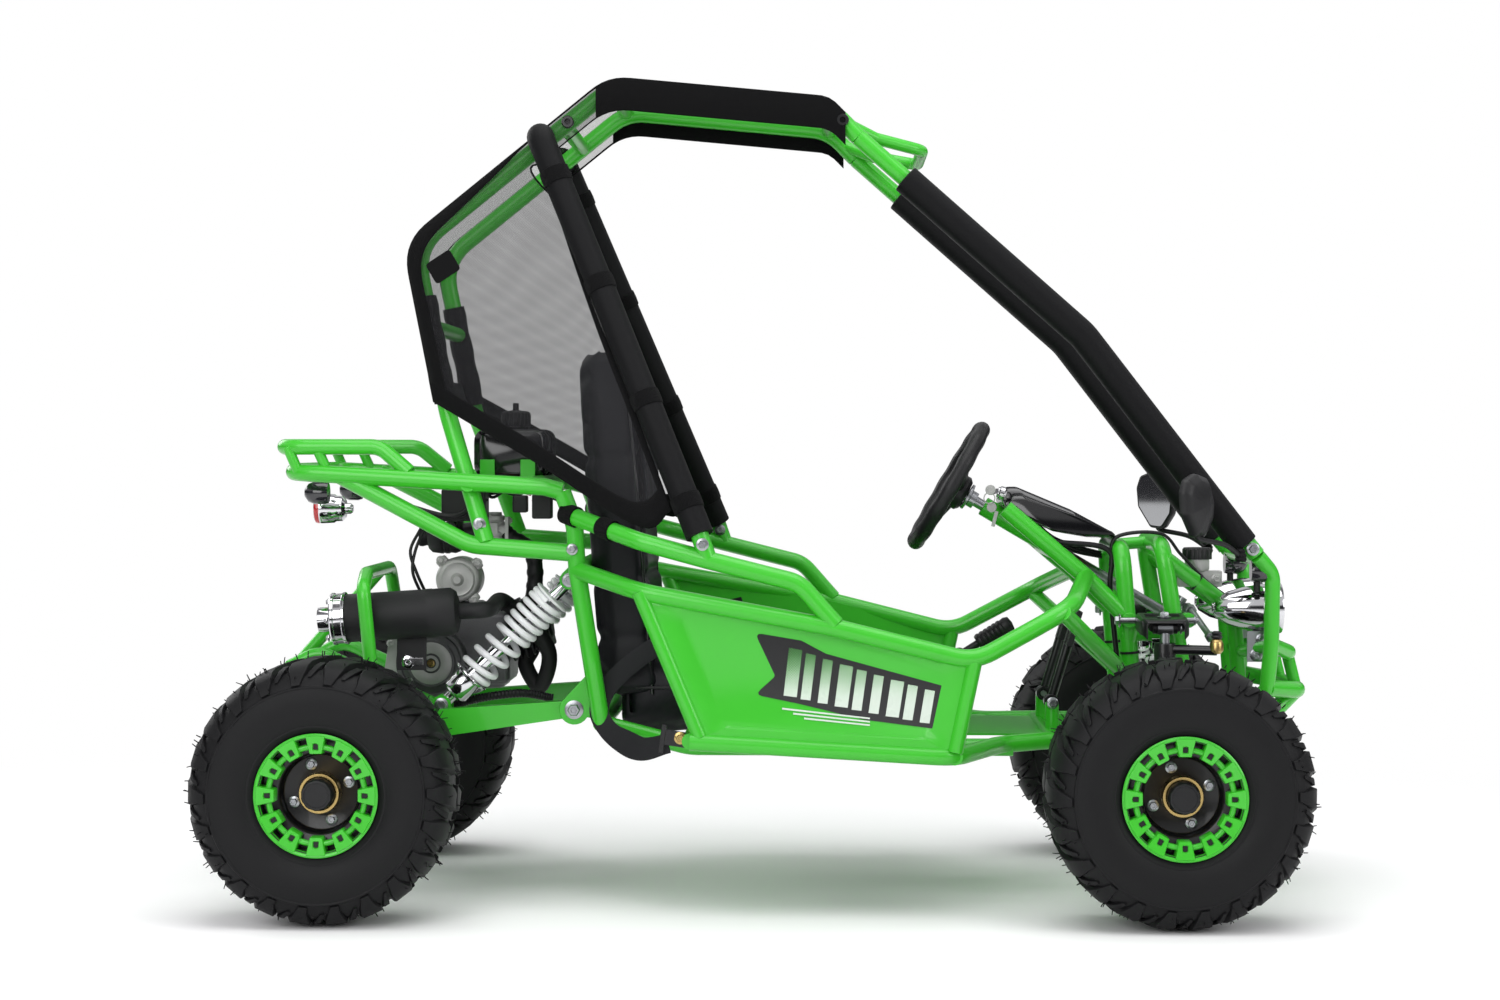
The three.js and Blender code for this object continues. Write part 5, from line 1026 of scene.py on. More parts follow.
@dataclass
class RearFrame:
    """The uprights behind the seat, their cross tubes and plates, and the luggage rack."""

    plate_wall: float = 0.010
    pivot_round: float = 0.024

    def rack(self) -> list[Shell]:
        """The rack's lower loop, its raised loop and the stubs that hold it."""
        low = [at("uprightTop", -UPRIGHT_HALF), at("rackFront", -UPRIGHT_HALF),
               at("rackRear", -RACK_HALF), at("rackRear", RACK_HALF),
               at("rackFront", UPRIGHT_HALF), at("uprightTop", UPRIGHT_HALF)]
        half = RACK_HALF * 1.06
        high = [at("rackLoopJoint", -half), at("rackLoopBend", -RACK_HALF),
                at("rackLoopRear", -RACK_HALF), at("rackLoopRear", RACK_HALF),
                at("rackLoopBend", RACK_HALF), at("rackLoopJoint", half)]
        shells = [tube(low, MAIN_TUBE, MAIN_TUBE * 1.6), tube(high, RACK_TUBE, RACK_TUBE * 1.6)]
        for side in Side:
            y = side.value * RACK_HALF
            top = at("rackLoopRear", y)
            shells += [tube([at("rackStubA", y), top + FORWARD * 0.010], LIGHT_TUBE * 0.85),
                       tube([at("rackStubB", y), top + FORWARD * 0.056], LIGHT_TUBE * 0.85)]
        return shells

    def pivot_outline(self) -> np.ndarray:
        """Plate that hugs the swing arm pivot and runs up to the gusset."""
        pivot = at("swingPivot")
        turn = np.linspace(math.radians(150), math.radians(330), 12)[:, None]
        arc = pivot + self.pivot_round * (np.cos(turn) * FORWARD + np.sin(turn) * UPWARD)
        return np.concatenate([[at("gusset") + FORWARD * 0.006], arc,
                               [at("uprightFoot") + FORWARD * 0.010]])

    def build(self, fitter: Fitter) -> None:
        """Adds the frame, its pivot bolts and shock bolts."""
        shells = self.rack()
        bolts = []
        for side in Side:
            y = side.value * UPRIGHT_HALF
            foot = side.value * (INNER_RAIL_HALF + MAIN_TUBE)
            shells += [
                tube([at("uprightTop", y), at("uprightKnee", y), at("railJoint", y),
                      at("gusset", y), at("uprightFoot", foot)], MAIN_TUBE, MAIN_TUBE * 3),
                tube([at("supportRear", side.value * RACK_HALF),
                      at("supportKnee", side.value * FOOT_HALF), at("supportFront", y)],
                     MAIN_TUBE, MAIN_TUBE * 3),
                plate(self.pivot_outline(), side.value * 0.2055, self.plate_wall),
            ]
            shells += shock_bracket("shockTop", side, at("railJoint"))
            bolts += [bolt(at("swingPivot", side.value * 0.2110), ACROSS * side.value, 0.020),
                      bolt(at("shockTop", side.value * (SHOCK_HALF + TAB_GAP)),
                           ACROSS * side.value, 0.015),
                      bolt(at("supportFront", side.value * (UPRIGHT_HALF + 0.016))
                           + UPWARD * 0.006, ACROSS * side.value, 0.012)]
        shells += [cross_tube("railJoint", UPRIGHT_HALF, MAIN_TUBE),
                   cross_tube("uprightFoot", INNER_RAIL_HALF + MAIN_TUBE, MAIN_TUBE),
                   cross_tube("tankBarFront", UPRIGHT_HALF),
                   cross_tube("tankBarRear", UPRIGHT_HALF)]
        bolts.append(tube([at("swingPivot", -0.215), at("swingPivot", 0.215)], 0.012))
        fitter.add("rear_frame", "chassis", GREEN, shells, ["rear_frame"], bevel=0.0012)
        fitter.add("rear_frame_bolts", "chassis", ZINC, bolts)


@dataclass
class FloorFrame:
    """Floor rails, cross members, belly plate, and the front arms' lower pins."""

    pan_level: float = 0.2636
    pan_wall: float = 0.003
    pin_reach: float = 0.063
    pedal_post_half: float = 0.1015
    lever_post_half: float = 0.1235
    post_pin: float = 0.036

    def rails(self, side: Side) -> list[Shell]:
        """One side's outer rail, inner rail and hangers."""
        s = side.value
        tip = bumper_tip(s * BUMPER_HALF * BUMPER_TAPER)
        shells = [
            tube([at("railRearFoot", s * BODY_HALF), at("railKink", s * BODY_HALF),
                  at("railTurn", s * (NOSE_FLOOR_HALF + MAIN_TUBE)),
                  at("railInner", s * NOSE_FLOOR_HALF), at("rearTowerFoot", s * DASH_HALF),
                  at("noseRail", s * DASH_HALF), tip], MAIN_TUBE, MAIN_TUBE * 2),
            tube([at("uprightFoot", s * (INNER_RAIL_HALF + MAIN_TUBE)),
                  at("innerRear", s * INNER_RAIL_HALF), at("innerFront", s * INNER_RAIL_HALF)],
                 MAIN_TUBE, MAIN_TUBE * 3)]
        for dx in (-HANGER_REACH, HANGER_REACH):
            top = xyz(ARM_X + dx, s * DASH_HALF, at("noseRail")[2])
            knee = xyz(ARM_X + dx, s * DASH_HALF, LOWER_PIVOT)
            shells.append(tube([top, knee, knee + ACROSS * s * (PIVOT_HALF - DASH_HALF)],
                               0.024, 0.010))
        return shells

    def post(self, name: str, y: float, shells: list[Shell], pins: list[Shell]) -> None:
        """Adds the post outside a pivot to the shells, and its pin and bolt to the pins."""
        place, out = at(name, y), ACROSS * math.copysign(1, y)
        shells.append(tube([place * [1, 1, 0] + UPWARD * self.pan_level, place], ARM_TUBE))
        pins.extend([tube([place, place - out * self.post_pin], 0.010),
                     bolt(place + out * ARM_TUBE / 2, out)])

    def build(self, fitter: Fitter) -> None:
        """Adds the rails, the belly plate with its strip, the posts and the pins."""
        shells, pins = [], []
        for side in Side:
            shells += self.rails(side)
            s = side.value
            ends = [xyz(ARM_X + k * self.pin_reach, s * PIVOT_HALF, LOWER_PIVOT)
                    for k in (-1, 1)]
            pins += [tube(ends, 0.010), bolt(ends[0], -FORWARD, 0.015),
                     bolt(ends[1], FORWARD, 0.015)]
            self.post("pedalPivot", s * self.pedal_post_half, shells, pins)
        self.post("leverPivot", self.lever_post_half, shells, pins)
        shells += [cross_tube(name, half) for name, half in (
            ("railRearFoot", BODY_HALF), ("railKink", BODY_HALF), ("railInner", NOSE_FLOOR_HALF),
            ("rearTowerFoot", DASH_HALF), ("noseRail", DASH_HALF))]
        rear, front, tip = at("railRearFoot")[0], at("railKink")[0], at("railInner")[0] + 0.0125
        level = self.pan_level + self.pan_wall / 2
        shells += [block([(rear + front) / 2, 0, level],
                         [front - rear, 2 * (BODY_HALF - MAIN_TUBE), self.pan_wall]),
                   block([(front + tip) / 2, 0, level],
                         [tip - front, 2 * (NOSE_FLOOR_HALF - MAIN_TUBE), self.pan_wall])]
        fitter.add("floor_frame", "chassis", GREEN, shells, ["floor_frame"], bevel=0.0010)
        fitter.add("floor_pins", "chassis", ZINC, pins)
        strip = block([(rear + front) / 2 + 0.06, 0, self.pan_level - 0.006],
                      [0.26, 2 * BODY_HALF - 0.10, 0.003])
        fitter.add("belly_strip", "chassis", GREY_BELLY, strip, bevel=0.001)


@dataclass
class FrontFrame:
    """Dash tubes, suspension towers, nose, headlight guards, bumper and column tube."""

    shock_bar: float = 0.425
    column_diameter: float = 0.032

    def on_column(self, x: float) -> np.ndarray:
        """The point of the steering column at a distance forwards."""
        centre = at("wheelCentre")
        return centre + COLUMN_WAY * (x - centre[0]) / COLUMN_WAY[0]

    def side_tubes(self, side: Side) -> list[Shell]:
        """Every tube of one side."""
        s = side.value
        y = s * DASH_HALF
        tip = bumper_tip(s * BUMPER_HALF * BUMPER_TAPER)
        middle = between(at("rearTowerFoot", y), at("rearTowerTop", y), 0.5)
        shells = [
            tube([at("dashStart", y), at("dashJoint", y), at("dashEnd", y), middle], MAIN_TUBE,
                 MAIN_TUBE * 2),
            tube([at("noseTubeStart", y), at("noseTubeEnd", s * NOSE_HALF),
                  at("noseRail", s * NOSE_HALF)], RACK_TUBE, MAIN_TUBE),
            tube([at("tubeBase", s * CAGE_HALF), at("guardTop", s * (CAGE_HALF - TAB_WALL)),
                  at("guardBend", s * GUARD_HALF), at("guardMid", s * GUARD_HALF),
                  at("guardFoot", s * GUARD_HALF), at("noseRail", y)], RACK_TUBE,
                 MAIN_TUBE * 1.2),
            tube([at("bumperHigh", s * BUMPER_HALF * BUMPER_TAPER), tip], LIGHT_TUBE),
            tube([at("rearTowerTop", y, self.shock_bar), at("frontTowerTop", y, self.shock_bar)],
                 ARM_TUBE)]
        for dx in (-HANGER_REACH, HANGER_REACH):
            inner = xyz(ARM_X + dx, y, UPPER_PIVOT)
            shells.append(tube([inner, inner + ACROSS * s * 0.027], 0.024))
        return shells

    def build(self, fitter: Fitter) -> None:
        """Adds the frame, its upper pins and cable ties."""
        shells, pins, ties = [], [], []
        for side in Side:
            s = side.value
            shells += self.side_tubes(side)
            ends = [xyz(ARM_X + k, s * PIVOT_HALF, UPPER_PIVOT) for k in (-0.063, 0.0615)]
            pins += [tube(ends, 0.010), bolt(ends[0], -FORWARD, 0.015),
                     bolt(ends[1] - FORWARD * 0.005, FORWARD, 0.0105)]
            for a, b, share in (("rearTowerTop", "rearTowerFoot", 0.55),
                                ("frontTowerTop", "frontTowerFoot", 0.38),
                                ("noseTubeStart", "noseTubeEnd", 0.45)):
                half = DASH_HALF if a != "noseTubeStart" else (DASH_HALF + NOSE_HALF) / 2
                start, end = at(a, s * half), at(b, s * half)
                ties.append(rod(between(start, end, share), end - start, 0.0158, 0.004,
                                bore=0.0142))
        for a in ("rearTower", "frontTower"):
            legs = [at(f"{a}Foot", -DASH_HALF), at(f"{a}Top", -DASH_HALF), at(f"{a}Top", DASH_HALF),
                    at(f"{a}Foot", DASH_HALF)]
            shells.append(tube(legs, MAIN_TUBE, MAIN_TUBE * 1.5))
        shells += [cross_tube(name, half) for name, half in (
            ("dashBar", DASH_HALF), ("columnBar", DASH_HALF), ("noseTubeEnd", NOSE_HALF),
            ("guardTop", CAGE_HALF - TAB_WALL))]
        tips = [bumper_tip(-BUMPER_HALF), bumper_tip(BUMPER_HALF)]
        shells += [
            tube([at("guardMid", -GUARD_HALF), at("lampBar", -NOSE_HALF * 1.5),
                  at("lampBar", NOSE_HALF * 1.5), at("guardMid", GUARD_HALF)], LIGHT_TUBE, 0.03),
            tube([at("rearTowerTop", LIGHT_TUBE), at("frontTowerTop", LIGHT_TUBE)], LIGHT_TUBE),
            tube([self.on_column(at("dashStart")[0] - MAIN_TUBE),
                  self.on_column(at("columnBar")[0] + MAIN_TUBE)], self.column_diameter),
            tube([at("guardMid", -GUARD_HALF), at("bumperHigh", -BUMPER_HALF),
                  at("bumperHigh", BUMPER_HALF), at("guardMid", GUARD_HALF)], RACK_TUBE, MAIN_TUBE),
            tube([at("guardFoot", -GUARD_HALF), *tips, at("guardFoot", GUARD_HALF)], MAIN_TUBE,
                 MAIN_TUBE * 1.4)]
        fitter.add("front_frame", "chassis", GREEN, shells, ["front_frame"], bevel=0.0010)
        fitter.add("front_pins", "chassis", ZINC, pins)
        fitter.add("cable_ties", "chassis", PLASTIC, ties)


@dataclass
class SideRail:
    """One side's upper rail, grab rail, panel posts and tower strut."""

    side: Side

    def build(self, fitter: Fitter) -> None:
        """Adds the rail as one welded piece."""
        s = self.side.value
        y = s * BODY_HALF
        inset = s * (BODY_HALF - LIGHT_TUBE)
        shells = [
            tube([at("railJoint", s * UPRIGHT_HALF), at("railRear", y),
                  at("grabJoint", s * GRAB_HALF), at("railCorner", y), at("railBend", inset),
                  at("railEnd", s * DASH_HALF)], MAIN_TUBE, MAIN_TUBE * 3),
            tube([at("grabStart", s * UPRIGHT_HALF), at("grabShoulder", y),
                  at("pillarSocket", s * GRAB_HALF), at("grabBend", s * GRAB_HALF),
                  at("grabEnd", s * GRAB_HALF)], MAIN_TUBE, MAIN_TUBE * 2),
            tube([at("railRear", y), at("postRearFoot", y)], RACK_TUBE),
            tube([at("railCorner", y), at("postFrontFoot", y)], RACK_TUBE),
            tube([at("strutTop", inset), at("strutFoot", s * DASH_HALF)], RACK_TUBE)]
        fitter.add(f"side_rail_{self.side.label}", "chassis", GREEN, shells,
                   [f"side_rail_{self.side.label}"], bevel=0.0010)


@dataclass
class RollCage:
    """The cage's two long tubes, its cross bars and the front hoop."""

    def build(self, fitter: Fitter) -> None:
        """Adds the cage and its bolts."""
        shells, bolts, zinc = [], [], []
        for side in Side:
            s = side.value
            y = s * CAGE_HALF
            foot, knee = at("cageFoot", s * FOOT_HALF), at("cageKnee", s * KNEE_HALF)
            shells.append(tube([foot + unit(foot - knee) * MAIN_TUBE / 2, knee,
                                at("cageShoulder", y), at("roofRear", y), at("roofFront", y),
                                at("roofJoint", y)], MAIN_TUBE, MAIN_TUBE * 3))
            near = y + s * (MAIN_TUBE / 2 - 0.001)
            for start, end, share in (("roofFront", "roofJoint", 0.45),
                                      ("roofRear", "cageShoulder", 0.22)):
                bolts.append(cap_bolt(between(at(start, near), at(end, near), share), ACROSS * s,
                                      0.020))
            spot = between(foot, knee, 0.09)
            zinc.append(bolt(spot + ACROSS * s * 0.0135, ACROSS * s, 0.014))
        shells += [cross_tube(name, CAGE_HALF)
                   for name in ("roofRear", "cageBar", "cageLowBar", "roofFront")]
        hoop = [at("hoopStart", -CAGE_HALF), at("hoopTurn", -0.142), at("hoopTip", -0.114),
                at("hoopTip", 0.114), at("hoopTurn", 0.142), at("hoopStart", CAGE_HALF)]
        shells.append(tube(hoop, LIGHT_TUBE, MAIN_TUBE))
        fitter.add("roll_cage", "chassis", GREEN, shells, ["roll_cage"], bevel=0.0010)
        fitter.add("cage_bolts", "chassis", BLACK_PAINT, bolts)
        fitter.add("cage_foot_bolts", "chassis", ZINC, zinc)


@dataclass
class FrontTube:
    """One tube from the roof to the nose, with its foam sleeve."""

    side: Side
    sleeve_diameter: float = 0.047

    def build(self, fitter: Fitter) -> None:
        """Adds the tube, the hollow sleeve and the foot bolts."""
        y = self.side.value * CAGE_HALF
        label = self.side.label
        fitter.add(f"front_tube_{label}", "chassis", GREEN,
                   tube([at("roofJoint", y), at("tubeBend", y), at("tubeBase", y)], MAIN_TUBE,
                        MAIN_TUBE * 4), [f"front_tube_{label}"], bevel=0.0010)
        route = rounded([at("sleeveTop", y), at("tubeBend", y), at("sleeveBottom", y)],
                        MAIN_TUBE * 4, 14)
        count = len(route)
        radii = np.full(count, self.sleeve_diameter / 2)
        ends = np.concatenate([route[:1], route, route[-1:]])
        radii = np.concatenate([[0.0146], radii, [0.0146]])
        ends[1] = between(route[0], route[1], 0.004)
        ends[-2] = between(route[-1], route[-2], 0.004)
        sleeve = fitter.add(f"front_sleeve_{label}", "chassis", FOAM,
                            sweep(ends, radii, circle(28)), [f"front_sleeve_{label}"], bevel=0.002)
        foot = between(at("tubeBase", y), at("tubeBend", y), 0.03)
        out = ACROSS * self.side.value
        fitter.add(f"front_tube_bolts_{label}", "chassis", ZINC,
                   [bolt(foot + out * MAIN_TUBE / 2, out, 0.014)])


@dataclass
class RearPillar:
    """One padded pillar with its straps, and the bare tube that it stands on."""

    side: Side
    sleeve_diameter: float = 0.044
    bend_share: float = 0.36
    strap_shares: tuple[float, ...] = (0.10, 0.36, 0.66, 0.92)

    def build(self, fitter: Fitter) -> None:
        """Adds the sleeve, the foot tube, its bolts and the straps."""
        s, label = self.side.value, self.side.label
        top, middle = at("pillarTop", s * PILLAR_TOP_HALF), at("pillarMid", s * PILLAR_MID_HALF)
        foot, socket = at("pillarFoot", s * GRAB_HALF), at("pillarSocket", s * GRAB_HALF)
        route = rounded([at("pillarTop", s * CAGE_HALF), top, middle, foot], MAIN_TUBE * 1.5, 10)
        radius = self.sleeve_diameter / 2
        pad = fitter.add(f"rear_pillar_{label}", "chassis", FOAM, sweep(route, radius, circle(24)),
                         [f"rear_pillar_{label}"], bevel=0.002)
        fitter.add(f"rear_pillar_foot_{label}", "chassis", GREEN,
                   tube([between(foot, middle, 0.05), foot, socket], MAIN_TUBE), bevel=0.001)
        straps = []
        for share in self.strap_shares:
            upper = share < self.bend_share
            a, b = (top, middle) if upper else (middle, foot)
            local = share / self.bend_share if upper else (
                (share - self.bend_share) / (1 - self.bend_share))
            straps.append(turned(between(a, b, local), b - a, [
                (radius + lift, place) for lift, place in (
                    (0.0002, -0.013), (0.0018, -0.012), (0.0024, 0), (0.0018, 0.012),
                    (0.0002, 0.013), (-0.002, 0))]))
        fitter.add(f"pillar_straps_{label}", "chassis", CLOTH, straps)
        spot = between(foot, socket, 0.35)
        fitter.add(f"pillar_bolts_{label}", "chassis", ZINC,
                   [bolt(spot + out * MAIN_TUBE / 2, out, 0.013)
                    for out in (ACROSS * s, -ACROSS * s)])


@dataclass
class SidePanel:
    """One pressed panel: a flat sheet with a raised border, and its printed film."""

    side: Side
    wall: float = 0.003
    raise_height: float = 0.004
    rim_share: float = 0.19

    def outline(self, share: float) -> np.ndarray:
        """The panel's outline, drawn towards its middle by a share, with round corners."""
        names = ("railRear", "grabJoint", "railCorner", "postFrontFoot", "postRearFoot")
        points = [at(name) for name in names]
        middle = sum(points) / len(points)
        return rounded_ring([between(p, middle, share) for p in points], 0.022)

    def build(self, fitter: Fitter) -> None:
        """Adds the panel, whose rings step out to the border and in to the flat, and its film."""
        s = self.side.value
        steps = ((0.0, -self.wall / 2), (0.0, 0.0015), (0.02, 0.0015 + self.raise_height),
                 (self.rim_share - 0.035, 0.0015 + self.raise_height), (self.rim_share, 0.0015))
        rings = []
        for share, out in steps:
            ring = self.outline(share)
            ring[:, 1] = s * (BODY_HALF + out)
            rings.append(ring)
        fitter.add(f"side_panel_{self.side.label}", "chassis", GREEN, capped(rings, True),
                   [f"side_panel_{self.side.label}"], bevel=0.0015, smooth_turn=50)
        self.decal(fitter, s)

    def decal(self, fitter: Fitter, s: int) -> None:
        """Adds a black film with slanted bars of its own design, as thin plates on the flat."""
        rear, front = at("postRearFoot")[0], at("railCorner")[0]

        def spot(u: float, v: float) -> np.ndarray:
            """A place on the panel: u forwards, v up between its sloping edges."""
            x = rear + (front - rear) * u
            low = 0.281 + (0.259 - 0.281) * u
            high = 0.504 + (0.400 - 0.504) * u
            return xyz(x, 0, low + (high - low) * v)

        corners = [spot(u, v) for u, v in ((0.20, 0.80), (0.37, 0.815), (0.46, 0.75), (0.965, 0.64),
                                           (0.945, 0.145), (0.86, 0.215), (0.60, 0.235),
                                           (0.36, 0.31), (0.20, 0.34), (0.275, 0.50))]
        film = rounded_ring(corners, 0.006, 3)
        label = self.side.label
        fitter.add(f"panel_film_{label}", "chassis", GLOSS,
                   plate(film, s * (BODY_HALF + 0.0019), 0.0006))
        bars = []
        for k in range(9):
            u = 0.305 + 0.062 * k
            wide = 0.036 if k % 3 else 0.048
            top, low = 0.74 - 0.018 * k, 0.36 - 0.012 * k
            bars.append(plate(np.array([spot(u + 0.020, top), spot(u + 0.020 + wide, top),
                                        spot(u + wide, low), spot(u, low)]),
                              s * (BODY_HALF + 0.0024), 0.0004))
        for k in range(3):
            low = 0.245 - 0.030 * k
            bars.append(plate(np.array([spot(0.30 + 0.04 * k, low + 0.020), spot(0.62, low + 0.014),
                                        spot(0.62, low), spot(0.30 + 0.04 * k, low + 0.006)]),
                              s * (BODY_HALF + 0.0024), 0.0004))
        fitter.add(f"panel_print_{label}", "chassis", PRINT, bars)


@dataclass
class Canopy:
    """The see-through mesh cover: one sheet over the roof, down behind the cage and forwards to
    the pillars, with its cloth bands."""

    skin: float = 0.0165
    rows: int = 91
    roof_columns: int = 25
    side_columns: int = 18

    def spine(self, t: np.ndarray) -> np.ndarray:
        """The line along the cage's outer top, as stations joined by rounded corners.

        Args:
            t: shares of the way from the roof's front to the rear hem.

        Returns:
            Points with y at 0.
        """
        hem = between(at("cageShoulder"), at("cageKnee"), 0.93)
        front = between(at("roofFront"), at("roofJoint"), 0.55)
        route = rounded([front + UPWARD * self.skin, at("roofFront") + UPWARD * self.skin,
                         at("roofRear") + xyz(-0.3, 0, 1) * self.skin,
                         at("cageShoulder") + xyz(-1.1, 0, 0.4) * self.skin,
                         hem - FORWARD * self.skin], MAIN_TUBE * 3, 10)
        gap = run_lengths(route)
        return resampled(route, t * gap[-1], gap)

    def flap(self, side: Side, t: np.ndarray, s: np.ndarray, rear: np.ndarray) -> np.ndarray:
        """The side sheet as a Coons patch: the sum of the blends between opposite edges, less
        the blend of its corners.

        Args:
            side: the side of the kart.
            t: shares down the sheet, 0 at the pillar's top.
            s: shares forwards, 0 on the cage and 1 on the pillar.
            rear: the points of the rear edge, one for each t.

        Returns:
            Grid of len(t) by len(s) points.
        """
        k = side.value
        back = xyz(-0.0235, 0, 0)
        middle, foot = at("pillarMid", k * PILLAR_MID_HALF), at("pillarFoot", k * GRAB_HALF)
        front_way = smooth([at("pillarTop", k * 0.196) + back * 0.6, middle + back,
                            between(middle, foot, 0.45) + back,
                            between(middle, foot, 0.90) + back * 1.2], 16)
        hem_way = smooth([rear[-1], between(rear[-1], at("grabShoulder", k * 0.345), 0.5)
                          + UPWARD * 0.012, at("grabShoulder", k * 0.348) + UPWARD * 0.022,
                          front_way[-1]], 16)
        front, hem = resampled(front_way, t), resampled(hem_way, s)
        top = rear[0] + s[:, None] * (front[0] - rear[0])
        sides = (1 - s[None, :, None]) * rear[:, None] + s[None, :, None] * front[:, None]
        ends = (1 - t[:, None, None]) * top[None] + t[:, None, None] * hem[None]
        corners = ((1 - t[:, None, None]) * top[None]
                   + t[:, None, None] * ((1 - s)[None, :, None] * rear[-1]
                                         + s[None, :, None] * front[-1]))
        fold = 0.006 * np.sin(s[None, :] * 9.0 + 1.7 * t[:, None]) * np.sin(
            math.pi * s[None, :]) * (0.3 + t[:, None])
        return sides + ends - corners + fold[:, :, None] * (ACROSS * k)

    def grid(self) -> tuple[np.ndarray, np.ndarray]:
        """The whole sheet as one grid, with its flat place.

        Returns:
            Points of rows down by columns across, and the length run along each.
        """
        t = np.linspace(0, 1, self.rows)
        spine = self.spine(t)
        half = CAGE_HALF + self.skin
        across = np.linspace(-1, 1, self.roof_columns)
        low = np.clip((t - 0.72) / 0.28, 0, 1)
        widths = half + 0.014 * low
        middle = spine[:, None, :] + widths[:, None, None] * across[None, :, None] * ACROSS
        sag = (1 - across ** 2)[None, :] * (0.006 + 0.010 * low[:, None])
        middle[:, :, 0] += sag * np.where(t > 0.45, 1, 0)[:, None]
        middle[:, :, 2] -= sag * np.where(t > 0.45, 0, 1)[:, None]
        start = int(np.argmin(np.abs(spine[:, 0] - at("pillarTop")[0]) + (t < 0.3)))
        parts = []
        s = np.linspace(0, 1, self.side_columns + 1)[1:]
        for side in Side:
            edge = middle[:, 0] if side is Side.RIGHT else middle[:, -1]
            wrap = np.repeat(edge[:, None, :], len(s), axis=1)
            wrap[:, :, 2] -= 0.052 * s[None, :]
            wrap[:, :, 1] += side.value * 0.002 * np.sin(math.pi * s)[None, :]
            down = (t[start:] - t[start]) / (1 - t[start])
            patch = self.flap(side, down, np.concatenate([[0], s]), edge[start:])[:, 1:]
            blend = np.clip(np.arange(len(patch)) / 6, 0, 1)[:, None, None]
            wrap[start:] = wrap[start:] * (1 - blend) + patch * blend
            parts.append(wrap)
        points = np.concatenate([parts[0][:, ::-1], middle, parts[1]], axis=1)
        steps = (np.diff(points, axis=1, prepend=points[:, :1]),
                 np.diff(points, axis=0, prepend=points[:1]))
        u, v = (np.cumsum(np.linalg.norm(step, axis=2), axis=1 - k) for k, step in enumerate(steps))
        centre = points.shape[1] // 2
        return points, np.stack([u - u[:, centre:centre + 1], v], axis=2)

    def patch(self, points: np.ndarray, side: Side, spot: tuple[float, float],
              size: tuple[float, float], turn: float) -> Shell:
        """A flat piece sewn on a side sheet.

        Args:
            points: the canopy's grid.
            side: the side of the kart.
            spot: x and z of its middle.
            size: its length and height.
            turn: its turn in the side view, in radians.

        Returns:
            Its surface, 2 mm thick.
        """
        flap = points[4:-4, 2:16] if side is Side.RIGHT else points[4:-4, -16:-2]
        gap = np.abs(flap[:, :, 0] - spot[0]) + np.abs(flap[:, :, 2] - spot[1])
        i, j = np.unravel_index(int(np.argmin(gap)), gap.shape)
        i, j = int(np.clip(i, 1, len(flap) - 2)), int(np.clip(j, 1, flap.shape[1] - 2))
        out = unit(np.cross(flap[i + 1, j] - flap[i - 1, j], flap[i, j + 1] - flap[i, j - 1]))
        out = out * np.sign(out[1]) * side.value
        middle = xyz(spot[0], 0, spot[1])
        middle[1] = flap[i, j, 1] - (out[0] * (spot[0] - flap[i, j, 0])
                                     + out[2] * (spot[1] - flap[i, j, 2])) / out[1]
        along = unit(np.cross(out, np.cross(xyz(math.cos(turn), 0, math.sin(turn)), out)))
        up = np.cross(along, out)
        ring = rounded_ring([xyz(k * size[0] / 2, 0, m * size[1] / 2)
                             for k, m in ((1, -1), (1, 1), (-1, 1), (-1, -1))], 0.006, 3)
        return capped([middle + out * (0.0036 + d) + ring[:, :1] * along + ring[:, 2:] * up
                       for d in (0.0, 0.002)])

    def build(self, fitter: Fitter) -> None:
        """Adds the mesh sheet with its patch and bands, the tube sleeves and the loops."""
        points, uv = self.grid()
        n = self.side_columns
        weave = points[:, :, ::2].copy()
        weave[:, n:-n, 0] = points[:, n:-n, 1]
        weave[:, n:-n, 1] = uv[:, n:-n, 1]
        sheet = fitter.add("canopy", "chassis", MESH, grid_shell(points, uv=weave), ["canopy"])
        fitter.add("canopy_patch", "chassis", CLOTH,
                   self.patch(points, Side.RIGHT, (-0.512, 1.012), (0.046, 0.038), 0.55))
        roof_rows = int(self.rows * 0.40)
        bands = [grid_shell(edge, uv=uv[:edge.shape[0], :edge.shape[1]]) for edge in (
            points[:roof_rows, :n + 1], points[:roof_rows, -n - 1:], points[-4:], points[:, :2],
            points[:, -2:], points[:, n - 1:n + 1], points[:, -n - 1:1 - n])]
        hem = fitter.add("canopy_bands", "chassis", CLOTH, bands, thickness=0.0032)
        sleeves = []
        for side in Side:
            y = side.value * CAGE_HALF
            knee = at("cageKnee", side.value * KNEE_HALF)
            start, end = (between(at("cageShoulder", y), knee, k) for k in (0.30, 0.93))
            sleeves.append(sweep(np.linspace(start, end, 12),
                                 0.0205 + 0.0012 * np.sin(np.arange(12) * 1.7), circle(20, 0.9)))
        fitter.add("canopy_sleeves", "chassis", CLOTH, sleeves)
        loops = []
        for side in Side:
            k = side.value
            for share in (0.08, 0.58):
                start, end = at("grabStart", k * UPRIGHT_HALF), at("grabShoulder", k * BODY_HALF)
                middle, way = between(start, end, share), end - start
                loops.append(turned(middle, way, [(0.0142, -0.014), (0.0165, -0.014),
                                                  (0.0168, 0.014), (0.0142, 0.014)], 24))
        fitter.add("canopy_loops", "chassis", CLOTH, loops)


def polar_shell(centre: np.ndarray, side: Side, rows: Sequence[tuple[float, float]],
                sides: int = 96) -> Shell:
    """A turned piece about a wheel's axis, from rows of (radius, distance outwards)."""
    return turned(centre, ACROSS * side.value, rows, sides)


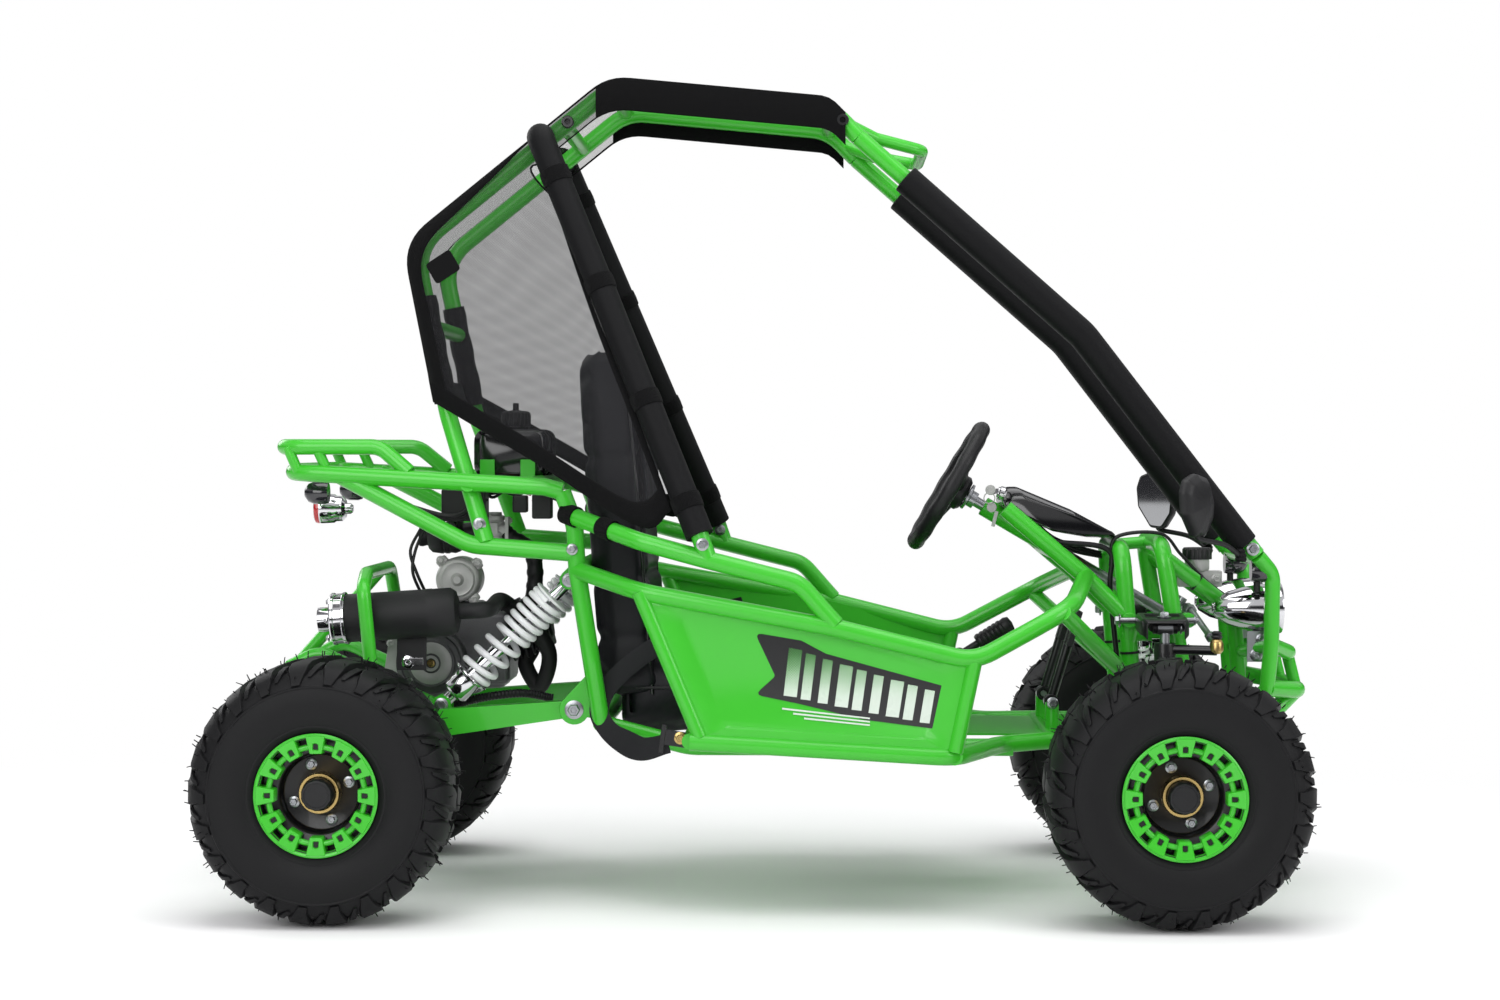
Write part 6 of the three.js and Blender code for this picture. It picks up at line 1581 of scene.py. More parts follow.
def polar(centre: np.ndarray, side: Side, radius: np.ndarray, turn: np.ndarray,
          out: np.ndarray) -> np.ndarray:
    """Points about a wheel's axis.

    Args:
        centre: the wheel's middle.
        side: its side of the kart.
        radius: distances from the axis.
        turn: angles from forwards towards up.
        out: distances outwards along the axis.

    Returns:
        The points, one for each entry of the three arrays taken together.
    """
    radius, turn, out = np.broadcast_arrays(radius, turn, out)
    return centre + np.stack([radius * np.cos(turn), out * side.value,
                              radius * np.sin(turn)], axis=-1)


def boxes(grid: np.ndarray) -> Shell:
    """Many closed four-sided bars at once.

    Args:
        grid: bars by steps by four corners by three.

    Returns:
        One shell of them all, each with its two caps.
    """
    bars, steps = grid.shape[:2]
    base = (np.arange(bars) * steps * 4)[:, None, None]
    i = (np.arange(steps - 1) * 4)[None, :, None]
    j = np.arange(4)[None, None, :]
    after = (j + 1) % 4
    rows = np.stack([base + i + j, base + i + after, base + i + 4 + after, base + i + 4 + j], -1)
    start = base[:, 0, :] + np.array([[3, 2, 1, 0]])
    end = base[:, 0, :] + (steps - 1) * 4 + np.array([[0, 1, 2, 3]])
    return Shell(grid.reshape(-1, 3), np.concatenate([rows.reshape(-1, 4), start, end]))


@dataclass
class Wheel:
    """A knobbly tyre with its vent whiskers on a dished rim with a green clamp ring."""

    side: Side
    front: bool
    lugs: int = 22
    clamp_blocks: int = 12
    ring_radius: float = 0.0735
    carcass: tuple[tuple[float, float], ...] = (
        (0.0900, 0.0800), (0.0935, 0.0872), (0.1000, 0.0905), (0.1030, 0.0930), (0.1060, 0.0930),
        (0.1080, 0.0945), (0.1200, 0.0985), (0.1350, 0.1012), (0.1500, 0.1006), (0.1620, 0.0978),
        (0.1630, 0.0992), (0.1652, 0.0990), (0.1662, 0.0966), (0.1780, 0.0905), (0.1870, 0.0790),
        (0.1925, 0.0600), (0.1945, 0.0300))
    lug_radius: tuple[float, ...] = (0.2022, 0.2028, 0.2012, 0.1968, 0.1890, 0.1785, 0.1690)
    lug_out: tuple[float, ...] = (0.006, 0.030, 0.056, 0.074, 0.087, 0.0952, 0.0992)
    lug_half: tuple[float, ...] = (0.064, 0.072, 0.077, 0.075, 0.066, 0.048, 0.038)
    lug_lean: tuple[float, ...] = (-0.100, -0.052, -0.014, 0.000, 0.005, 0.015, 0.030)
    knob_radius: tuple[float, ...] = (0.1985, 0.1950, 0.1885, 0.1800)
    knob_out: tuple[float, ...] = (0.0560, 0.0730, 0.0850, 0.0925)
    knob_half: tuple[float, ...] = (0.024, 0.026, 0.021, 0.015)
    knob_lean: tuple[float, ...] = (-0.030, -0.008, 0.020, 0.050)

    @property
    def centre(self) -> np.ndarray:
        """The wheel's middle."""
        track = FRONT_TRACK if self.front else REAR_TRACK
        x = ARM_X if self.front else REAR_X
        return xyz(x, self.side.value * track / 2, TYRE_RADIUS)

    @property
    def label(self) -> str:
        """Name ending such as front_..._right."""
        return f"{'front' if self.front else 'rear'}_{{}}_{self.side.label}"

    @property
    def body(self) -> str:
        """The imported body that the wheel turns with."""
        return f"front_wheel_{self.side.label}" if self.front else "rear_axle"

    def knobs(self, radius: Sequence[float], out: Sequence[float], half: Sequence[float],
              lean: Sequence[float], depth: float, flip: int, start: float) -> Shell:
        """A ring of rubber blocks that run from the tread down the shoulder: each step has its
        place on the tyre, its half width and its lean, both as angles.

        Args:
            radius: outer radius at each step.
            out: distance from the tyre's middle at each step.
            half: half width at each step, in radians.
            lean: how far round each step sits, in radians.
            depth: how far the block reaches into the carcass.
            flip: 1 for the outer shoulder and -1 for the inner.
            start: angle of the first block.

        Returns:
            The shell.
        """
        r, y, w, a = (np.asarray(v, float)[None, :, None] for v in (radius, out, half, lean))
        turn = start + np.arange(self.lugs)[:, None, None] * (2 * math.pi / self.lugs)
        wide = np.array([-1, 1, 1.25, -1.25])[None, None, :] * w
        low = np.array([0, 0, 1, 1])[None, None, :] * depth
        slope = np.clip((y - 0.05) / 0.05, 0, 1)
        grid = polar(self.centre, self.side, r - low * (1 - 0.55 * slope), turn + flip * a + wide,
                     flip * (y - low * 0.8 * slope))
        return boxes(grid)

    def whiskers(self) -> Shell:
        """Thin vent whiskers: bars that stand off the blocks and lean a little each way."""
        rng = np.random.default_rng(11 + 2 * self.front + (self.side is Side.LEFT))
        count = self.lugs * 9
        turn = rng.uniform(0, 2 * math.pi, count)
        share = rng.uniform(0.0, 0.93, count)
        flip = rng.choice([-1.0, 1.0], count)
        row = np.linspace(0, 1, len(self.lug_radius))
        r = np.interp(share, row, self.lug_radius) - 0.0015
        y = np.interp(share, row, self.lug_out)
        length = rng.uniform(0.006, 0.0125, count)
        lean = rng.normal(0, 0.014, count)
        steps = []
        for along, half in ((0.0, 0.0009), (1.0, 0.0006)):
            radius = r + along * length * (1 - share * 0.7)
            out = y + along * length * share * 0.6
            corners = [polar(self.centre, self.side, radius, turn + along * lean + k * half / r,
                             flip * (out + m * half))
                       for k, m in ((-1, -1), (1, -1), (1, 1), (-1, 1))]
            steps.append(np.stack(corners, axis=1))
        grid = np.stack(steps, axis=1)
        return boxes(grid[grid[:, :, :, 2].min(axis=(1, 2)) > 0.002])

    def tyre(self, fitter: Fitter) -> None:
        """Adds the tyre and its whiskers."""
        rows = [*self.carcass, *[(r, -y) for r, y in reversed(self.carcass)]]
        shells = [polar_shell(self.centre, self.side, rows, 144)]
        pitch = 2 * math.pi / self.lugs
        for flip, start in ((1, 0.0), (-1, pitch / 2)):
            shells.append(self.knobs(self.lug_radius, self.lug_out, self.lug_half, self.lug_lean,
                                     0.0085, flip, start))
            shells.append(self.knobs(self.knob_radius, self.knob_out, self.knob_half,
                                     self.knob_lean, 0.0065, flip, start + pitch / 2))
        name = self.label.format("tyre")
        fitter.add(name, self.body, RUBBER, shells, [name], bevel=0.0011, smooth_turn=32)
        fitter.add(self.label.format("whiskers"), self.body, RUBBER, self.whiskers())

    def clamp_block(self, turn: float) -> list[Shell]:
        """One block of the clamp ring: rings run from the foot of its outline up to its sloped
        face and down into its hole.

        Args:
            turn: its angle round the wheel.

        Returns:
            The block, and a dark disc at the bottom of its hole, painted shade, as a second shell.
        """
        corners = [np.array(p) for p in ((0.0915, 0.0158), (0.0625, 0.0096), (0.0625, -0.0096),
                                         (0.0915, -0.0158))]
        route = rounded_ring([np.append(p, 0) for p in corners], 0.0022, 4)[:, :2]
        spot = np.array([self.ring_radius, 0.0])
        hole = unit_rows(route - spot) * 0.0052 + spot
        rings = []
        for ring, out in ((route, 0.066), (route, 0.089), (spot + (route - spot) * 0.90, 0.0925),
                          (spot + (hole - spot) * 1.25, 0.0925), (hole, 0.0905), (hole, 0.0880)):
            slope = np.where(out > 0.085, (ring[:, 0] - 0.075) * 0.16, 0)
            radius = np.hypot(ring[:, 0], ring[:, 1])
            angle = turn + np.arctan2(ring[:, 1], ring[:, 0])
            rings.append(polar(self.centre, self.side, radius, angle, out + slope))
        spot_place = polar(self.centre, self.side, self.ring_radius, turn, 0.0885)
        # A dark disc at the bottom of the hole: painted shade in the recess.
        dark = rod(spot_place, ACROSS * self.side.value, 0.0050, 0.001, 12)
        return [capped(rings), dark]

    def rim(self, fitter: Fitter) -> None:
        """Adds the barrel, disc, clamp ring, hub, cap and bolts."""
        c, s = self.centre, self.side
        barrel = polar_shell(c, s, [(0.0896, -0.079), (0.0896, 0.0893), (0.0925, 0.0895),
                                    (0.0925, 0.0915), (0.0868, 0.0915), (0.0866, -0.079)])
        bore = 0.0098 if self.front else 0.0132
        disc = polar_shell(c, s, [(bore, 0.030), (bore, 0.0405), (0.0555, 0.0405),
                                  (0.0575, 0.0420), (0.0588, 0.0480), (0.0605, 0.0560),
                                  (0.0640, 0.0590), (0.0868, 0.0605), (0.0868, 0.0570),
                                  (0.0650, 0.0550), (0.0600, 0.030)])
        fitter.add(self.label.format("rim"), self.body, BLACK_PAINT, [barrel, disc],
                   [self.label.format("rim")], bevel=0.0008)
        shells, painted_hole_shades = [], []
        for turn in around(self.clamp_blocks):
            block_shell, dark = self.clamp_block(turn)
            shells.append(block_shell)
            painted_hole_shades.append(dark)
        shells.append(polar_shell(c, s, [(0.0940, 0.0905), (0.0940, 0.0925), (0.0920, 0.0938),
                                         (0.0890, 0.0930), (0.0866, 0.0890), (0.0860, 0.0850),
                                         (0.0900, 0.0870)]))
        shells.append(sweep(polar(c, s, self.ring_radius, around(72), 0.0825), 0.0046, circle(12),
                            True, ACROSS))
        fitter.add(self.label.format("clamp_ring"), self.body, GREEN, shells, bevel=0.0007)
        flange = [bolt(polar(c, s, 0.0450, turn, 0.0405), ACROSS * s.value, 0.0120)
                  for turn in np.arange(4) * math.pi / 2 + 0.35]
        fitter.add(self.label.format("wheel_bolts"), self.body, ZINC, flange)
        fitter.add(self.label.format("hub_ring"), self.body, BRASS, polar_shell(c, s, [
            (0.0225, 0.0400), (0.0315, 0.0400), (0.0312, 0.0620), (0.0300, 0.0640),
            (0.0262, 0.0640), (0.0250, 0.0620), (0.0225, 0.0610)]))
        turn = around(96)
        lobes = 1 - 0.028 * np.clip(np.cos(turn * 10) * 3, 0, 1)
        rows = [(0.0245, 0.0500, 0), (0.0245, 0.0740, 0), (0.0240, 0.0760, 1), (0.0236, 0.0850, 1),
                (0.0222, 0.0868, 1), (0.0190, 0.0872, 0), (0.0185, 0.0862, 0)]
        cap = capped([polar(c, s, r * np.where(wavy, lobes, 1), turn, out)
                      for r, out, wavy in rows])
        stem = polar(c, s, 0.0760, -0.62, 0.058)
        fitter.add(self.label.format("hub_cap"), self.body, PLASTIC, [
            cap, turned(stem, ACROSS * s.value, [(0, 0), (0.0036, 0), (0.0034, 0.012),
                                                 (0.0024, 0.014), (0.0024, 0.022), (0, 0.022)],
                        12), *painted_hole_shades])


def coil(start: np.ndarray, end: np.ndarray, radius: float, wire: float, tight: float,
         wide: float, even: float = 0.5) -> Shell:
    """A coil spring whose first turns are closer than its last: the rise is a straight share of
    the turn up to the even point and a steeper one after it.

    Args:
        start: where the tight end sits.
        end: where the wide end sits.
        radius: radius of the wire's middle line.
        wire: wire diameter.
        tight: turns in the first part.
        wide: turns in the second part.
        even: share of the height that the tight turns fill.

    Returns:
        The shell.
    """
    axis = end - start
    way = unit(axis)
    first, second = axes_from(way)
    turns = tight + wide
    count = int(turns * 26)
    t = np.linspace(0, turns, count)
    rise = np.interp(t, [0, 0.7, tight, turns - 0.7, turns], [0, 0.018, even, 0.972, 1.0])
    angle = 2 * math.pi * t
    route = (start + rise[:, None] * axis + radius * (np.cos(angle)[:, None] * first
                                                      + np.sin(angle)[:, None] * second))
    return sweep(route, wire / 2, circle(12), normal=way)


@dataclass
class FrontCorner:
    """One front corner: arms, kingpin, knuckle and shock."""

    side: Side
    span: float = 0.075
    drop: float = 0.007
    barrel: float = 0.024
    levels: tuple[tuple[str, float], ...] = (("upper", UPPER_PIVOT), ("lower", LOWER_PIVOT))

    def ball(self) -> np.ndarray:
        """Middle of the steering arm's ball joint."""
        return xyz(ARM_X + 0.077, self.side.value * (PIVOT_HALF + self.span + 0.030),
                   UPPER_PIVOT - self.drop - self.barrel)

    def arm(self, fitter: Fitter, level: str, height: float) -> None:
        """Adds one wishbone with its barrel, legs and cross piece."""
        s = self.side.value
        pivot = xyz(ARM_X, s * PIVOT_HALF, height)
        outer = xyz(ARM_X, s * (PIVOT_HALF + self.span), height - self.drop)
        leg = 0.0132 if level == "upper" else 0.022
        fork = self.barrel / 2 + 0.0005 + leg / 2
        shells = [rod(pivot - FORWARD * 0.027, FORWARD, 0.012, 0.054, 28, bore=0.0056)]
        for end in (-1, 1):
            shells.append(tube([pivot + FORWARD * end * 0.0215, outer + FORWARD * end * fork], leg))
            eye = outer + FORWARD * end * fork
            shells.append(rod(eye - FORWARD * end * leg / 2, FORWARD * end, 0.0095, 0.007, 24))
        middle = between(pivot, outer, 0.42)
        if level == "upper":
            self.cover(fitter, shells, height)
        else:
            shells.append(tube([middle - FORWARD * 0.027, middle + FORWARD * 0.027], 0.0176))
        name = f"{level}_arm_{self.side.label}"
        fitter.add(name, name, BLACK_PAINT if level == "upper" else GREEN, shells, [name],
                   bevel=0.0008)
        fitter.add(f"{level}_arm_pin_{self.side.label}", name, ZINC, [
            tube([outer - FORWARD * fork, outer + FORWARD * fork], 0.010),
            bolt(outer + FORWARD * (fork + leg / 2 - 0.001), FORWARD, 0.013)])

    def cover(self, fitter: Fitter, shells: list[Shell], height: float) -> None:
        """Adds the pressed plate over the upper arm: a sheet bent down along both edges, with matte
        dark patches over its slot openings as painted shade, and its nut.

        Args:
            fitter: the maker of pieces.
            shells: the arm's surfaces, which the plate joins.
            height: level of the arm's pivot.
        """
        s, label = self.side.value, self.side.label
        x = np.array([-0.0385, -0.0385, -0.0350, 0.0350, 0.0385, 0.0385])
        drop = np.array([0.026, 0.004, 0.0, 0.0, 0.004, 0.026])
        rows = []
        for share, inset in ((0.0, 1.0), (0.75, 1.0), (0.92, 0.93), (1.0, 0.80)):
            y = s * (0.1615 + share * 0.090)
            z = height + 0.0125 - 0.006 * share - 0.004 * (share > 0.95)
            outer = np.column_stack([ARM_X + x * inset, np.full(6, y), z - drop])
            inner = np.column_stack([ARM_X + x[::-1] * (inset - 0.07), np.full(6, y),
                                     z - 0.0024 - drop[::-1] * 0.92])
            rows.append(np.concatenate([outer, inner]))
        shells.append(capped(rows))
        top = height + 0.0105
        # Dark matte patches on the plate: painted shade for the slot openings.
        slot_shades = [block([ARM_X + dx, s * y, top + lift], [0.022, 0.006, 0.0016])
                 for y, lift in ((0.187, 0.0012), (0.200, 0.0004)) for dx in (-0.016, 0.016)]
        fitter.add(f"upper_arm_slots_{label}", f"upper_arm_{label}", HEAT, slot_shades)
        place = xyz(ARM_X, s * 0.222, top - 0.001)
        fitter.add(f"upper_arm_nut_{label}", f"upper_arm_{label}", ZINC,
                   bolt(place, UPWARD, 0.015))

    def uprights(self, fitter: Fitter) -> None:
        """Adds the kingpin, the knuckle with its stub and arm, and the ball joint."""
        s, label = self.side.value, self.side.label
        y = s * (PIVOT_HALF + self.span)
        top = xyz(ARM_X, y, UPPER_PIVOT - self.drop)
        foot = xyz(ARM_X, y, LOWER_PIVOT - self.drop)
        eyes = [rod(p - FORWARD * 0.012, FORWARD, 0.0108, 0.024, 28,
                    bore=0.0056) for p in (top, foot)]
        fitter.add(f"kingpin_{label}", f"kingpin_{label}", ZINC,
                   [tube([foot + UPWARD * 0.008, top - UPWARD * 0.008], 0.016), *eyes],
                   [f"kingpin_{label}"], bevel=0.0006)
        low, high = foot[2] + 0.018, top[2] - 0.024
        hub = s * (FRONT_TRACK / 2 - 0.0365)
        stub = s * (FRONT_TRACK / 2 + 0.0244)
        ball = self.ball()
        arm_level = high - 0.0096
        shells = [
            turned(xyz(ARM_X, y, low), UPWARD, [
                (0.0088, 0), (0.0165, 0), (0.0170, 0.002), (0.0170, high - low - 0.002),
                (0.0165, high - low), (0.0088, high - low)], 32),
            tube([xyz(ARM_X, y, TYRE_RADIUS), xyz(ARM_X, hub, TYRE_RADIUS)], 0.030),
            tube([xyz(ARM_X, hub - s * 0.005, TYRE_RADIUS),
                  xyz(ARM_X, stub, TYRE_RADIUS)], 0.018),
            tube([xyz(ARM_X, y, arm_level), xyz(ball[0], ball[1], arm_level)],
                 0.0154)]
        fitter.add(f"knuckle_{label}", f"knuckle_{label}", BLACK_PAINT, shells,
                   [f"knuckle_{label}"], bevel=0.0006)
        joint = turned(ball - UPWARD * 0.0145, UPWARD, [
            (0, 0), (0.006, 0), (0.0108, 0.005), (0.0108, 0.016), (0.0085, 0.021), (0.0055, 0.024),
            (0, 0.024)], 28)
        boot = turned(ball + UPWARD * 0.009, UPWARD, [
            (0, 0), (0.0075, 0), (0.0095, 0.003), (0.0070, 0.006), (0.0085, 0.009),
            (0.0050, 0.012), (0, 0.012)], 24)
        fitter.add(f"steering_ball_{label}", f"knuckle_{label}", BRASS, joint)
        fitter.add(f"steering_boot_{label}", f"knuckle_{label}", PLASTIC, boot)

    def shock(self, fitter: Fitter) -> None:
        """Adds the shock between the tower's bar and the lower arm."""
        s, label = self.side.value, self.side.label
        top = xyz(ARM_X, s * 0.1355, 0.4115)
        foot = xyz(ARM_X, s * 0.1945, 0.1757)
        way = unit(foot - top)
        reach = float(np.linalg.norm(foot - top))
        spot = [top + way * reach * share for share in (0.0, 0.10, 0.72, 1.0)]
        body = [rod(top, way, 0.007, reach * 0.62, 24),
                turned(top + way * reach * 0.45, way, [(0, 0), (0.0120, 0), (0.0125, 0.002),
                                                       (0.0125, reach * 0.48), (0, reach * 0.50)],
                       28),
                rod(spot[0] - FORWARD * 0.010, FORWARD, 0.010, 0.020, 24),
                rod(spot[3] - way * 0.010 - FORWARD * 0.009, FORWARD, 0.010, 0.018, 24)]
        seats = [rod(spot[1] - way * 0.004, way, 0.0205, 0.004, 32),
                 rod(spot[2], way, 0.0205, 0.004, 32)]
        spring = coil(spot[1], spot[2], 0.0170, 0.0078, 4, 5, 0.34)
        for piece in (fitter.add(f"front_shock_{label}", "chassis", WHITE, spring,
                                 [f"front_shock_{label}"]),
                      fitter.add(f"front_damper_{label}", "chassis", CHROME, [*body, *seats],
                                 bevel=0.0006)):
            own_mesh(piece)

    def build(self, fitter: Fitter) -> None:
        """Adds the whole corner."""
        for level, height in self.levels:
            self.arm(fitter, level, height)
        self.uprights(fitter)
        self.shock(fitter)


@dataclass
class Steering:
    """Wheel, shaft with its pitman arm, and tie rods."""

    diameter: float = 0.244
    grip: float = 0.027
    shaft: float = 0.018
    pitman: float = 0.030

    def along(self, distance: float, up: float = 0.0, y: float = 0.0) -> np.ndarray:
        """A point on the column, forwards of the wheel's middle, raised square to it."""
        return at("wheelCentre") + COLUMN_WAY * distance + COLUMN_UP * up + ACROSS * y

    def build(self, fitter: Fitter) -> None:
        """Adds the steering gear."""
        rim = (self.diameter - self.grip) / 2
        turn = around(112)
        centre = at("wheelCentre")
        route = centre + rim * (np.cos(turn)[:, None] * COLUMN_UP + np.sin(turn)[:, None] * ACROSS)
        wave = self.grip / 2 - 0.0006 - 0.0006 * np.cos(turn * 14)
        shells = [sweep(route, wave, circle(20), True, COLUMN_WAY)]
        for angle in (-math.pi / 2, math.pi / 6, math.pi * 5 / 6):
            tip = self.along(0, (rim - 0.004) * math.sin(angle), (rim - 0.004) * math.cos(angle))
            start = self.along(self.grip * 0.9)
            out = unit(tip - start)
            side_way = unit(np.cross(out, COLUMN_WAY))
            shells.append(sweep(np.linspace(start, tip, 6), 1.0, circle(16) * [0.0145, 0.0052],
                                normal=side_way))
        hub_start = self.along(self.grip * 0.55)
        shells.append(turned(hub_start, COLUMN_WAY, [(0, -0.010), (0.022, -0.009), (0.030, -0.003),
                                                     (0.030, 0.012), (0.024, 0.018), (0, 0.018)]))
        fitter.add("steering_wheel", "steering", PLASTIC, shells, ["steering_wheel"], bevel=0.0008)
        front = (at("rearTowerTop")[0] + 0.09625 - centre[0]) / COLUMN_WAY[0]
        tip = self.along(front, self.pitman)
        rods = [tube([self.along(self.grip * 1.2), self.along(front)], self.shaft),
                turned(self.along(self.grip * 1.3), COLUMN_WAY, [
                    (0, 0), (0.0225, 0), (0.0225, 0.004), (0.0140, 0.006), (0.0140, 0.016),
                    (0, 0.016)], 32),
                tube([self.along(front, -self.shaft), self.along(front, self.pitman + 0.008)],
                     0.016)]
        for angle in around(3) + 0.5:
            rods.append(bolt(self.along(self.grip * 1.3, 0.0165 * math.sin(angle),
                                        0.0165 * math.cos(angle)), -COLUMN_WAY, 0.007))
        fitter.add("steering_shaft", "steering", ZINC, rods, ["steering_shaft"], bevel=0.0006)
        for side in Side:
            ball = FrontCorner(side).ball()
            outer = ball - ACROSS * side.value * 0.016
            inner = tip + COLUMN_WAY * 0.0149 + ACROSS * side.value * 0.0016
            way = unit(outer - inner)
            shells = [tube([inner, outer], 0.0105, sides=20)]
            for place, facing in ((inner + way * 0.020, way), (outer - way * 0.050, way)):
                shells.append(rod(place, facing, 0.0088, 0.012, 6))
            name = f"tie_rod_{side.label}"
            fitter.add(name, "tie_rods", ZINC, shells, [name], bevel=0.0004)


@dataclass
class SwingArm:
    """Two box arms, the engine cradle, the muffler hoop, and the rear axle."""

    half: float = 0.180
    wide: float = 0.026
    deep: float = 0.044
    bearing: float = 0.070
    axle: float = 0.025
    sprocket: float = 0.0531
    link: float = 0.0127

    def outline(self) -> np.ndarray:
        """Side outline of a box arm."""
        hub = xyz(REAR_X, 0, TYRE_RADIUS)
        foot = at("shockFoot")
        return np.array([
            at("swingPivot") + UPWARD * self.deep * 0.3, foot - UPWARD * 0.005,
            hub + FORWARD * self.bearing * 0.5 + UPWARD * self.bearing * 0.45,
            hub + FORWARD * self.bearing * 0.3 - UPWARD * self.bearing * 0.35,
            foot - UPWARD * (0.005 + self.deep), at("swingPivot") - UPWARD * self.deep * 0.3])

    def build(self, fitter: Fitter) -> None:
        """Adds the arm as one welded piece, its bolts, the axle, sprocket, disc and chain."""
        hub = xyz(REAR_X, 0, TYRE_RADIUS)
        pivot = at("swingPivot")
        shells = [rod(pivot - ACROSS * 0.200, ACROSS, 0.017, 0.400, 32, bore=0.0066)]
        bolts = []
        level = at("shockFoot")[2] - self.deep * 0.6
        for side in Side:
            s = side.value
            cradle = s * CRADLE_HALF
            shells += [
                plate(self.outline(), s * self.half, self.wide),
                turned(hub + ACROSS * s * (self.half - 0.0208), ACROSS * s, [
                    (0.0131, 0), (0.035, 0), (0.035, 0.0416), (0.030, 0.0436), (0.0131, 0.0436)],
                       40),
                tube([at("cradleFront", cradle), at("cradleRear", cradle),
                      at("cradleTail", cradle)], ARM_TUBE, ARM_TUBE * 2),
                tube([at("cradleTail", cradle),
                      hub + ACROSS * s * self.half + UPWARD * self.bearing * 0.4], ARM_TUBE),
                tube([at("cradleFront", cradle, level), at("cradleFront", cradle)], ARM_TUBE),
                *shock_bracket("shockFoot", side, at("shockFoot") - UPWARD * self.deep)]
            bolts += [bolt(at("shockFoot", s * (SHOCK_HALF + TAB_GAP)), ACROSS * s, 0.015),
                      bolt(at("shockFoot", s * (SHOCK_HALF - TAB_GAP)), -ACROSS * s, 0.015)]
            for turn in around(3) + 0.4:
                spot = hub + 0.0265 * (math.cos(turn) * FORWARD + math.sin(turn) * UPWARD)
                bolts.append(bolt(spot + ACROSS * s * (self.half + 0.0224), ACROSS * s, 0.009))
        out = -UPRIGHT_HALF * 1.03
        shells += [
            tube([at("cradleFront", -self.half, level), at("cradleFront", self.half, level)],
                 MAIN_TUBE),
            cross_tube("cradleTail", CRADLE_HALF, ARM_TUBE),
            tube([at("hoopLegFoot", -CRADLE_HALF), at("hoopLegFoot", out), at("hoopLegTop", out),
                  at("hoopCrown", -UPRIGHT_HALF * 0.8), at("hoopCrown", CRADLE_HALF * 0.4),
                  at("hoopLegFoot", CRADLE_HALF * 0.9), at("hoopLegFoot", CRADLE_HALF)],
                 ARM_TUBE, MAIN_TUBE),
            tube([at("cradleTail", -CRADLE_HALF * 0.4), at("hoopCrown", -CRADLE_HALF * 0.4)],
                 LIGHT_TUBE)]
        fitter.add("swing_arm", "swing_arm", GREEN, shells, ["swing_arm"], bevel=0.0012)
        fitter.add("swing_arm_bolts", "swing_arm", ZINC, bolts)
        self.axle_set(fitter, hub)

    def axle_set(self, fitter: Fitter, hub: np.ndarray) -> None:
        """Adds the axle with its toothed sprocket and drilled disc, the chain and the caliper."""
        reach = REAR_TRACK / 2 + 0.0731
        shells = [tube([hub - ACROSS * reach, hub + ACROSS * reach], self.axle, sides=28)]
        for y in (-self.sprocket, self.sprocket):
            shells.append(rod(hub + ACROSS * (y - 0.015), ACROSS, 0.025, 0.030, 28, bore=0.012))
        turn = around(148)
        teeth = 0.0718 + 0.0033 * np.clip(np.sin(turn * 37) * 2, -1, 1)
        ring = np.stack([np.cos(turn) * teeth, np.sin(turn) * teeth], axis=1)
        faces = np.stack([hub + ACROSS * (self.sprocket + d) for d in (-0.0025, 0.0025)])
        shells.append(sweep(faces, 1.0, ring, normal=FORWARD))
        shells.append(turned(hub - ACROSS * 0.0556, ACROSS, [
            (0.024, 0), (0.0845, 0), (0.0850, 0.0025), (0.0845, 0.0050), (0.024, 0.0050)], 72))
        fitter.add("rear_axle", "rear_axle", ZINC, shells, ["rear_axle"], bevel=0.0004)
        # Black plugs in the drilled holes: painted shade for the dark seen through the holes.
        holes = []
        for k, turn in enumerate(around(18)):
            spot = hub + (0.066 + 0.007 * (-1) ** k) * (math.cos(turn) * FORWARD
                                                        + math.sin(turn) * UPWARD)
            holes.append(rod(spot - ACROSS * 0.0559, ACROSS, 0.0042, 0.0056, 12))
        fitter.add("brake_disc_hole_shade", "rear_axle", BLACK_PAINT, holes)
        out = unit([0.73, 0, 0.68])
        caliper = hub + out * 0.080 - ACROSS * self.sprocket
        fitter.add("brake_caliper", "swing_arm", DARK_CAST_AND_SHADE, [
            *[block(caliper + ACROSS * y, [0.050, 0.012, 0.040], 0.75) for y in (0.0125, -0.0125)],
            block(caliper + out * 0.017, [0.046, 0.032, 0.012], 0.75),
            tube([caliper + out * 0.020, at("cradleRear", -CRADLE_HALF * 0.5) - UPWARD * 0.01,
                  at("cradleRear", -CRADLE_HALF)], 0.010)], bevel=0.002)
        self.chain(fitter, hub)

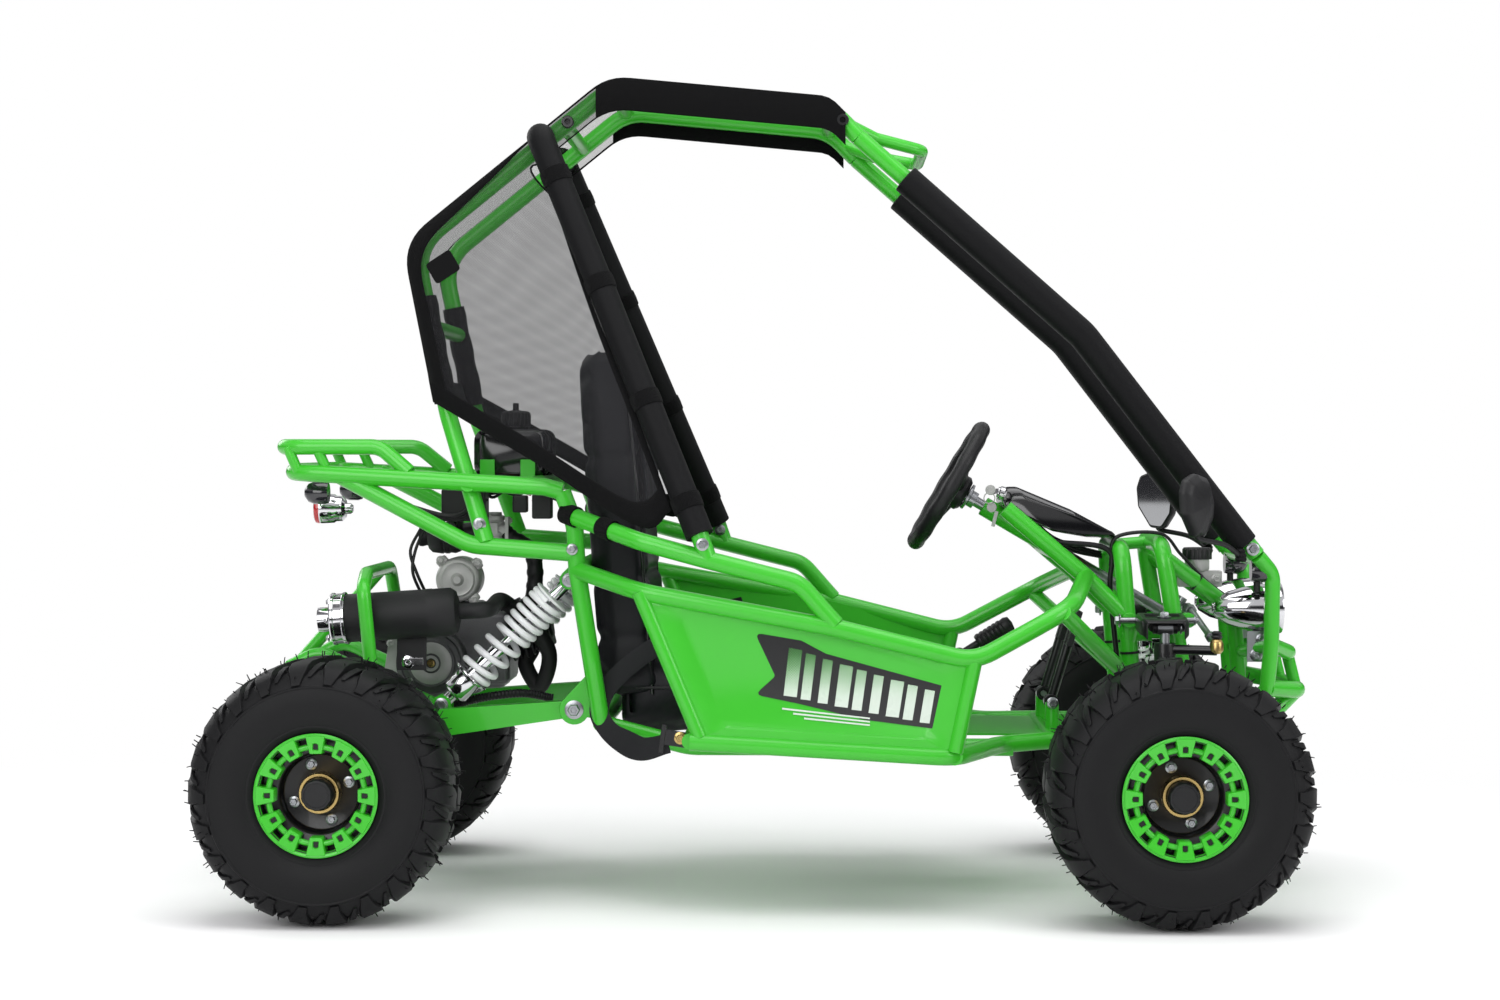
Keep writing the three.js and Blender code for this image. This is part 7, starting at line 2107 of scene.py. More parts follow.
    def chain(self, fitter: Fitter, hub: np.ndarray) -> None:
        """Adds the chain: plates on a belt-shaped loop about both sprockets."""
        small = at("crankcase") + xyz(0.02, 0, -0.035)
        far, near = hub + ACROSS * self.sprocket, small + ACROSS * self.sprocket
        way = unit(near - far)
        up = xyz(-way[2], 0, way[0])
        big_r, small_r = 0.0735, 0.024
        arc = np.linspace(math.pi / 2, math.pi * 1.5, 24)[:, None]
        big = far + big_r * (np.cos(arc) * way + np.sin(arc) * up)
        little = near + small_r * (np.cos(arc + math.pi) * way + np.sin(arc + math.pi) * up)
        loop = np.concatenate([big, little, big[:1]])
        gap = run_lengths(loop)
        count = int(gap[-1] / self.link) // 2 * 2
        places = resampled(loop, np.linspace(0, gap[-1], count, endpoint=False), gap)
        after = np.roll(places, -1, axis=0)
        middle, along = (places + after) / 2, unit_rows(after - places)
        square = np.cross(along, ACROSS)
        width = np.where(np.arange(count) % 2, 0.0032, 0.0048)[:, None, None]
        bars = []
        for step in (-0.0082, 0.0082):
            corners = [middle + along * step + square * k * 0.0040 + ACROSS * m * width[:, 0]
                       for k, m in ((-1, -1), (1, -1), (1, 1), (-1, 1))]
            bars.append(np.stack(corners, axis=1))
        fitter.add("drive_chain", "swing_arm", ZINC, boxes(np.stack(bars, axis=1)))
        fitter.add("drive_sprocket", "swing_arm", ZINC, rod(near - ACROSS * 0.003, ACROSS, 0.021,
                                                            0.006, 14))


@dataclass
class RearShock:
    """One coil-over: upper rod and seat, chrome body, and the white progressive spring."""

    side: Side
    spring_radius: float = 0.032
    wire: float = 0.0105

    def build(self, fitter: Fitter) -> None:
        """Adds the three parts on their bodies."""
        s, label = self.side.value, self.side.label
        top, foot = at("shockTop", s * SHOCK_HALF), at("shockFoot", s * SHOCK_HALF)
        length = float(np.linalg.norm(foot - top))
        way = (foot - top) / length

        def eye(place: np.ndarray) -> Shell:
            """A bored eye across the shock."""
            return turned(place - ACROSS * 0.011, ACROSS, [
                (0.0055, 0), (0.0115, 0), (0.012, 0.001), (0.012, 0.021), (0.0115, 0.022),
                (0.0055, 0.022)], 28)

        def part(start: float, rows: Sequence[tuple[float, float]]) -> Shell:
            """A turned part of the shock from a distance along it."""
            return turned(top + way * start, way, rows, 36)

        seat_top, seat_foot = length * 0.150, length * 0.765
        r = self.spring_radius
        upper = [eye(top), part(0.0096, [(0, 0), (0.007, 0), (0.007, length * 0.74 - 0.0096),
                                         (0, length * 0.74 - 0.0096)]),
                 part(0.0096, [(0, 0), (0.010, 0), (0.011, 0.004), (0.011, seat_top - 0.0096),
                               (0, seat_top - 0.0096)])]
        fitter.add(f"rear_shock_rod_{label}", f"rear_shock_upper_{label}", CHROME, upper,
                   [f"rear_shock_rod_{label}"], bevel=0.0006)
        fitter.add(f"rear_shock_seat_{label}", f"rear_shock_upper_{label}", WHITE,
                   part(seat_top - 0.005, [(0, 0), (0.020, 0), (r - 0.001, 0.001), (r, 0.003),
                                           (r - 0.002, 0.005), (0, 0.005)]))
        start = length * 0.52
        seat, end = seat_foot - start, length - start
        lower = [eye(foot),
                 part(start, [(0.0077, 0.001), (0.0115, 0), (0.0125, 0.002), (0.0125, seat),
                              (0.018, seat), (0.0225, seat + 0.006), (0.0225, end - 0.030),
                              (0.020, end - 0.026), (0.010, end - 0.022), (0.0098, end - 0.010),
                              (0.004, end - 0.009), (0.0077, end - 0.022)]),
                 part(seat_foot, [(0.012, 0), (r - 0.001, 0), (r, 0.002), (r - 0.001, 0.005),
                                  (0.012, 0.005)])]
        fitter.add(f"rear_shock_body_{label}", f"rear_shock_lower_{label}", CHROME, lower,
                   [f"rear_shock_body_{label}"], bevel=0.0006)
        start = top + way * (seat_top + self.wire / 2)
        spring = fitter.add(f"rear_spring_{label}", f"rear_shock_upper_{label}", WHITE,
                            coil(start, top + way * (seat_foot - self.wire / 2),
                                 r - self.wire / 2, self.wire, 6, 4, 0.47),
                            [f"rear_spring_{label}"])
        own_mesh(spring)


@dataclass
class Engine:
    """A small four stroke engine that lies forwards, with its intake, starter and covers."""

    length: float = 0.190
    width: float = 0.150
    height: float = 0.150
    head: float = 0.110
    fins: int = 7

    def fin(self, share: float, scale: float) -> Shell:
        """A rounded square fin across the cylinder, a share of the way from head to crankcase."""
        place = between(at("head"), at("crankcase"), share)
        way = unit(at("head") - at("crankcase"))
        half = self.head / 2 * scale
        corners = [half * xyz(0.9 * k, m, 0) for k, m in ((-1, -1), (1, -1), (1, 1), (-1, 1))]
        ring = rounded_ring(corners, 0.016, 5)[:, :2]
        return sweep(np.stack([place - way * 0.0016, place + way * 0.0016]), 1.0, ring,
                     normal=np.cross(way, ACROSS))

    def build(self, fitter: Fitter) -> None:
        """Adds the castings, the covers, the starter and the intake."""
        case = at("crankcase")
        w = self.width
        shells = [
            block(case, [self.length, w, self.height * 0.8]),
            block(case + xyz(-self.length * 0.1, 0, -0.002),
                  [self.length * 0.7, 0.110, self.height]),
            block(case + xyz(0.045, -0.012, -0.052), [0.085, 0.100, 0.030]),
            cross_tube("engineLug", CRADLE_HALF, ARM_TUBE * 0.9)]
        fitter.add("engine", "swing_arm", SHADED_CAST, shells, ["engine"], bevel=0.010)
        self.covers(fitter)
        fins = [self.fin(share, 1.0 - 0.04 * (i % 2)) for i, share in
                enumerate(np.linspace(0.02, 0.50, self.fins))]
        barrel_way = unit(at("head") - case)
        barrel = sweep(np.stack([case, at("head") - barrel_way * 0.004]), 0.0385, circle(28))
        cover = joined([block(at("head") + barrel_way * 0.004, [0.026, 0.092, 0.084], -0.25),
                        turned(at("head") + barrel_way * 0.014, barrel_way, [
                            (0, 0), (0.030, 0), (0.028, 0.007), (0, 0.009)], 28)])
        fitter.add("cylinder", "swing_arm", DARK_CAST_AND_SHADE, [barrel, *fins], bevel=0.0008)
        fitter.add("head_cover", "swing_arm", DARK_CAST_AND_SHADE, cover, bevel=0.005)
        nuts = [bolt(at("head") + barrel_way * 0.016 + ACROSS * y * 0.040 + UPWARD * z * 0.030,
                     barrel_way, 0.012) for y in (-1, 1) for z in (-1, 1)]
        fitter.add("head_nuts", "swing_arm", ZINC, nuts)
        self.intake(fitter)

    def covers(self, fitter: Fitter) -> None:
        """Adds the ringed flywheel cover, the clutch cover, and the starter with its ears."""
        w = self.width
        place = at("flywheel", -w * 0.4)
        face = w * 0.22
        rows = [(0, 0), (0.059, 0), *[(radius, face - sunk) for radius, sunk in (
            (0.059, 0.010), (0.0575, 0.005), (0.0545, 0.002), (0.0500, 0.002), (0.0480, 0.006),
            (0.0400, 0.004), (0.0385, 0.001), (0.0290, 0.001), (0.0270, 0.005), (0.0210, 0.005),
            (0.0195, 0.001), (0.0130, 0), (0.0100, 0.003), (0, 0.003))]]
        shells = [turned(place, -ACROSS, rows, 72),
                  turned(at("flywheel", w * 0.4), ACROSS, [
                      (0, 0), (0.0472, 0), (0.0472, 0.022), (0.044, 0.028), (0.020, 0.030),
                      (0, 0.030)], 56)]
        fitter.add("flywheel_cover", "swing_arm", SHADED_CAST, shells, bevel=0.0008)
        fitter.add("flywheel_disc", "swing_arm", SATIN, [
            turned(place - ACROSS * (face - 0.0030), -ACROSS, [
                (0.0165, 0), (0.0345, 0), (0.0345, 0.0036), (0.0325, 0.0046), (0.0185, 0.0046),
                (0.0165, 0.0036)], 56),
            rod(place - ACROSS * (face - 0.0040), -ACROSS, 0.0130, 0.0056, 40, bore=0.0085)])
        fitter.add("flywheel_nut", "swing_arm", BRASS, bolt(
            place - ACROSS * (face - 0.003), -ACROSS, 0.0085))
        side_cover = at("crankcase") + xyz(-0.080, -w / 2, -0.020)
        fitter.add("side_cover", "swing_arm", SATIN, [
            block(side_cover, [0.052, 0.020, 0.074], 0.15),
            *[bolt(side_cover + xyz(dx, -0.010, dz), -ACROSS, 0.008)
              for dx in (-0.019, 0.019) for dz in (-0.029, 0.029)]], bevel=0.005)
        start = at("starter", 0.015)
        fitter.add("starter", "swing_arm", SATIN, [
            turned(start, -ACROSS, [(0, 0), (0.034, 0), (0.037, 0.004), (0.037, 0.060),
                                    (0.033, 0.066), (0.0300, 0.067), (0, 0.067)], 56),
            *[block(start + xyz(0.037 * math.cos(t), -0.056, 0.037 * math.sin(t)),
                    [0.020, 0.010, 0.020], -t) for t in (0.7, 2.3, 4.1, 5.4)]], bevel=0.004)
        fitter.add("starter_face", "swing_arm", SATIN, [
            turned(start - ACROSS * 0.066, -ACROSS, [
                (0, 0), (0.0285, 0), (0.0285, 0.0030), (0.0262, 0.0050), (0.0240, 0.0042),
                (0.0150, 0.0060), (0.0110, 0.0060), (0.0090, 0.0080), (0.0060, 0.0120),
                (0, 0.0120)], 48),
            *[bolt(start + xyz(0.043 * math.cos(t), -0.061, 0.043 * math.sin(t)), -ACROSS,
                   0.010) for t in (0.7, 2.3, 4.1, 5.4)]])

    def intake(self, fitter: Fitter) -> None:
        """Adds the rubber elbow, the carburettor and the air filter with its snout."""
        y = -self.width * 0.2
        port = at("headPort", -self.head * 0.2, at("head")[2] + self.head * 0.3)
        carb, filt = at("carb", y), at("filter", y)
        bend = smooth([port, between(port, at("intakeBend", y), 0.5) + FORWARD * 0.004,
                       at("intakeBend", y) + xyz(-0.004, 0, -0.004),
                       between(at("intakeBend", y), carb, 0.55), carb + FORWARD * 0.014], 10)
        fitter.add("intake_elbow", "swing_arm", PLASTIC, [
            sweep(bend, 0.013 + 0.0012 * (np.sin(np.arange(len(bend)) * 1.25) > 0.55), circle(24),
                  normal=ACROSS)])
        shells = [turned(carb - UPWARD * 0.030, UPWARD, [
            (0, 0), (0.013, 0), (0.0165, 0.004), (0.0165, 0.020), (0.0185, 0.021),
            (0.0185, 0.027), (0.0150, 0.029), (0.0150, 0.046), (0.0165, 0.047), (0.0165, 0.054),
            (0.0120, 0.055), (0.0115, 0.060), (0, 0.060)], 32),
            tube([carb - FORWARD * 0.026, carb + FORWARD * 0.024], 0.029, sides=28),
            block(carb + xyz(0.021, 0, 0), [0.006, 0.030, 0.044]),
            block(carb + xyz(0, -0.015, 0.004), [0.014, 0.010, 0.018])]
        for z in (-0.016, 0.016):
            shells.append(bolt(carb + xyz(0.024, 0, z), FORWARD, 0.009))
        fitter.add("carburettor", "swing_arm", SATIN, shells, bevel=0.0010)
        end = filt - FORWARD * 0.0297
        start = between(filt, carb, 0.35)
        reach = float(start[0] - end[0])
        fitter.add("air_filter", "swing_arm", PLASTIC, [
            tube([carb - FORWARD * 0.020, start - FORWARD * 0.008], 0.031, sides=28),
            turned(start, end - start, [
                (0, 0), (0.020, 0), (0.030, 0.005), (0.033, 0.014), (0.0315, 0.022),
                (0.033, 0.024), (0.033, 0.030), (0.0310, 0.032), (0.033, reach * 0.60),
                (0.0300, reach - 0.006), (0.0240, reach), (0, reach)], 48),
            turned(end + FORWARD * 0.012, xyz(-1, 0, 0.06), [
                (0.0130, 0), (0.0200, 0), (0.0190, 0.014), (0.0210, 0.020), (0.0210, 0.026),
                (0.0165, 0.026), (0.0160, 0.004), (0.0130, 0.002)], 36)], bevel=0.001)
        cap = turned(start - FORWARD * 0.018 + xyz(0, -0.020, 0.012), -ACROSS, [
            (0, 0), (0.012, 0), (0.012, 0.010), (0.009, 0.014), (0, 0.014)], 24)
        fitter.add("breather_cap", "swing_arm", GLOSS, cap)


@dataclass
class Exhaust:
    """The muffler with its chrome end, and the header pipe that loops under the cylinder."""

    y: float = -0.2025
    radius: float = 0.039
    pipe: float = 0.026

    def build(self, fitter: Fitter) -> None:
        """Adds the can, the pipe, the bracket and the chrome parts."""
        rear, front = at("mufflerRear", self.y), at("mufflerFront", self.y)
        way = unit(front - rear)
        reach = float(np.linalg.norm(front - rear))
        r = self.radius
        can = turned(rear, way, [(0, 0), (r - 0.002, 0), (r - 0.0005, 0.003), (r - 0.0005, 0.150),
                                 (r, 0.152), (r, 0.160), (r - 0.0005, 0.162),
                                 (r - 0.0005, reach - 0.012), (r - 0.006, reach - 0.004),
                                 (0.020, reach), (0, reach)], 64)
        header = smooth([front - way * 0.01, front + way * 0.045,
                         at("headerBend", -0.093), at("headerDrop", -0.063),
                         at("headerLow", -0.045) + xyz(-0.006, 0, -0.008),
                         between(at("headerLow", -0.045), at("headPort", -0.022), 0.5)
                         - FORWARD * 0.020, at("headPort", -0.022)], 12)
        bracket = between(rear, front, 0.62) + xyz(0, 0.1 * r, -r * 1.5)
        fitter.add("muffler", "swing_arm", HEAT, [
            can, sweep(header, self.pipe / 2, circle(24), normal=ACROSS),
            block(bracket, [0.047, 0.005, 0.062])], ["muffler"], bevel=0.0012)
        end = rear - way * 0.019
        tail_reach = float(np.linalg.norm(rear - end))
        ring = [(0.0340, -0.001), *[(r + lift, place) for lift, place in (
            (0.0010, -0.001), (0.0030, 0.001), (0.0026, 0.005), (0.0012, 0.006), (0.0012, 0.018),
            (0.0026, 0.019), (0.0030, 0.023), (0.0005, 0.024))], (0.0340, 0.024)]
        tip = [(0.0165, -0.004), (0.0195, -0.004), (0.0200, 0.002), (0.0195, tail_reach - 0.004),
               (0.0270, tail_reach - 0.003), (0.0360, tail_reach + 0.001),
               (0.0360, tail_reach + 0.004), (0.0165, tail_reach + 0.004)]
        bolts = []
        for turn in around(6):
            spot = rear + (r - 0.006) * (math.cos(turn) * ACROSS + math.sin(turn) * UPWARD)
            bolts.append(bolt(spot - way * 0.004, -way, 0.008))
        bolts.append(bolt(bracket + xyz(-0.006, -0.0025, -0.018), -ACROSS, 0.014))
        bolts.append(block(bracket + xyz(0.008, -0.0032, -0.017), [0.022, 0.003, 0.011]))
        fitter.add("muffler_chrome", "swing_arm", CHROME, [
            turned(rear, way, ring, 64), turned(end, way, tip, 48), *bolts], bevel=0.0005)
        fitter.add("tailpipe_bore", "swing_arm", HEAT, rod(end + way * 0.006, -way, 0.0168, 0.004,
                                                           32))


def cushion_shell(length: float, width: float, height: float, corner: float,
                  pull: float = 0.05) -> Shell:
    """A pad along X: rounded rectangles that shrink over both ends, where the half sizes lose
    corner x (1 - sine), and whose sides pull in between the ends.

    Args:
        length: size along X.
        width: size along Y.
        height: size along Z.
        corner: radius of its edges.
        pull: share by which the sides draw in at the middle.

    Returns:
        The shell.
    """
    box = [np.array([k * width / 2, m * height / 2])
           for k, m in ((1, 1), (-1, 1), (-1, -1), (1, -1))]
    outline = np.array([between(a, b, k) for a, b in zip(box, [*box[1:], box[0]])
                        for k in np.linspace(0, 1, 14, endpoint=False)])
    inner = np.clip(outline, [-width / 2 + corner, -height / 2 + corner],
                    [width / 2 - corner, height / 2 - corner])
    off = outline - inner
    size = np.linalg.norm(off, axis=1, keepdims=True)
    outline = inner + off / np.maximum(size, 1e-9) * np.minimum(size, corner)
    bend = np.linspace(0, math.pi / 2, 6)
    middle = np.linspace(-length / 2 + corner, length / 2 - corner, 26)
    x = np.concatenate([-length / 2 + corner * (1 - np.sin(bend))[:-1], middle,
                        (length / 2 - corner * (1 - np.sin(bend)))[::-1][1:]])
    share = np.clip((length / 2 - np.abs(x)) / corner, 0, 1)
    loss = corner * (1 - np.sqrt(np.clip(1 - (1 - share) ** 2, 0, 1)))
    narrow = 1 - pull * np.cos(math.pi * x / length) ** 2
    grid = np.empty((len(x), len(outline), 3))
    grid[:, :, 0] = x[:, None]
    grid[:, :, 1] = outline[None, :, 0] * ((1 - 2 * loss / width) * narrow)[:, None]
    grid[:, :, 2] = outline[None, :, 1] * (1 - 2 * loss / height)[:, None]
    return capped(grid)


def swollen(shell: Shell, voxel: float, cap: float) -> Shell:
    """Swells a pad by cloth simulation: the even skin takes inner pressure for PAD_FRAMES frames,
    and no point moves farther than the cap.

    Args:
        shell: the slack pad.
        voxel: size of the even skin's cells.
        cap: the farthest that a point may move.

    Returns:
        The swollen shell.
    """
    mesh = bpy.data.meshes.new("slack_pad")
    mesh.from_pydata(shell.points.tolist(), [], shell.quads.tolist() + shell.others)
    pad = bpy.data.objects.new("slack_pad", mesh)
    scene = bpy.context.scene
    scene.collection.objects.link(pad)
    even = pad.modifiers.new("even", "REMESH")
    even.mode = "VOXEL"
    even.voxel_size = voxel
    graph = bpy.context.evaluated_depsgraph_get()
    skin = bpy.data.meshes.new_from_object(pad.evaluated_get(graph))
    pad.modifiers.clear()
    pad.data = skin
    cloth = pad.modifiers.new("cloth", "CLOTH")
    cloth.settings.use_pressure = True
    cloth.settings.uniform_pressure_force = PAD_PRESSURE
    cloth.settings.effector_weights.gravity = 0
    for step in range(PAD_FRAMES):
        scene.frame_set(step + 1)
    graph = bpy.context.evaluated_depsgraph_get()
    after = pad.evaluated_get(graph).to_mesh()
    count = len(skin.vertices)
    start, end = np.empty(count * 3, np.float32), np.empty(count * 3, np.float32)
    skin.vertices.foreach_get("co", start)
    after.vertices.foreach_get("co", end)
    start, end = start.reshape(-1, 3).astype(float), end.reshape(-1, 3).astype(float)
    faces = [list(face.vertices) for face in skin.polygons]
    scene.frame_set(1)
    bpy.data.objects.remove(pad)
    step = end - start
    size = np.linalg.norm(step, axis=1, keepdims=True)
    points = start + step / np.maximum(size, 1e-9) * np.minimum(size, cap)
    return Shell(points, np.zeros((0, 4), int), faces)


@dataclass
class Seat:
    """Base and back cushions with sewn channels, piping, the mesh upper and the lap belt."""

    width: float = 0.400
    back_thickness: float = 0.074
    base_height: float = 0.150
    crown: float = 0.026
    floor: float = 0.267
    swell: float = 0.010
    voxel: float = 0.006
    channel: float = 0.009
    lap_route: tuple[tuple[float, float, float], ...] = (
        (-0.045, 0.125, 0.456), (-0.115, 0.178, 0.436), (-0.190, 0.206, 0.400),
        (-0.246, 0.220, 0.352), (-0.264, 0.232, 0.312), (-0.250, 0.246, 0.282),
        (-0.222, 0.268, 0.264), (-0.190, 0.296, 0.256), (-0.150, 0.330, 0.268))

    def back_place(self, local: np.ndarray) -> np.ndarray:
        """Carries the back pad to its lean: its waist narrows towards the top and its bolsters
        stand forwards at both sides.

        Args:
            local: points with X up the back, Y across and Z forwards.

        Returns:
            The points in the row frame.
        """
        foot, top = at("seatFoot"), at("seatTop")
        height = top[2] - foot[2]
        rise = local[:, 0] / height + 0.5
        waist = 1 - 0.42 * np.clip(rise - 0.62, 0, 1) / 0.38
        v = np.clip(local[:, 1] / (self.width / 2), -1, 1)
        bolster = np.where(local[:, 2] > 0, self.crown * 1.6 * v ** 4
                           * np.clip(1.6 - rise, 0, 1), 0)
        up = unit(top - foot)
        forwards = xyz(up[2], 0, -up[0])
        middle = between(foot, top, 0.5) + FORWARD * (self.back_thickness / 2 - MAIN_TUBE * 0.4)
        return (middle + local[:, :1] * up + (local[:, 1] * waist)[:, None] * ACROSS
                + (local[:, 2] + bolster)[:, None] * forwards)

    def channels(self, shell: Shell, spots: Sequence[float], length: float,
                 depth: float) -> Shell:
        """Sinks sewn channels across a pad: each takes depth x a bell curve off its height.

        Args:
            shell: the pad.
            spots: the channels' places, as shares of half the length.
            length: the pad's length.
            depth: share of the height that a channel takes.

        Returns:
            The pad with its channels.
        """
        x = shell.points[:, 0]
        sunk = sum(np.exp(-((x - spot * length / 2) / self.channel) ** 2) for spot in spots)
        points = shell.points.copy()
        points[:, 2] *= 1 - depth * np.clip(sunk, 0, 1)
        points[:, 1] *= 1 - depth * 0.12 * np.clip(sunk, 0, 1)
        return Shell(points, shell.quads, shell.others)

    def build(self, fitter: Fitter) -> None:
        """Adds both cushions, the mesh upper, the piping and the belt."""
        foot, top = at("seatFoot"), at("seatTop")
        height = float(top[2] - foot[2])
        slack = cushion_shell(height - self.swell, self.width - self.swell,
                              self.back_thickness - self.swell, 0.030)
        pad = self.channels(swollen(slack, self.voxel, self.swell),
                            (-0.62, -0.30, 0.02, 0.36), height, 0.16)
        back = Shell(self.back_place(pad.points), pad.quads, pad.others)
        piece = fitter.add("seat_back", "chassis", VINYL, back, ["seat_back"], smooth_turn=60,
                           subdivide=1)
        front, rear = float(at("seatBaseFront")[0]), float(foot[0])
        length = front - rear
        slack = cushion_shell(length - self.swell, self.width - MAIN_TUBE - self.swell,
                              self.base_height - self.swell, 0.034, 0.04)
        pad = self.channels(swollen(slack, self.voxel, self.swell), (-0.2, 0.2, 0.6), length, 0.06)
        u, v = np.clip(np.abs(pad.points[:, :2]) / [length / 2, self.width / 2], 0, 1).T
        lift = self.crown * (1 - u ** 2) * (1 - v ** 2)
        points = pad.points + [(front + rear) / 2, 0, self.floor + self.base_height / 2]
        points[:, 2] += np.where(pad.points[:, 2] > 0, lift, 0)
        points[:, 2] = np.maximum(points[:, 2], self.floor)
        base = Shell(points, pad.quads, pad.others)
        piece = fitter.add("seat_base", "chassis", VINYL, base, ["seat_base"], smooth_turn=60,
                           subdivide=1)
        self.trim(fitter, height)
        self.belt(fitter)

    def trim(self, fitter: Fitter, height: float) -> None:
        """Adds the mesh upper over the top of the back, and piping along both cushions."""
        rise = np.linspace(-0.02, 0.455, 26)[:, None] * height
        v = np.linspace(-0.86, 0.86, 25)[None, :]
        local = np.stack(np.broadcast_arrays(
            rise, v * self.width / 2,
            self.back_thickness / 2 * (1 - 0.10 * v ** 4) + 0.0015
            - 0.012 * np.clip((rise / height - 0.40) / 0.08, 0, 1) ** 2), axis=-1)
        points = self.back_place(local.reshape(-1, 3)).reshape(local.shape)
        fitter.add("seat_mesh", "chassis", SEAT_MESH,
                   grid_shell(points, uv=local[:, :, [1, 0]]), thickness=0.002)
        shells = []
        for k in (-1, 1):
            u = np.linspace(-0.47, 0.465, 40)
            edge = np.stack([u * height, np.full(40, k * (self.width / 2 - 0.018)),
                             np.full(40, self.back_thickness / 2 - 0.022)], axis=1)
            shells.append(sweep(self.back_place(edge), 0.0028, circle(10)))
            x = np.linspace(at("seatFoot")[0] + 0.03, at("seatBaseFront")[0] - 0.02, 16)
            edge = np.stack([x, np.full(16, k * (self.width / 2 - 0.0150)),
                             np.full(16, self.floor + self.base_height * 0.86)], axis=1)
            shells.append(sweep(edge, 0.0026, circle(10)))
        fitter.add("seat_piping", "chassis", GLOSS, shells)
        zips = []
        for k in (-1, 1):
            x = np.linspace(at("seatFoot")[0] + 0.04, at("seatBaseFront")[0] - 0.03, 60)
            level = self.floor + self.base_height * 0.50
            route = np.stack([x, np.full(60, k * (self.width / 2 - 0.0165)),
                              np.full(60, level)], axis=1)
            zips.append(sweep(route, 0.0022 + 0.0007 * (np.arange(60) % 2), circle(8)))
        fitter.add("seat_zips", "chassis", PLASTIC, zips)

    def belt(self, fitter: Fitter) -> None:
        """Adds the lap belt's webbing on both sides, its loops under the rail and its plates."""
        strap = circle(14) * [0.0155, 0.0014]
        for side in Side:
            s = side.value
            lap = smooth([[x, s * y, z] for x, y, z in self.lap_route], 9)
            spot = np.linspace(0, 1, len(lap))
            wide = 1.0 + 0.30 * np.sin(math.pi * np.clip((spot - 0.6) / 0.4, 0, 1)) ** 2
            fitter.add(f"lap_belt_{side.label}", "chassis", WEBBING,
                       sweep(lap, wide, strap[:, ::-1], normal=ACROSS))
            plate_place = xyz(-0.138, s * 0.334, 0.276)
            fitter.add(f"belt_plate_{side.label}", "chassis", BLACK_PAINT, [
                block(plate_place, [0.040, 0.004, 0.024], 0.15),
                block(plate_place - FORWARD * 0.020, [0.008, 0.006, 0.044], 0.15)], bevel=0.0012)
            fitter.add(f"belt_bolt_{side.label}", "chassis", BRASS,
                       bolt(plate_place + xyz(0.008, s * 0.002, 0.001), ACROSS * s, 0.013))
        buckle = xyz(-0.045, -0.100, 0.458)
        fitter.add("belt_buckle", "chassis", PLASTIC, block(buckle, [0.055, 0.062, 0.018], 0.2),
                   bevel=0.004)


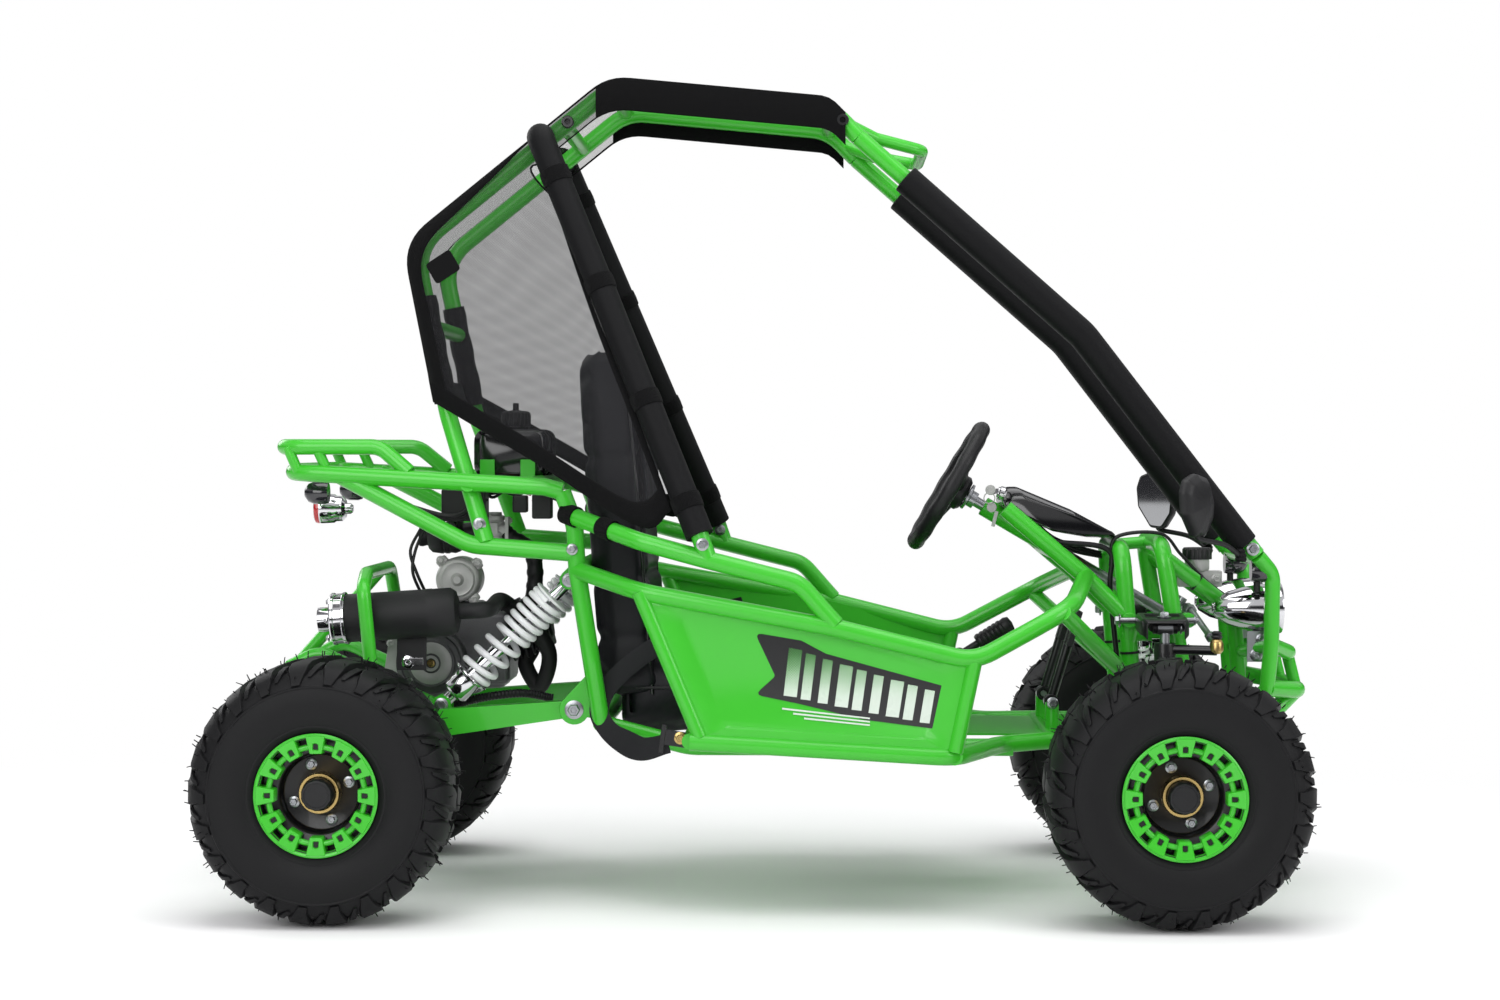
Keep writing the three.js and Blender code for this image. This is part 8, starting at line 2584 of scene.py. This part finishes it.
@dataclass
class Tank:
    """The fuel tank on its bars, with its strap, cap, and the battery box beside it."""

    length: float = 0.118
    width: float = 0.190
    height: float = 0.076

    def ring(self, more: float) -> np.ndarray:
        """The tank's side outline about its middle, wider by a little more all round."""
        hx, hz = self.length / 2 + more, self.height / 2 + more
        return rounded_ring([xyz(k * hx, 0, m * hz)
                             for k, m in ((1, -1), (1, 1), (-1, 1), (-1, -1))], 0.020, 6)

    def build(self, fitter: Fitter) -> None:
        """Adds the tank with its neck and seam, its cap, straps and tabs, and the battery."""
        hz = self.height / 2
        middle = at("tankBarFront") * [0, 0, 1] + xyz(at("tank")[0], 0, 0.0102 + hz)
        outline = self.ring(0.0)
        shell = capped([middle + outline * scale + ACROSS * self.width * y for y, scale in (
            (-0.5, 0.80), (-0.488, 0.93), (-0.462, 1.0), (0.462, 1.0), (0.488, 0.93),
            (0.5, 0.80))])
        neck = turned(middle + UPWARD * hz * 0.9, UPWARD, [
            (0, 0), (0.022, 0), (0.022, 0.006), (0.020, 0.0085), (0, 0.0085)])
        seam = sweep(middle + outline * 1.012, 0.0012, circle(8), True, ACROSS)
        fitter.add("fuel_tank", "chassis", GLOSS, [shell, neck, seam], ["fuel_tank"])
        self.cap(fitter, middle)
        strap = circle(12) * [0.0125, 0.0010]
        fitter.add("tank_straps", "chassis", WEBBING, [
            sweep(middle + self.ring(0.001) + ACROSS * y, 1.0, strap, True, ACROSS)
            for y in (-0.058, 0.058)])
        tabs = [block(middle + xyz(x, -self.width / 2 - 0.0035, -hz + 0.002),
                      [0.024, 0.003, 0.052]) for x in (-0.036, 0.030)]
        fitter.add("tank_tabs", "chassis", GREEN, tabs, bevel=0.001)
        self.battery(fitter, middle)

    def cap(self, fitter: Fitter, middle: np.ndarray) -> None:
        """Adds the ribbed screw cap with its breather."""
        turn = around(144)
        ribs = 1 - 0.045 * (np.cos(turn * 24) > 0)
        foot = middle + UPWARD * (self.height / 2 + 0.0054)
        rows = [(0.019, 0.0, 0), (0.0250, 0.0005, 1), (0.0250, 0.0200, 1), (0.0235, 0.0240, 1),
                (0.0200, 0.0262, 0), (0.0060, 0.0280, 0), (0.0050, 0.0300, 0),
                (0.0050, 0.0385, 0), (0.0040, 0.0400, 0)]
        spokes = np.stack([np.cos(turn), np.sin(turn), np.zeros_like(turn)], axis=1)
        cap = capped([foot + UPWARD * z + spokes * (r * np.where(wavy, ribs, 1))[:, None]
                      for r, z, wavy in rows])
        fitter.add("fuel_cap", "fuel_cap", PLASTIC, cap, ["fuel_cap"], smooth_turn=30)

    def battery(self, fitter: Fitter, middle: np.ndarray) -> None:
        """Adds the battery box under the tank, its leads and its loom."""
        hz = self.height / 2
        box = middle + xyz(-0.072, -0.100, -hz - 0.046)
        fitter.add("battery", "chassis", PLASTIC, [
            block(box, [0.072, 0.052, 0.052]), block(box + UPWARD * 0.028, [0.064, 0.046, 0.006])],
            bevel=0.003)
        lead = middle + xyz(0.030, -0.088, -hz - 0.020)
        fitter.add("battery_leads", "chassis", RED_WIRE, [
            block(lead, [0.014, 0.012, 0.020], 0.3),
            block(lead + xyz(0.012, 0.004, -0.014), [0.010, 0.010, 0.014], 0.3),
            cable([box + xyz(0.020, -0.010, 0.030), box + xyz(0.050, -0.006, 0.040),
                   lead + xyz(-0.012, 0, 0.006), lead,
                   lead + xyz(0.020, 0.010, -0.022),
                   lead + xyz(0.006, 0.020, -0.048)], 0.0024)])
        wires = []
        for step in (0.0, 0.006, 0.012, 0.018):
            wires.append(cable([
                box + xyz(0.030, 0.010 + step, 0.020),
                middle + xyz(-0.030, -0.070 + step, -hz - 0.016 - step),
                middle + xyz(0.010, -0.082 + step, -hz - 0.030 + step),
                middle + xyz(0.052, -0.070 + step, -hz - 0.012 - step),
                middle + xyz(0.075, -0.060 + step, -hz - 0.040)], 0.0026))
        fitter.add("battery_loom", "chassis", PLASTIC, wires)


@dataclass
class Cowl:
    """The dash cowl between the dash tubes, with its ignition lock and keys."""

    half: float = 0.1155
    outline_shares: tuple[tuple[float, float], ...] = (
        (0.308, 0.4900), (0.316, 0.5085), (0.332, 0.5085), (0.400, 0.4800), (0.452, 0.4520),
        (0.452, 0.4470), (0.415, 0.4480), (0.372, 0.4560))

    def build(self, fitter: Fitter) -> None:
        """Adds the cowl, the lock, the keys and the wires of the switch."""
        corners = [xyz(x * WHEELBASE + ROW_SHIFT, 0, z * FRAME_HEIGHT)
                   for x, z in self.outline_shares]
        outline = rounded_ring(corners, 0.020, 5)
        middle = sum(corners) / len(corners)
        rings = []
        for share in (-1.0, -0.985, -0.94, -0.80, -0.45, 0.0, 0.45, 0.80, 0.94, 0.985, 1.0):
            scale = xyz(1 - 0.08 * share ** 8, 1, 1 - 0.28 * share ** 8)
            ring = middle + (outline - middle) * scale
            ring[:, 2] -= 0.006 * share ** 2
            rings.append(ring + ACROSS * self.half * share)
        fitter.add("dash_cowl", "chassis", GLOSS, capped(rings), ["dash_cowl"], smooth_turn=55)
        place = corners[0] + xyz(0.004, -0.0585, 0.014)
        way = unit([-1, 0, 0.30])
        fitter.add("ignition_lock", "chassis", CHROME, [
            turned(place, way, [(0, -0.004), (0.0115, -0.004), (0.0115, 0.003), (0.0090, 0.005),
                                (0.0090, 0.007), (0, 0.007)], 32),
            block(place + way * 0.011, [0.010, 0.002, 0.008], -0.3)], bevel=0.0003)
        ring_place = place + way * 0.021 - UPWARD * 0.014
        ring = ring_place + 0.009 * (circle(32)[:, :1] * FORWARD + circle(32)[:, 1:] * UPWARD)
        coin = [(0, 0), (0.0078, 0), (0.0084, 0.0006), (0.0084, 0.0020), (0.0078, 0.0026),
                (0, 0.0026)]
        fitter.add("keys", "chassis", SATIN, [
            turned(place + way * 0.019 + ACROSS * 0.0013, -ACROSS, coin, 28),
            sweep(ring, 0.0010, circle(6), True, ACROSS),
            turned(ring_place + xyz(0.004, 0.003, -0.015), -ACROSS, coin, 28),
            block(ring_place + xyz(0.009, 0.002, -0.034), [0.006, 0.0018, 0.026], 0.25)],
            bevel=0.0004)
        low = corners[7] + xyz(-0.004, -0.030, -0.006)
        wires = []
        for k in range(5):
            step = xyz(0.0, 0.007 * (k - 2), -0.0035 * abs(k - 2))
            wires.append(cable([place + xyz(0.020, 0.006, -0.006), low + step,
                                low + step * 1.4 + xyz(0.040, 0, -0.020),
                                low + step + xyz(0.090, 0, -0.034)], 0.0024, sides=8))
        fitter.add("switch_wires", "chassis", PLASTIC, wires[:4])
        fitter.add("switch_lead", "chassis", RED_WIRE, wires[4])


@dataclass
class Lamps:
    """Headlights with their brackets, indicators and the tail light."""

    diameter: float = 0.082
    tail: float = 0.050
    tail_length: float = 0.052
    tail_drop: float = 0.063

    def build(self, fitter: Fitter) -> None:
        """Adds every lamp."""
        for side in Side:
            self.headlight(fitter, side)
            self.indicators(fitter, side)
        face = at("rackRear") - UPWARD * self.tail_drop
        r, reach = self.tail / 2, self.tail_length
        fitter.add("tail_light", "chassis", CHROME, [
            turned(face + FORWARD * 0.009, FORWARD, [
                (0, 0), (r, 0), (r + 0.0005, 0.003), (r, 0.006), (r - 0.001, 0.024),
                (r - 0.0035, 0.027), (r - 0.004, reach - 0.014), (r - 0.010, reach - 0.009),
                (0, reach - 0.009)], 48),
            turned(face + FORWARD * (reach - 0.002), FORWARD, [
                (0, 0), (0.009, 0), (0.009, 0.010), (0.006, 0.014), (0, 0.014)], 24),
            block(face + xyz(0.0156, 0, 0.035), [0.012, 0.025, 0.050])],
            ["tail_light"], bevel=0.0006)
        fitter.add("tail_lens", "chassis", RED_LENS, turned(face, FORWARD, [
            (0, 0), (r * 0.80, 0.0005), (r * 0.96, 0.0025), (r, 0.0060), (r, 0.0100), (0, 0.0100)],
            48))

    def headlight(self, fitter: Fitter, side: Side) -> None:
        """Adds one bullet shell with its reflector, glass, bracket and bolts."""
        s, label = side.value, side.label
        front = at("headlight", s * LAMP_HALF)
        r = self.diameter / 2
        reach = float(front[0] - FrontCorner(side).ball()[0]) - 0.015
        fitter.add(f"headlight_{label}", "chassis", CHROME, [
            turned(front, -FORWARD, [
                (r - 0.0045, 0.0015), (r - 0.0040, -0.0005), (r - 0.001, 0), (r, 0.003),
                (r, 0.014), (r - 0.0012, 0.016), (r - 0.0012, 0.019), (r * 0.95, reach * 0.30),
                (r * 0.86, reach * 0.52), (r * 0.66, reach * 0.78), (r * 0.38, reach * 0.95),
                (r * 0.15, reach), (0.0005, reach), (0.0005, 0.030), (r * 0.5, 0.026),
                (r - 0.0045, 0.006)], 64),
            rod(front - FORWARD * reach * 0.93, -FORWARD, 0.008, reach * 0.07, 24)],
            [f"headlight_{label}"])
        fitter.add(f"lamp_glass_{label}", "chassis", CLEAR, turned(
            front - FORWARD * 0.004, FORWARD, [
                (0, 0), (r - 0.0045, 0), (r - 0.0045, 0.0015), (r * 0.6, 0.0045), (0, 0.0060)], 64))
        stem = front + xyz(-reach * 0.32, 0, -r)
        fitter.add(f"lamp_bracket_{label}", "chassis", ZINC, [
            block(stem + UPWARD * -0.008, [0.022, 0.026, 0.026]),
            block(stem + xyz(-0.006, s * 0.014, -0.020), [0.030, 0.003, 0.050]),
            bolt(stem + xyz(-0.006, s * 0.0155, -0.034), ACROSS * s, 0.014),
            bolt(stem + xyz(0.002, s * 0.0155, -0.008), ACROSS * s, 0.012)], bevel=0.0015)

    def indicators(self, fitter: Fitter, side: Side) -> None:
        """Adds the small dark lamps over the headlights and beside the tail light."""
        s, label = side.value, side.label
        rear = at("rackRear", s * 0.165) + xyz(0.052, 0, -0.034)
        fore = at("headlight", s * 0.146) + xyz(-0.055, 0, 0.062)
        for name, place, way in (("rear", rear, -FORWARD), ("front", fore, FORWARD)):
            lens = turned(place, way, [(0, 0), (0.0165, 0), (0.0185, 0.006), (0.0185, 0.022),
                                       (0.0150, 0.032), (0.0070, 0.038), (0, 0.039)], 36)
            fitter.add(f"{name}_indicator_{label}", "chassis", SMOKED, lens)
            up = 1 if name == "rear" else -1
            foot = place + way * 0.010 + UPWARD * up * 0.034
            fitter.add(f"{name}_indicator_stem_{label}", "chassis", PLASTIC,
                       tube([place + way * 0.010, foot], 0.011), bevel=0.001)


@dataclass
class Mirror:
    """One mirror: a creased shell with its glass, on a bent stalk with a rubber foot."""

    side: Side
    width: float = 0.108
    height: float = 0.104
    depth: float = 0.034
    turn_in: float = 0.6

    def place(self, local: np.ndarray) -> np.ndarray:
        """Local points, with X forwards out of the glass's back, carried to the mirror."""
        middle = at("mirrorCentre", self.side.value * (CAGE_HALF + MAIN_TUBE * 2.9))
        c, s = math.cos(self.side.value * self.turn_in), math.sin(self.side.value * self.turn_in)
        turn = np.array([[c, -s, 0], [s, c, 0], [0, 0, 1]])
        return middle + local @ turn.T

    def outline(self, scale: float) -> np.ndarray:
        """Teardrop outline in the local YZ plane, wide outside and pointed inside."""
        s = self.side.value
        shape = [(-0.40, 0.06), (-0.22, 0.42), (0.10, 0.49), (0.40, 0.40), (0.49, 0.20),
                 (0.45, -0.12), (0.14, -0.47), (-0.14, -0.49), (-0.36, -0.24)]
        corners = [xyz(0, s * y * self.width, z * self.height) for y, z in shape]
        return rounded_ring(corners, 0.012, 5) * scale

    def build(self, fitter: Fitter) -> None:
        """Adds the shell, the glass, the stalk and its rubber foot."""
        label = self.side.label
        body = f"mirror_{label}"
        back = -self.depth * 0.25
        rows = ((back + 0.002, 0.90), (back - 0.0005, 0.93), (back, 0.985), (back + 0.004, 1.0),
                (0.003, 0.97), (0.0095, 0.80), (0.0105, 0.76), (0.0148, 0.45), (0.0165, 0.16))
        rings = []
        for x, scale in rows:
            ring = self.outline(scale)
            ring[:, 0] = x
            rings.append(self.place(ring))
        ball = at("mirrorBall", self.side.value * (CAGE_HALF + MAIN_TUBE * 0.74))
        middle = self.place(np.zeros((1, 3)))[0]
        start = middle - UPWARD * self.height * 0.36
        stalk = smooth([start, start - UPWARD * 0.014, between(start, ball, 0.55)
                        + FORWARD * 0.004, ball], 10)
        fitter.add(body, body, PLASTIC, [
            capped(rings), sweep(stalk, 0.0042, circle(16)),
            turned(start - UPWARD * 0.006, UPWARD, [(0, 0), (0.0065, 0), (0.0085, 0.008),
                                                    (0.0085, 0.016), (0, 0.016)], 24)],
            [body], smooth_turn=48)
        fitter.add(f"mirror_foot_{label}", body, FOAM, turned(ball - UPWARD * 0.008, UPWARD, [
            (0, 0), (0.0080, 0), (0.0096, 0.004), (0.0085, 0.007), (0.0095, 0.010),
            (0.0070, 0.014), (0.0078, 0.017), (0.0050, 0.021), (0, 0.021)], 28))
        glass = self.outline(0.90)
        pane = capped([self.place(glass + [back + x, 0, 0]) for x in (-0.0012, 0.001)])
        fitter.add(f"mirror_glass_{label}", body, MIRROR, pane)


@dataclass
class Controls:
    """Pedals, gear lever, brake reservoir and the cables along the frame."""

    pedal_half: float = 0.078
    barrel: float = 0.024

    def hub(self, pivot: np.ndarray) -> Shell:
        """A bored pivot barrel across the kart."""
        return rod(pivot - ACROSS * self.barrel / 2, ACROSS, 0.012, self.barrel, 28, bore=0.0057)

    def build(self, fitter: Fitter) -> None:
        """Adds the controls and cables."""
        for name, side in (("throttle", Side.RIGHT), ("brake", Side.LEFT)):
            pivot = at("pedalPivot", side.value * self.pedal_half)
            tip = pivot + xyz(0.036, 0, 0.120)
            ribs = [block(tip + xyz(-0.0065 - 0.003 * k / 2, 0, 0.010 * k),
                          [0.003, 0.052, 0.004], 0.3) for k in (-2, -1, 0, 1, 2)]
            fitter.add(f"{name}_pedal", name, BLACK_PAINT, [
                self.hub(pivot), tube([pivot, tip], 0.0154),
                block(tip, [0.010, 0.062, 0.060], 0.3), *ribs], [f"{name}_pedal"], bevel=0.0012)
        pivot, grip = at("leverPivot", 0.100), at("leverGrip", 0.100)
        start, end = between(pivot, grip, 0.45), between(grip, pivot, -0.3)
        way = unit(end - start)
        reach = float(np.linalg.norm(end - start))
        rows = [(0, 0), (0.013, 0)]
        for k in range(6):
            rows += [(0.0154, 0.004 + k * reach * 0.12), (0.0154, 0.008 + k * reach * 0.12),
                     (0.0138, 0.010 + k * reach * 0.12)]
        rows += [(0.0150, reach - 0.010), (0.0120, reach - 0.002), (0, reach)]
        fitter.add("gear_lever", "gear_lever", PLASTIC, [
            self.hub(pivot), tube([pivot, grip], 0.0132), turned(start, way, rows, 32)],
            ["gear_lever"], bevel=0.0008)
        self.reservoir(fitter)
        self.cables(fitter)

    def reservoir(self, fitter: Fitter) -> None:
        """Adds the brake fluid reservoir on the nose."""
        place = at("frontTowerTop", -0.055) + xyz(0.066, 0, -0.046)
        fitter.add("brake_reservoir", "chassis", SATIN, [
            turned(place, UPWARD, [(0, 0), (0.017, 0), (0.020, 0.004), (0.020, 0.022),
                                   (0, 0.022)], 32),
            block(place + xyz(0.004, 0, -0.012), [0.070, 0.026, 0.026]),
            bolt(place + xyz(0.030, -0.013, -0.012), -ACROSS, 0.012)], bevel=0.002)
        turn = around(96)
        ribs = 0.0240 - 0.0012 * (np.cos(turn * 16) > 0)
        cap = capped([place + UPWARD * z + np.stack([np.cos(turn) * ribs, np.sin(turn) * ribs,
                                                     0 * turn], axis=1) * k
                      for z, k in ((0.020, 1.0), (0.036, 1.0), (0.039, 0.9))])
        fitter.add("reservoir_cap", "chassis", PLASTIC, cap)

    def cables(self, fitter: Fitter) -> None:
        """Adds wiring and cables that are tied to the tubes."""
        y = -DASH_HALF + 0.022
        loom = smooth([at("dashBar", y) + UPWARD * 0.004, at("columnBar", y) + UPWARD * 0.016,
                       at("rearTowerTop", y) + xyz(-0.02, 0, -0.004),
                       at("rearTowerTop", y) + xyz(-0.016, 0, -0.070),
                       between(at("rearTowerTop", y), at("rearTowerFoot", y), 0.75)
                       - FORWARD * 0.018], 10)
        lift = xyz(0, 0, MAIN_TUBE / 2 + 0.003)
        front = smooth([at("rearTowerTop", y) + xyz(-0.016, 0, -0.030),
                        at("rearTowerTop", y) + xyz(-0.006, 0, 0.006) + lift * 0.6,
                        at("frontTowerTop", y) + lift,
                        at("noseTubeStart", -0.10) + xyz(0.03, 0, -0.006) + lift * 0.6,
                        between(at("noseTubeStart", -0.11), at("noseTubeEnd", -0.07), 0.6)
                        + lift * 0.8, at("noseTubeEnd", -0.06) + lift * 0.8,
                        at("headlight", -0.080) + xyz(-0.075, 0, -0.004)], 10)
        fitter.add("loom", "chassis", PLASTIC, [
            sweep(loom, 0.0044, circle(12)), sweep(front, 0.0026, circle(12)),
            sweep(front + [0, 0.008, 0.001], 0.0022, circle(10))])
        ribbed = smooth([at("swingPivot", -0.140) + xyz(-0.040, 0, 0.012),
                         at("swingPivot", -0.142) + xyz(-0.090, 0, 0.020),
                         at("shockFoot", -0.128) + xyz(0.060, 0, 0.008),
                         at("shockFoot", -0.122) + xyz(0.010, 0, -0.006)], 24)
        fitter.add("conduit", "swing_arm", PLASTIC, sweep(
            ribbed, 0.0062 + 0.0012 * (np.arange(len(ribbed)) % 2), circle(14)))
        rear = smooth([at("rackStubB", -0.150) + xyz(0.03, 0, -0.022),
                       at("supportRear", -0.170) + xyz(0.060, 0, -0.030),
                       at("rackLoopJoint", -0.150) + xyz(0, 0, -0.058),
                       at("tankBarRear", -0.150) + xyz(-0.030, 0, -0.052),
                       at("tankBarRear", -0.120) + xyz(0.010, 0, -0.020)], 12)
        drops = [cable([
            [-0.552 - 0.006 * k, -0.150, 0.596], [-0.566 - 0.008 * k, -0.158, 0.560],
            [-0.570 + 0.006 * k, -0.160, 0.525], [-0.556 + 0.008 * k, -0.150, 0.486]], 0.0026)
            for k in (0, 1)]
        box = at("tankBarFront", -0.106) + xyz(0.004, 0, -0.038)
        fitter.add("relay_boxes", "chassis", PLASTIC, [
            block(box, [0.032, 0.030, 0.040]), block(box + xyz(-0.036, 0, 0.004),
                                                     [0.024, 0.026, 0.028])], bevel=0.003)
        fitter.add("rear_cables", "chassis", PLASTIC, drops)
        fitter.add("rear_loom", "chassis", PLASTIC, [
            sweep(rear, 0.0040, circle(10)), sweep(rear + [0.004, 0.010, -0.006], 0.0032,
                                                   circle(10))])


def main() -> None:
    """Builds the kart group by group."""
    logging.basicConfig(level=logging.INFO, format="%(name)s %(message)s")
    Studio().build()
    fitter = Fitter()
    RearFrame().build(fitter)
    FloorFrame().build(fitter)
    FrontFrame().build(fitter)
    RollCage().build(fitter)
    for side in Side:
        SideRail(side).build(fitter)
        FrontTube(side).build(fitter)
        RearPillar(side).build(fitter)
        SidePanel(side).build(fitter)
        FrontCorner(side).build(fitter)
        RearShock(side).build(fitter)
        Mirror(side).build(fitter)
        for front in (True, False):
            wheel = Wheel(side, front)
            wheel.tyre(fitter)
            wheel.rim(fitter)
    Canopy().build(fitter)
    for group in (Steering(), SwingArm(), Engine(), Exhaust(), Seat(), Tank(), Cowl(), Lamps(),
                  Controls()):
        group.build(fitter)


if __name__ == "__main__":
    main()
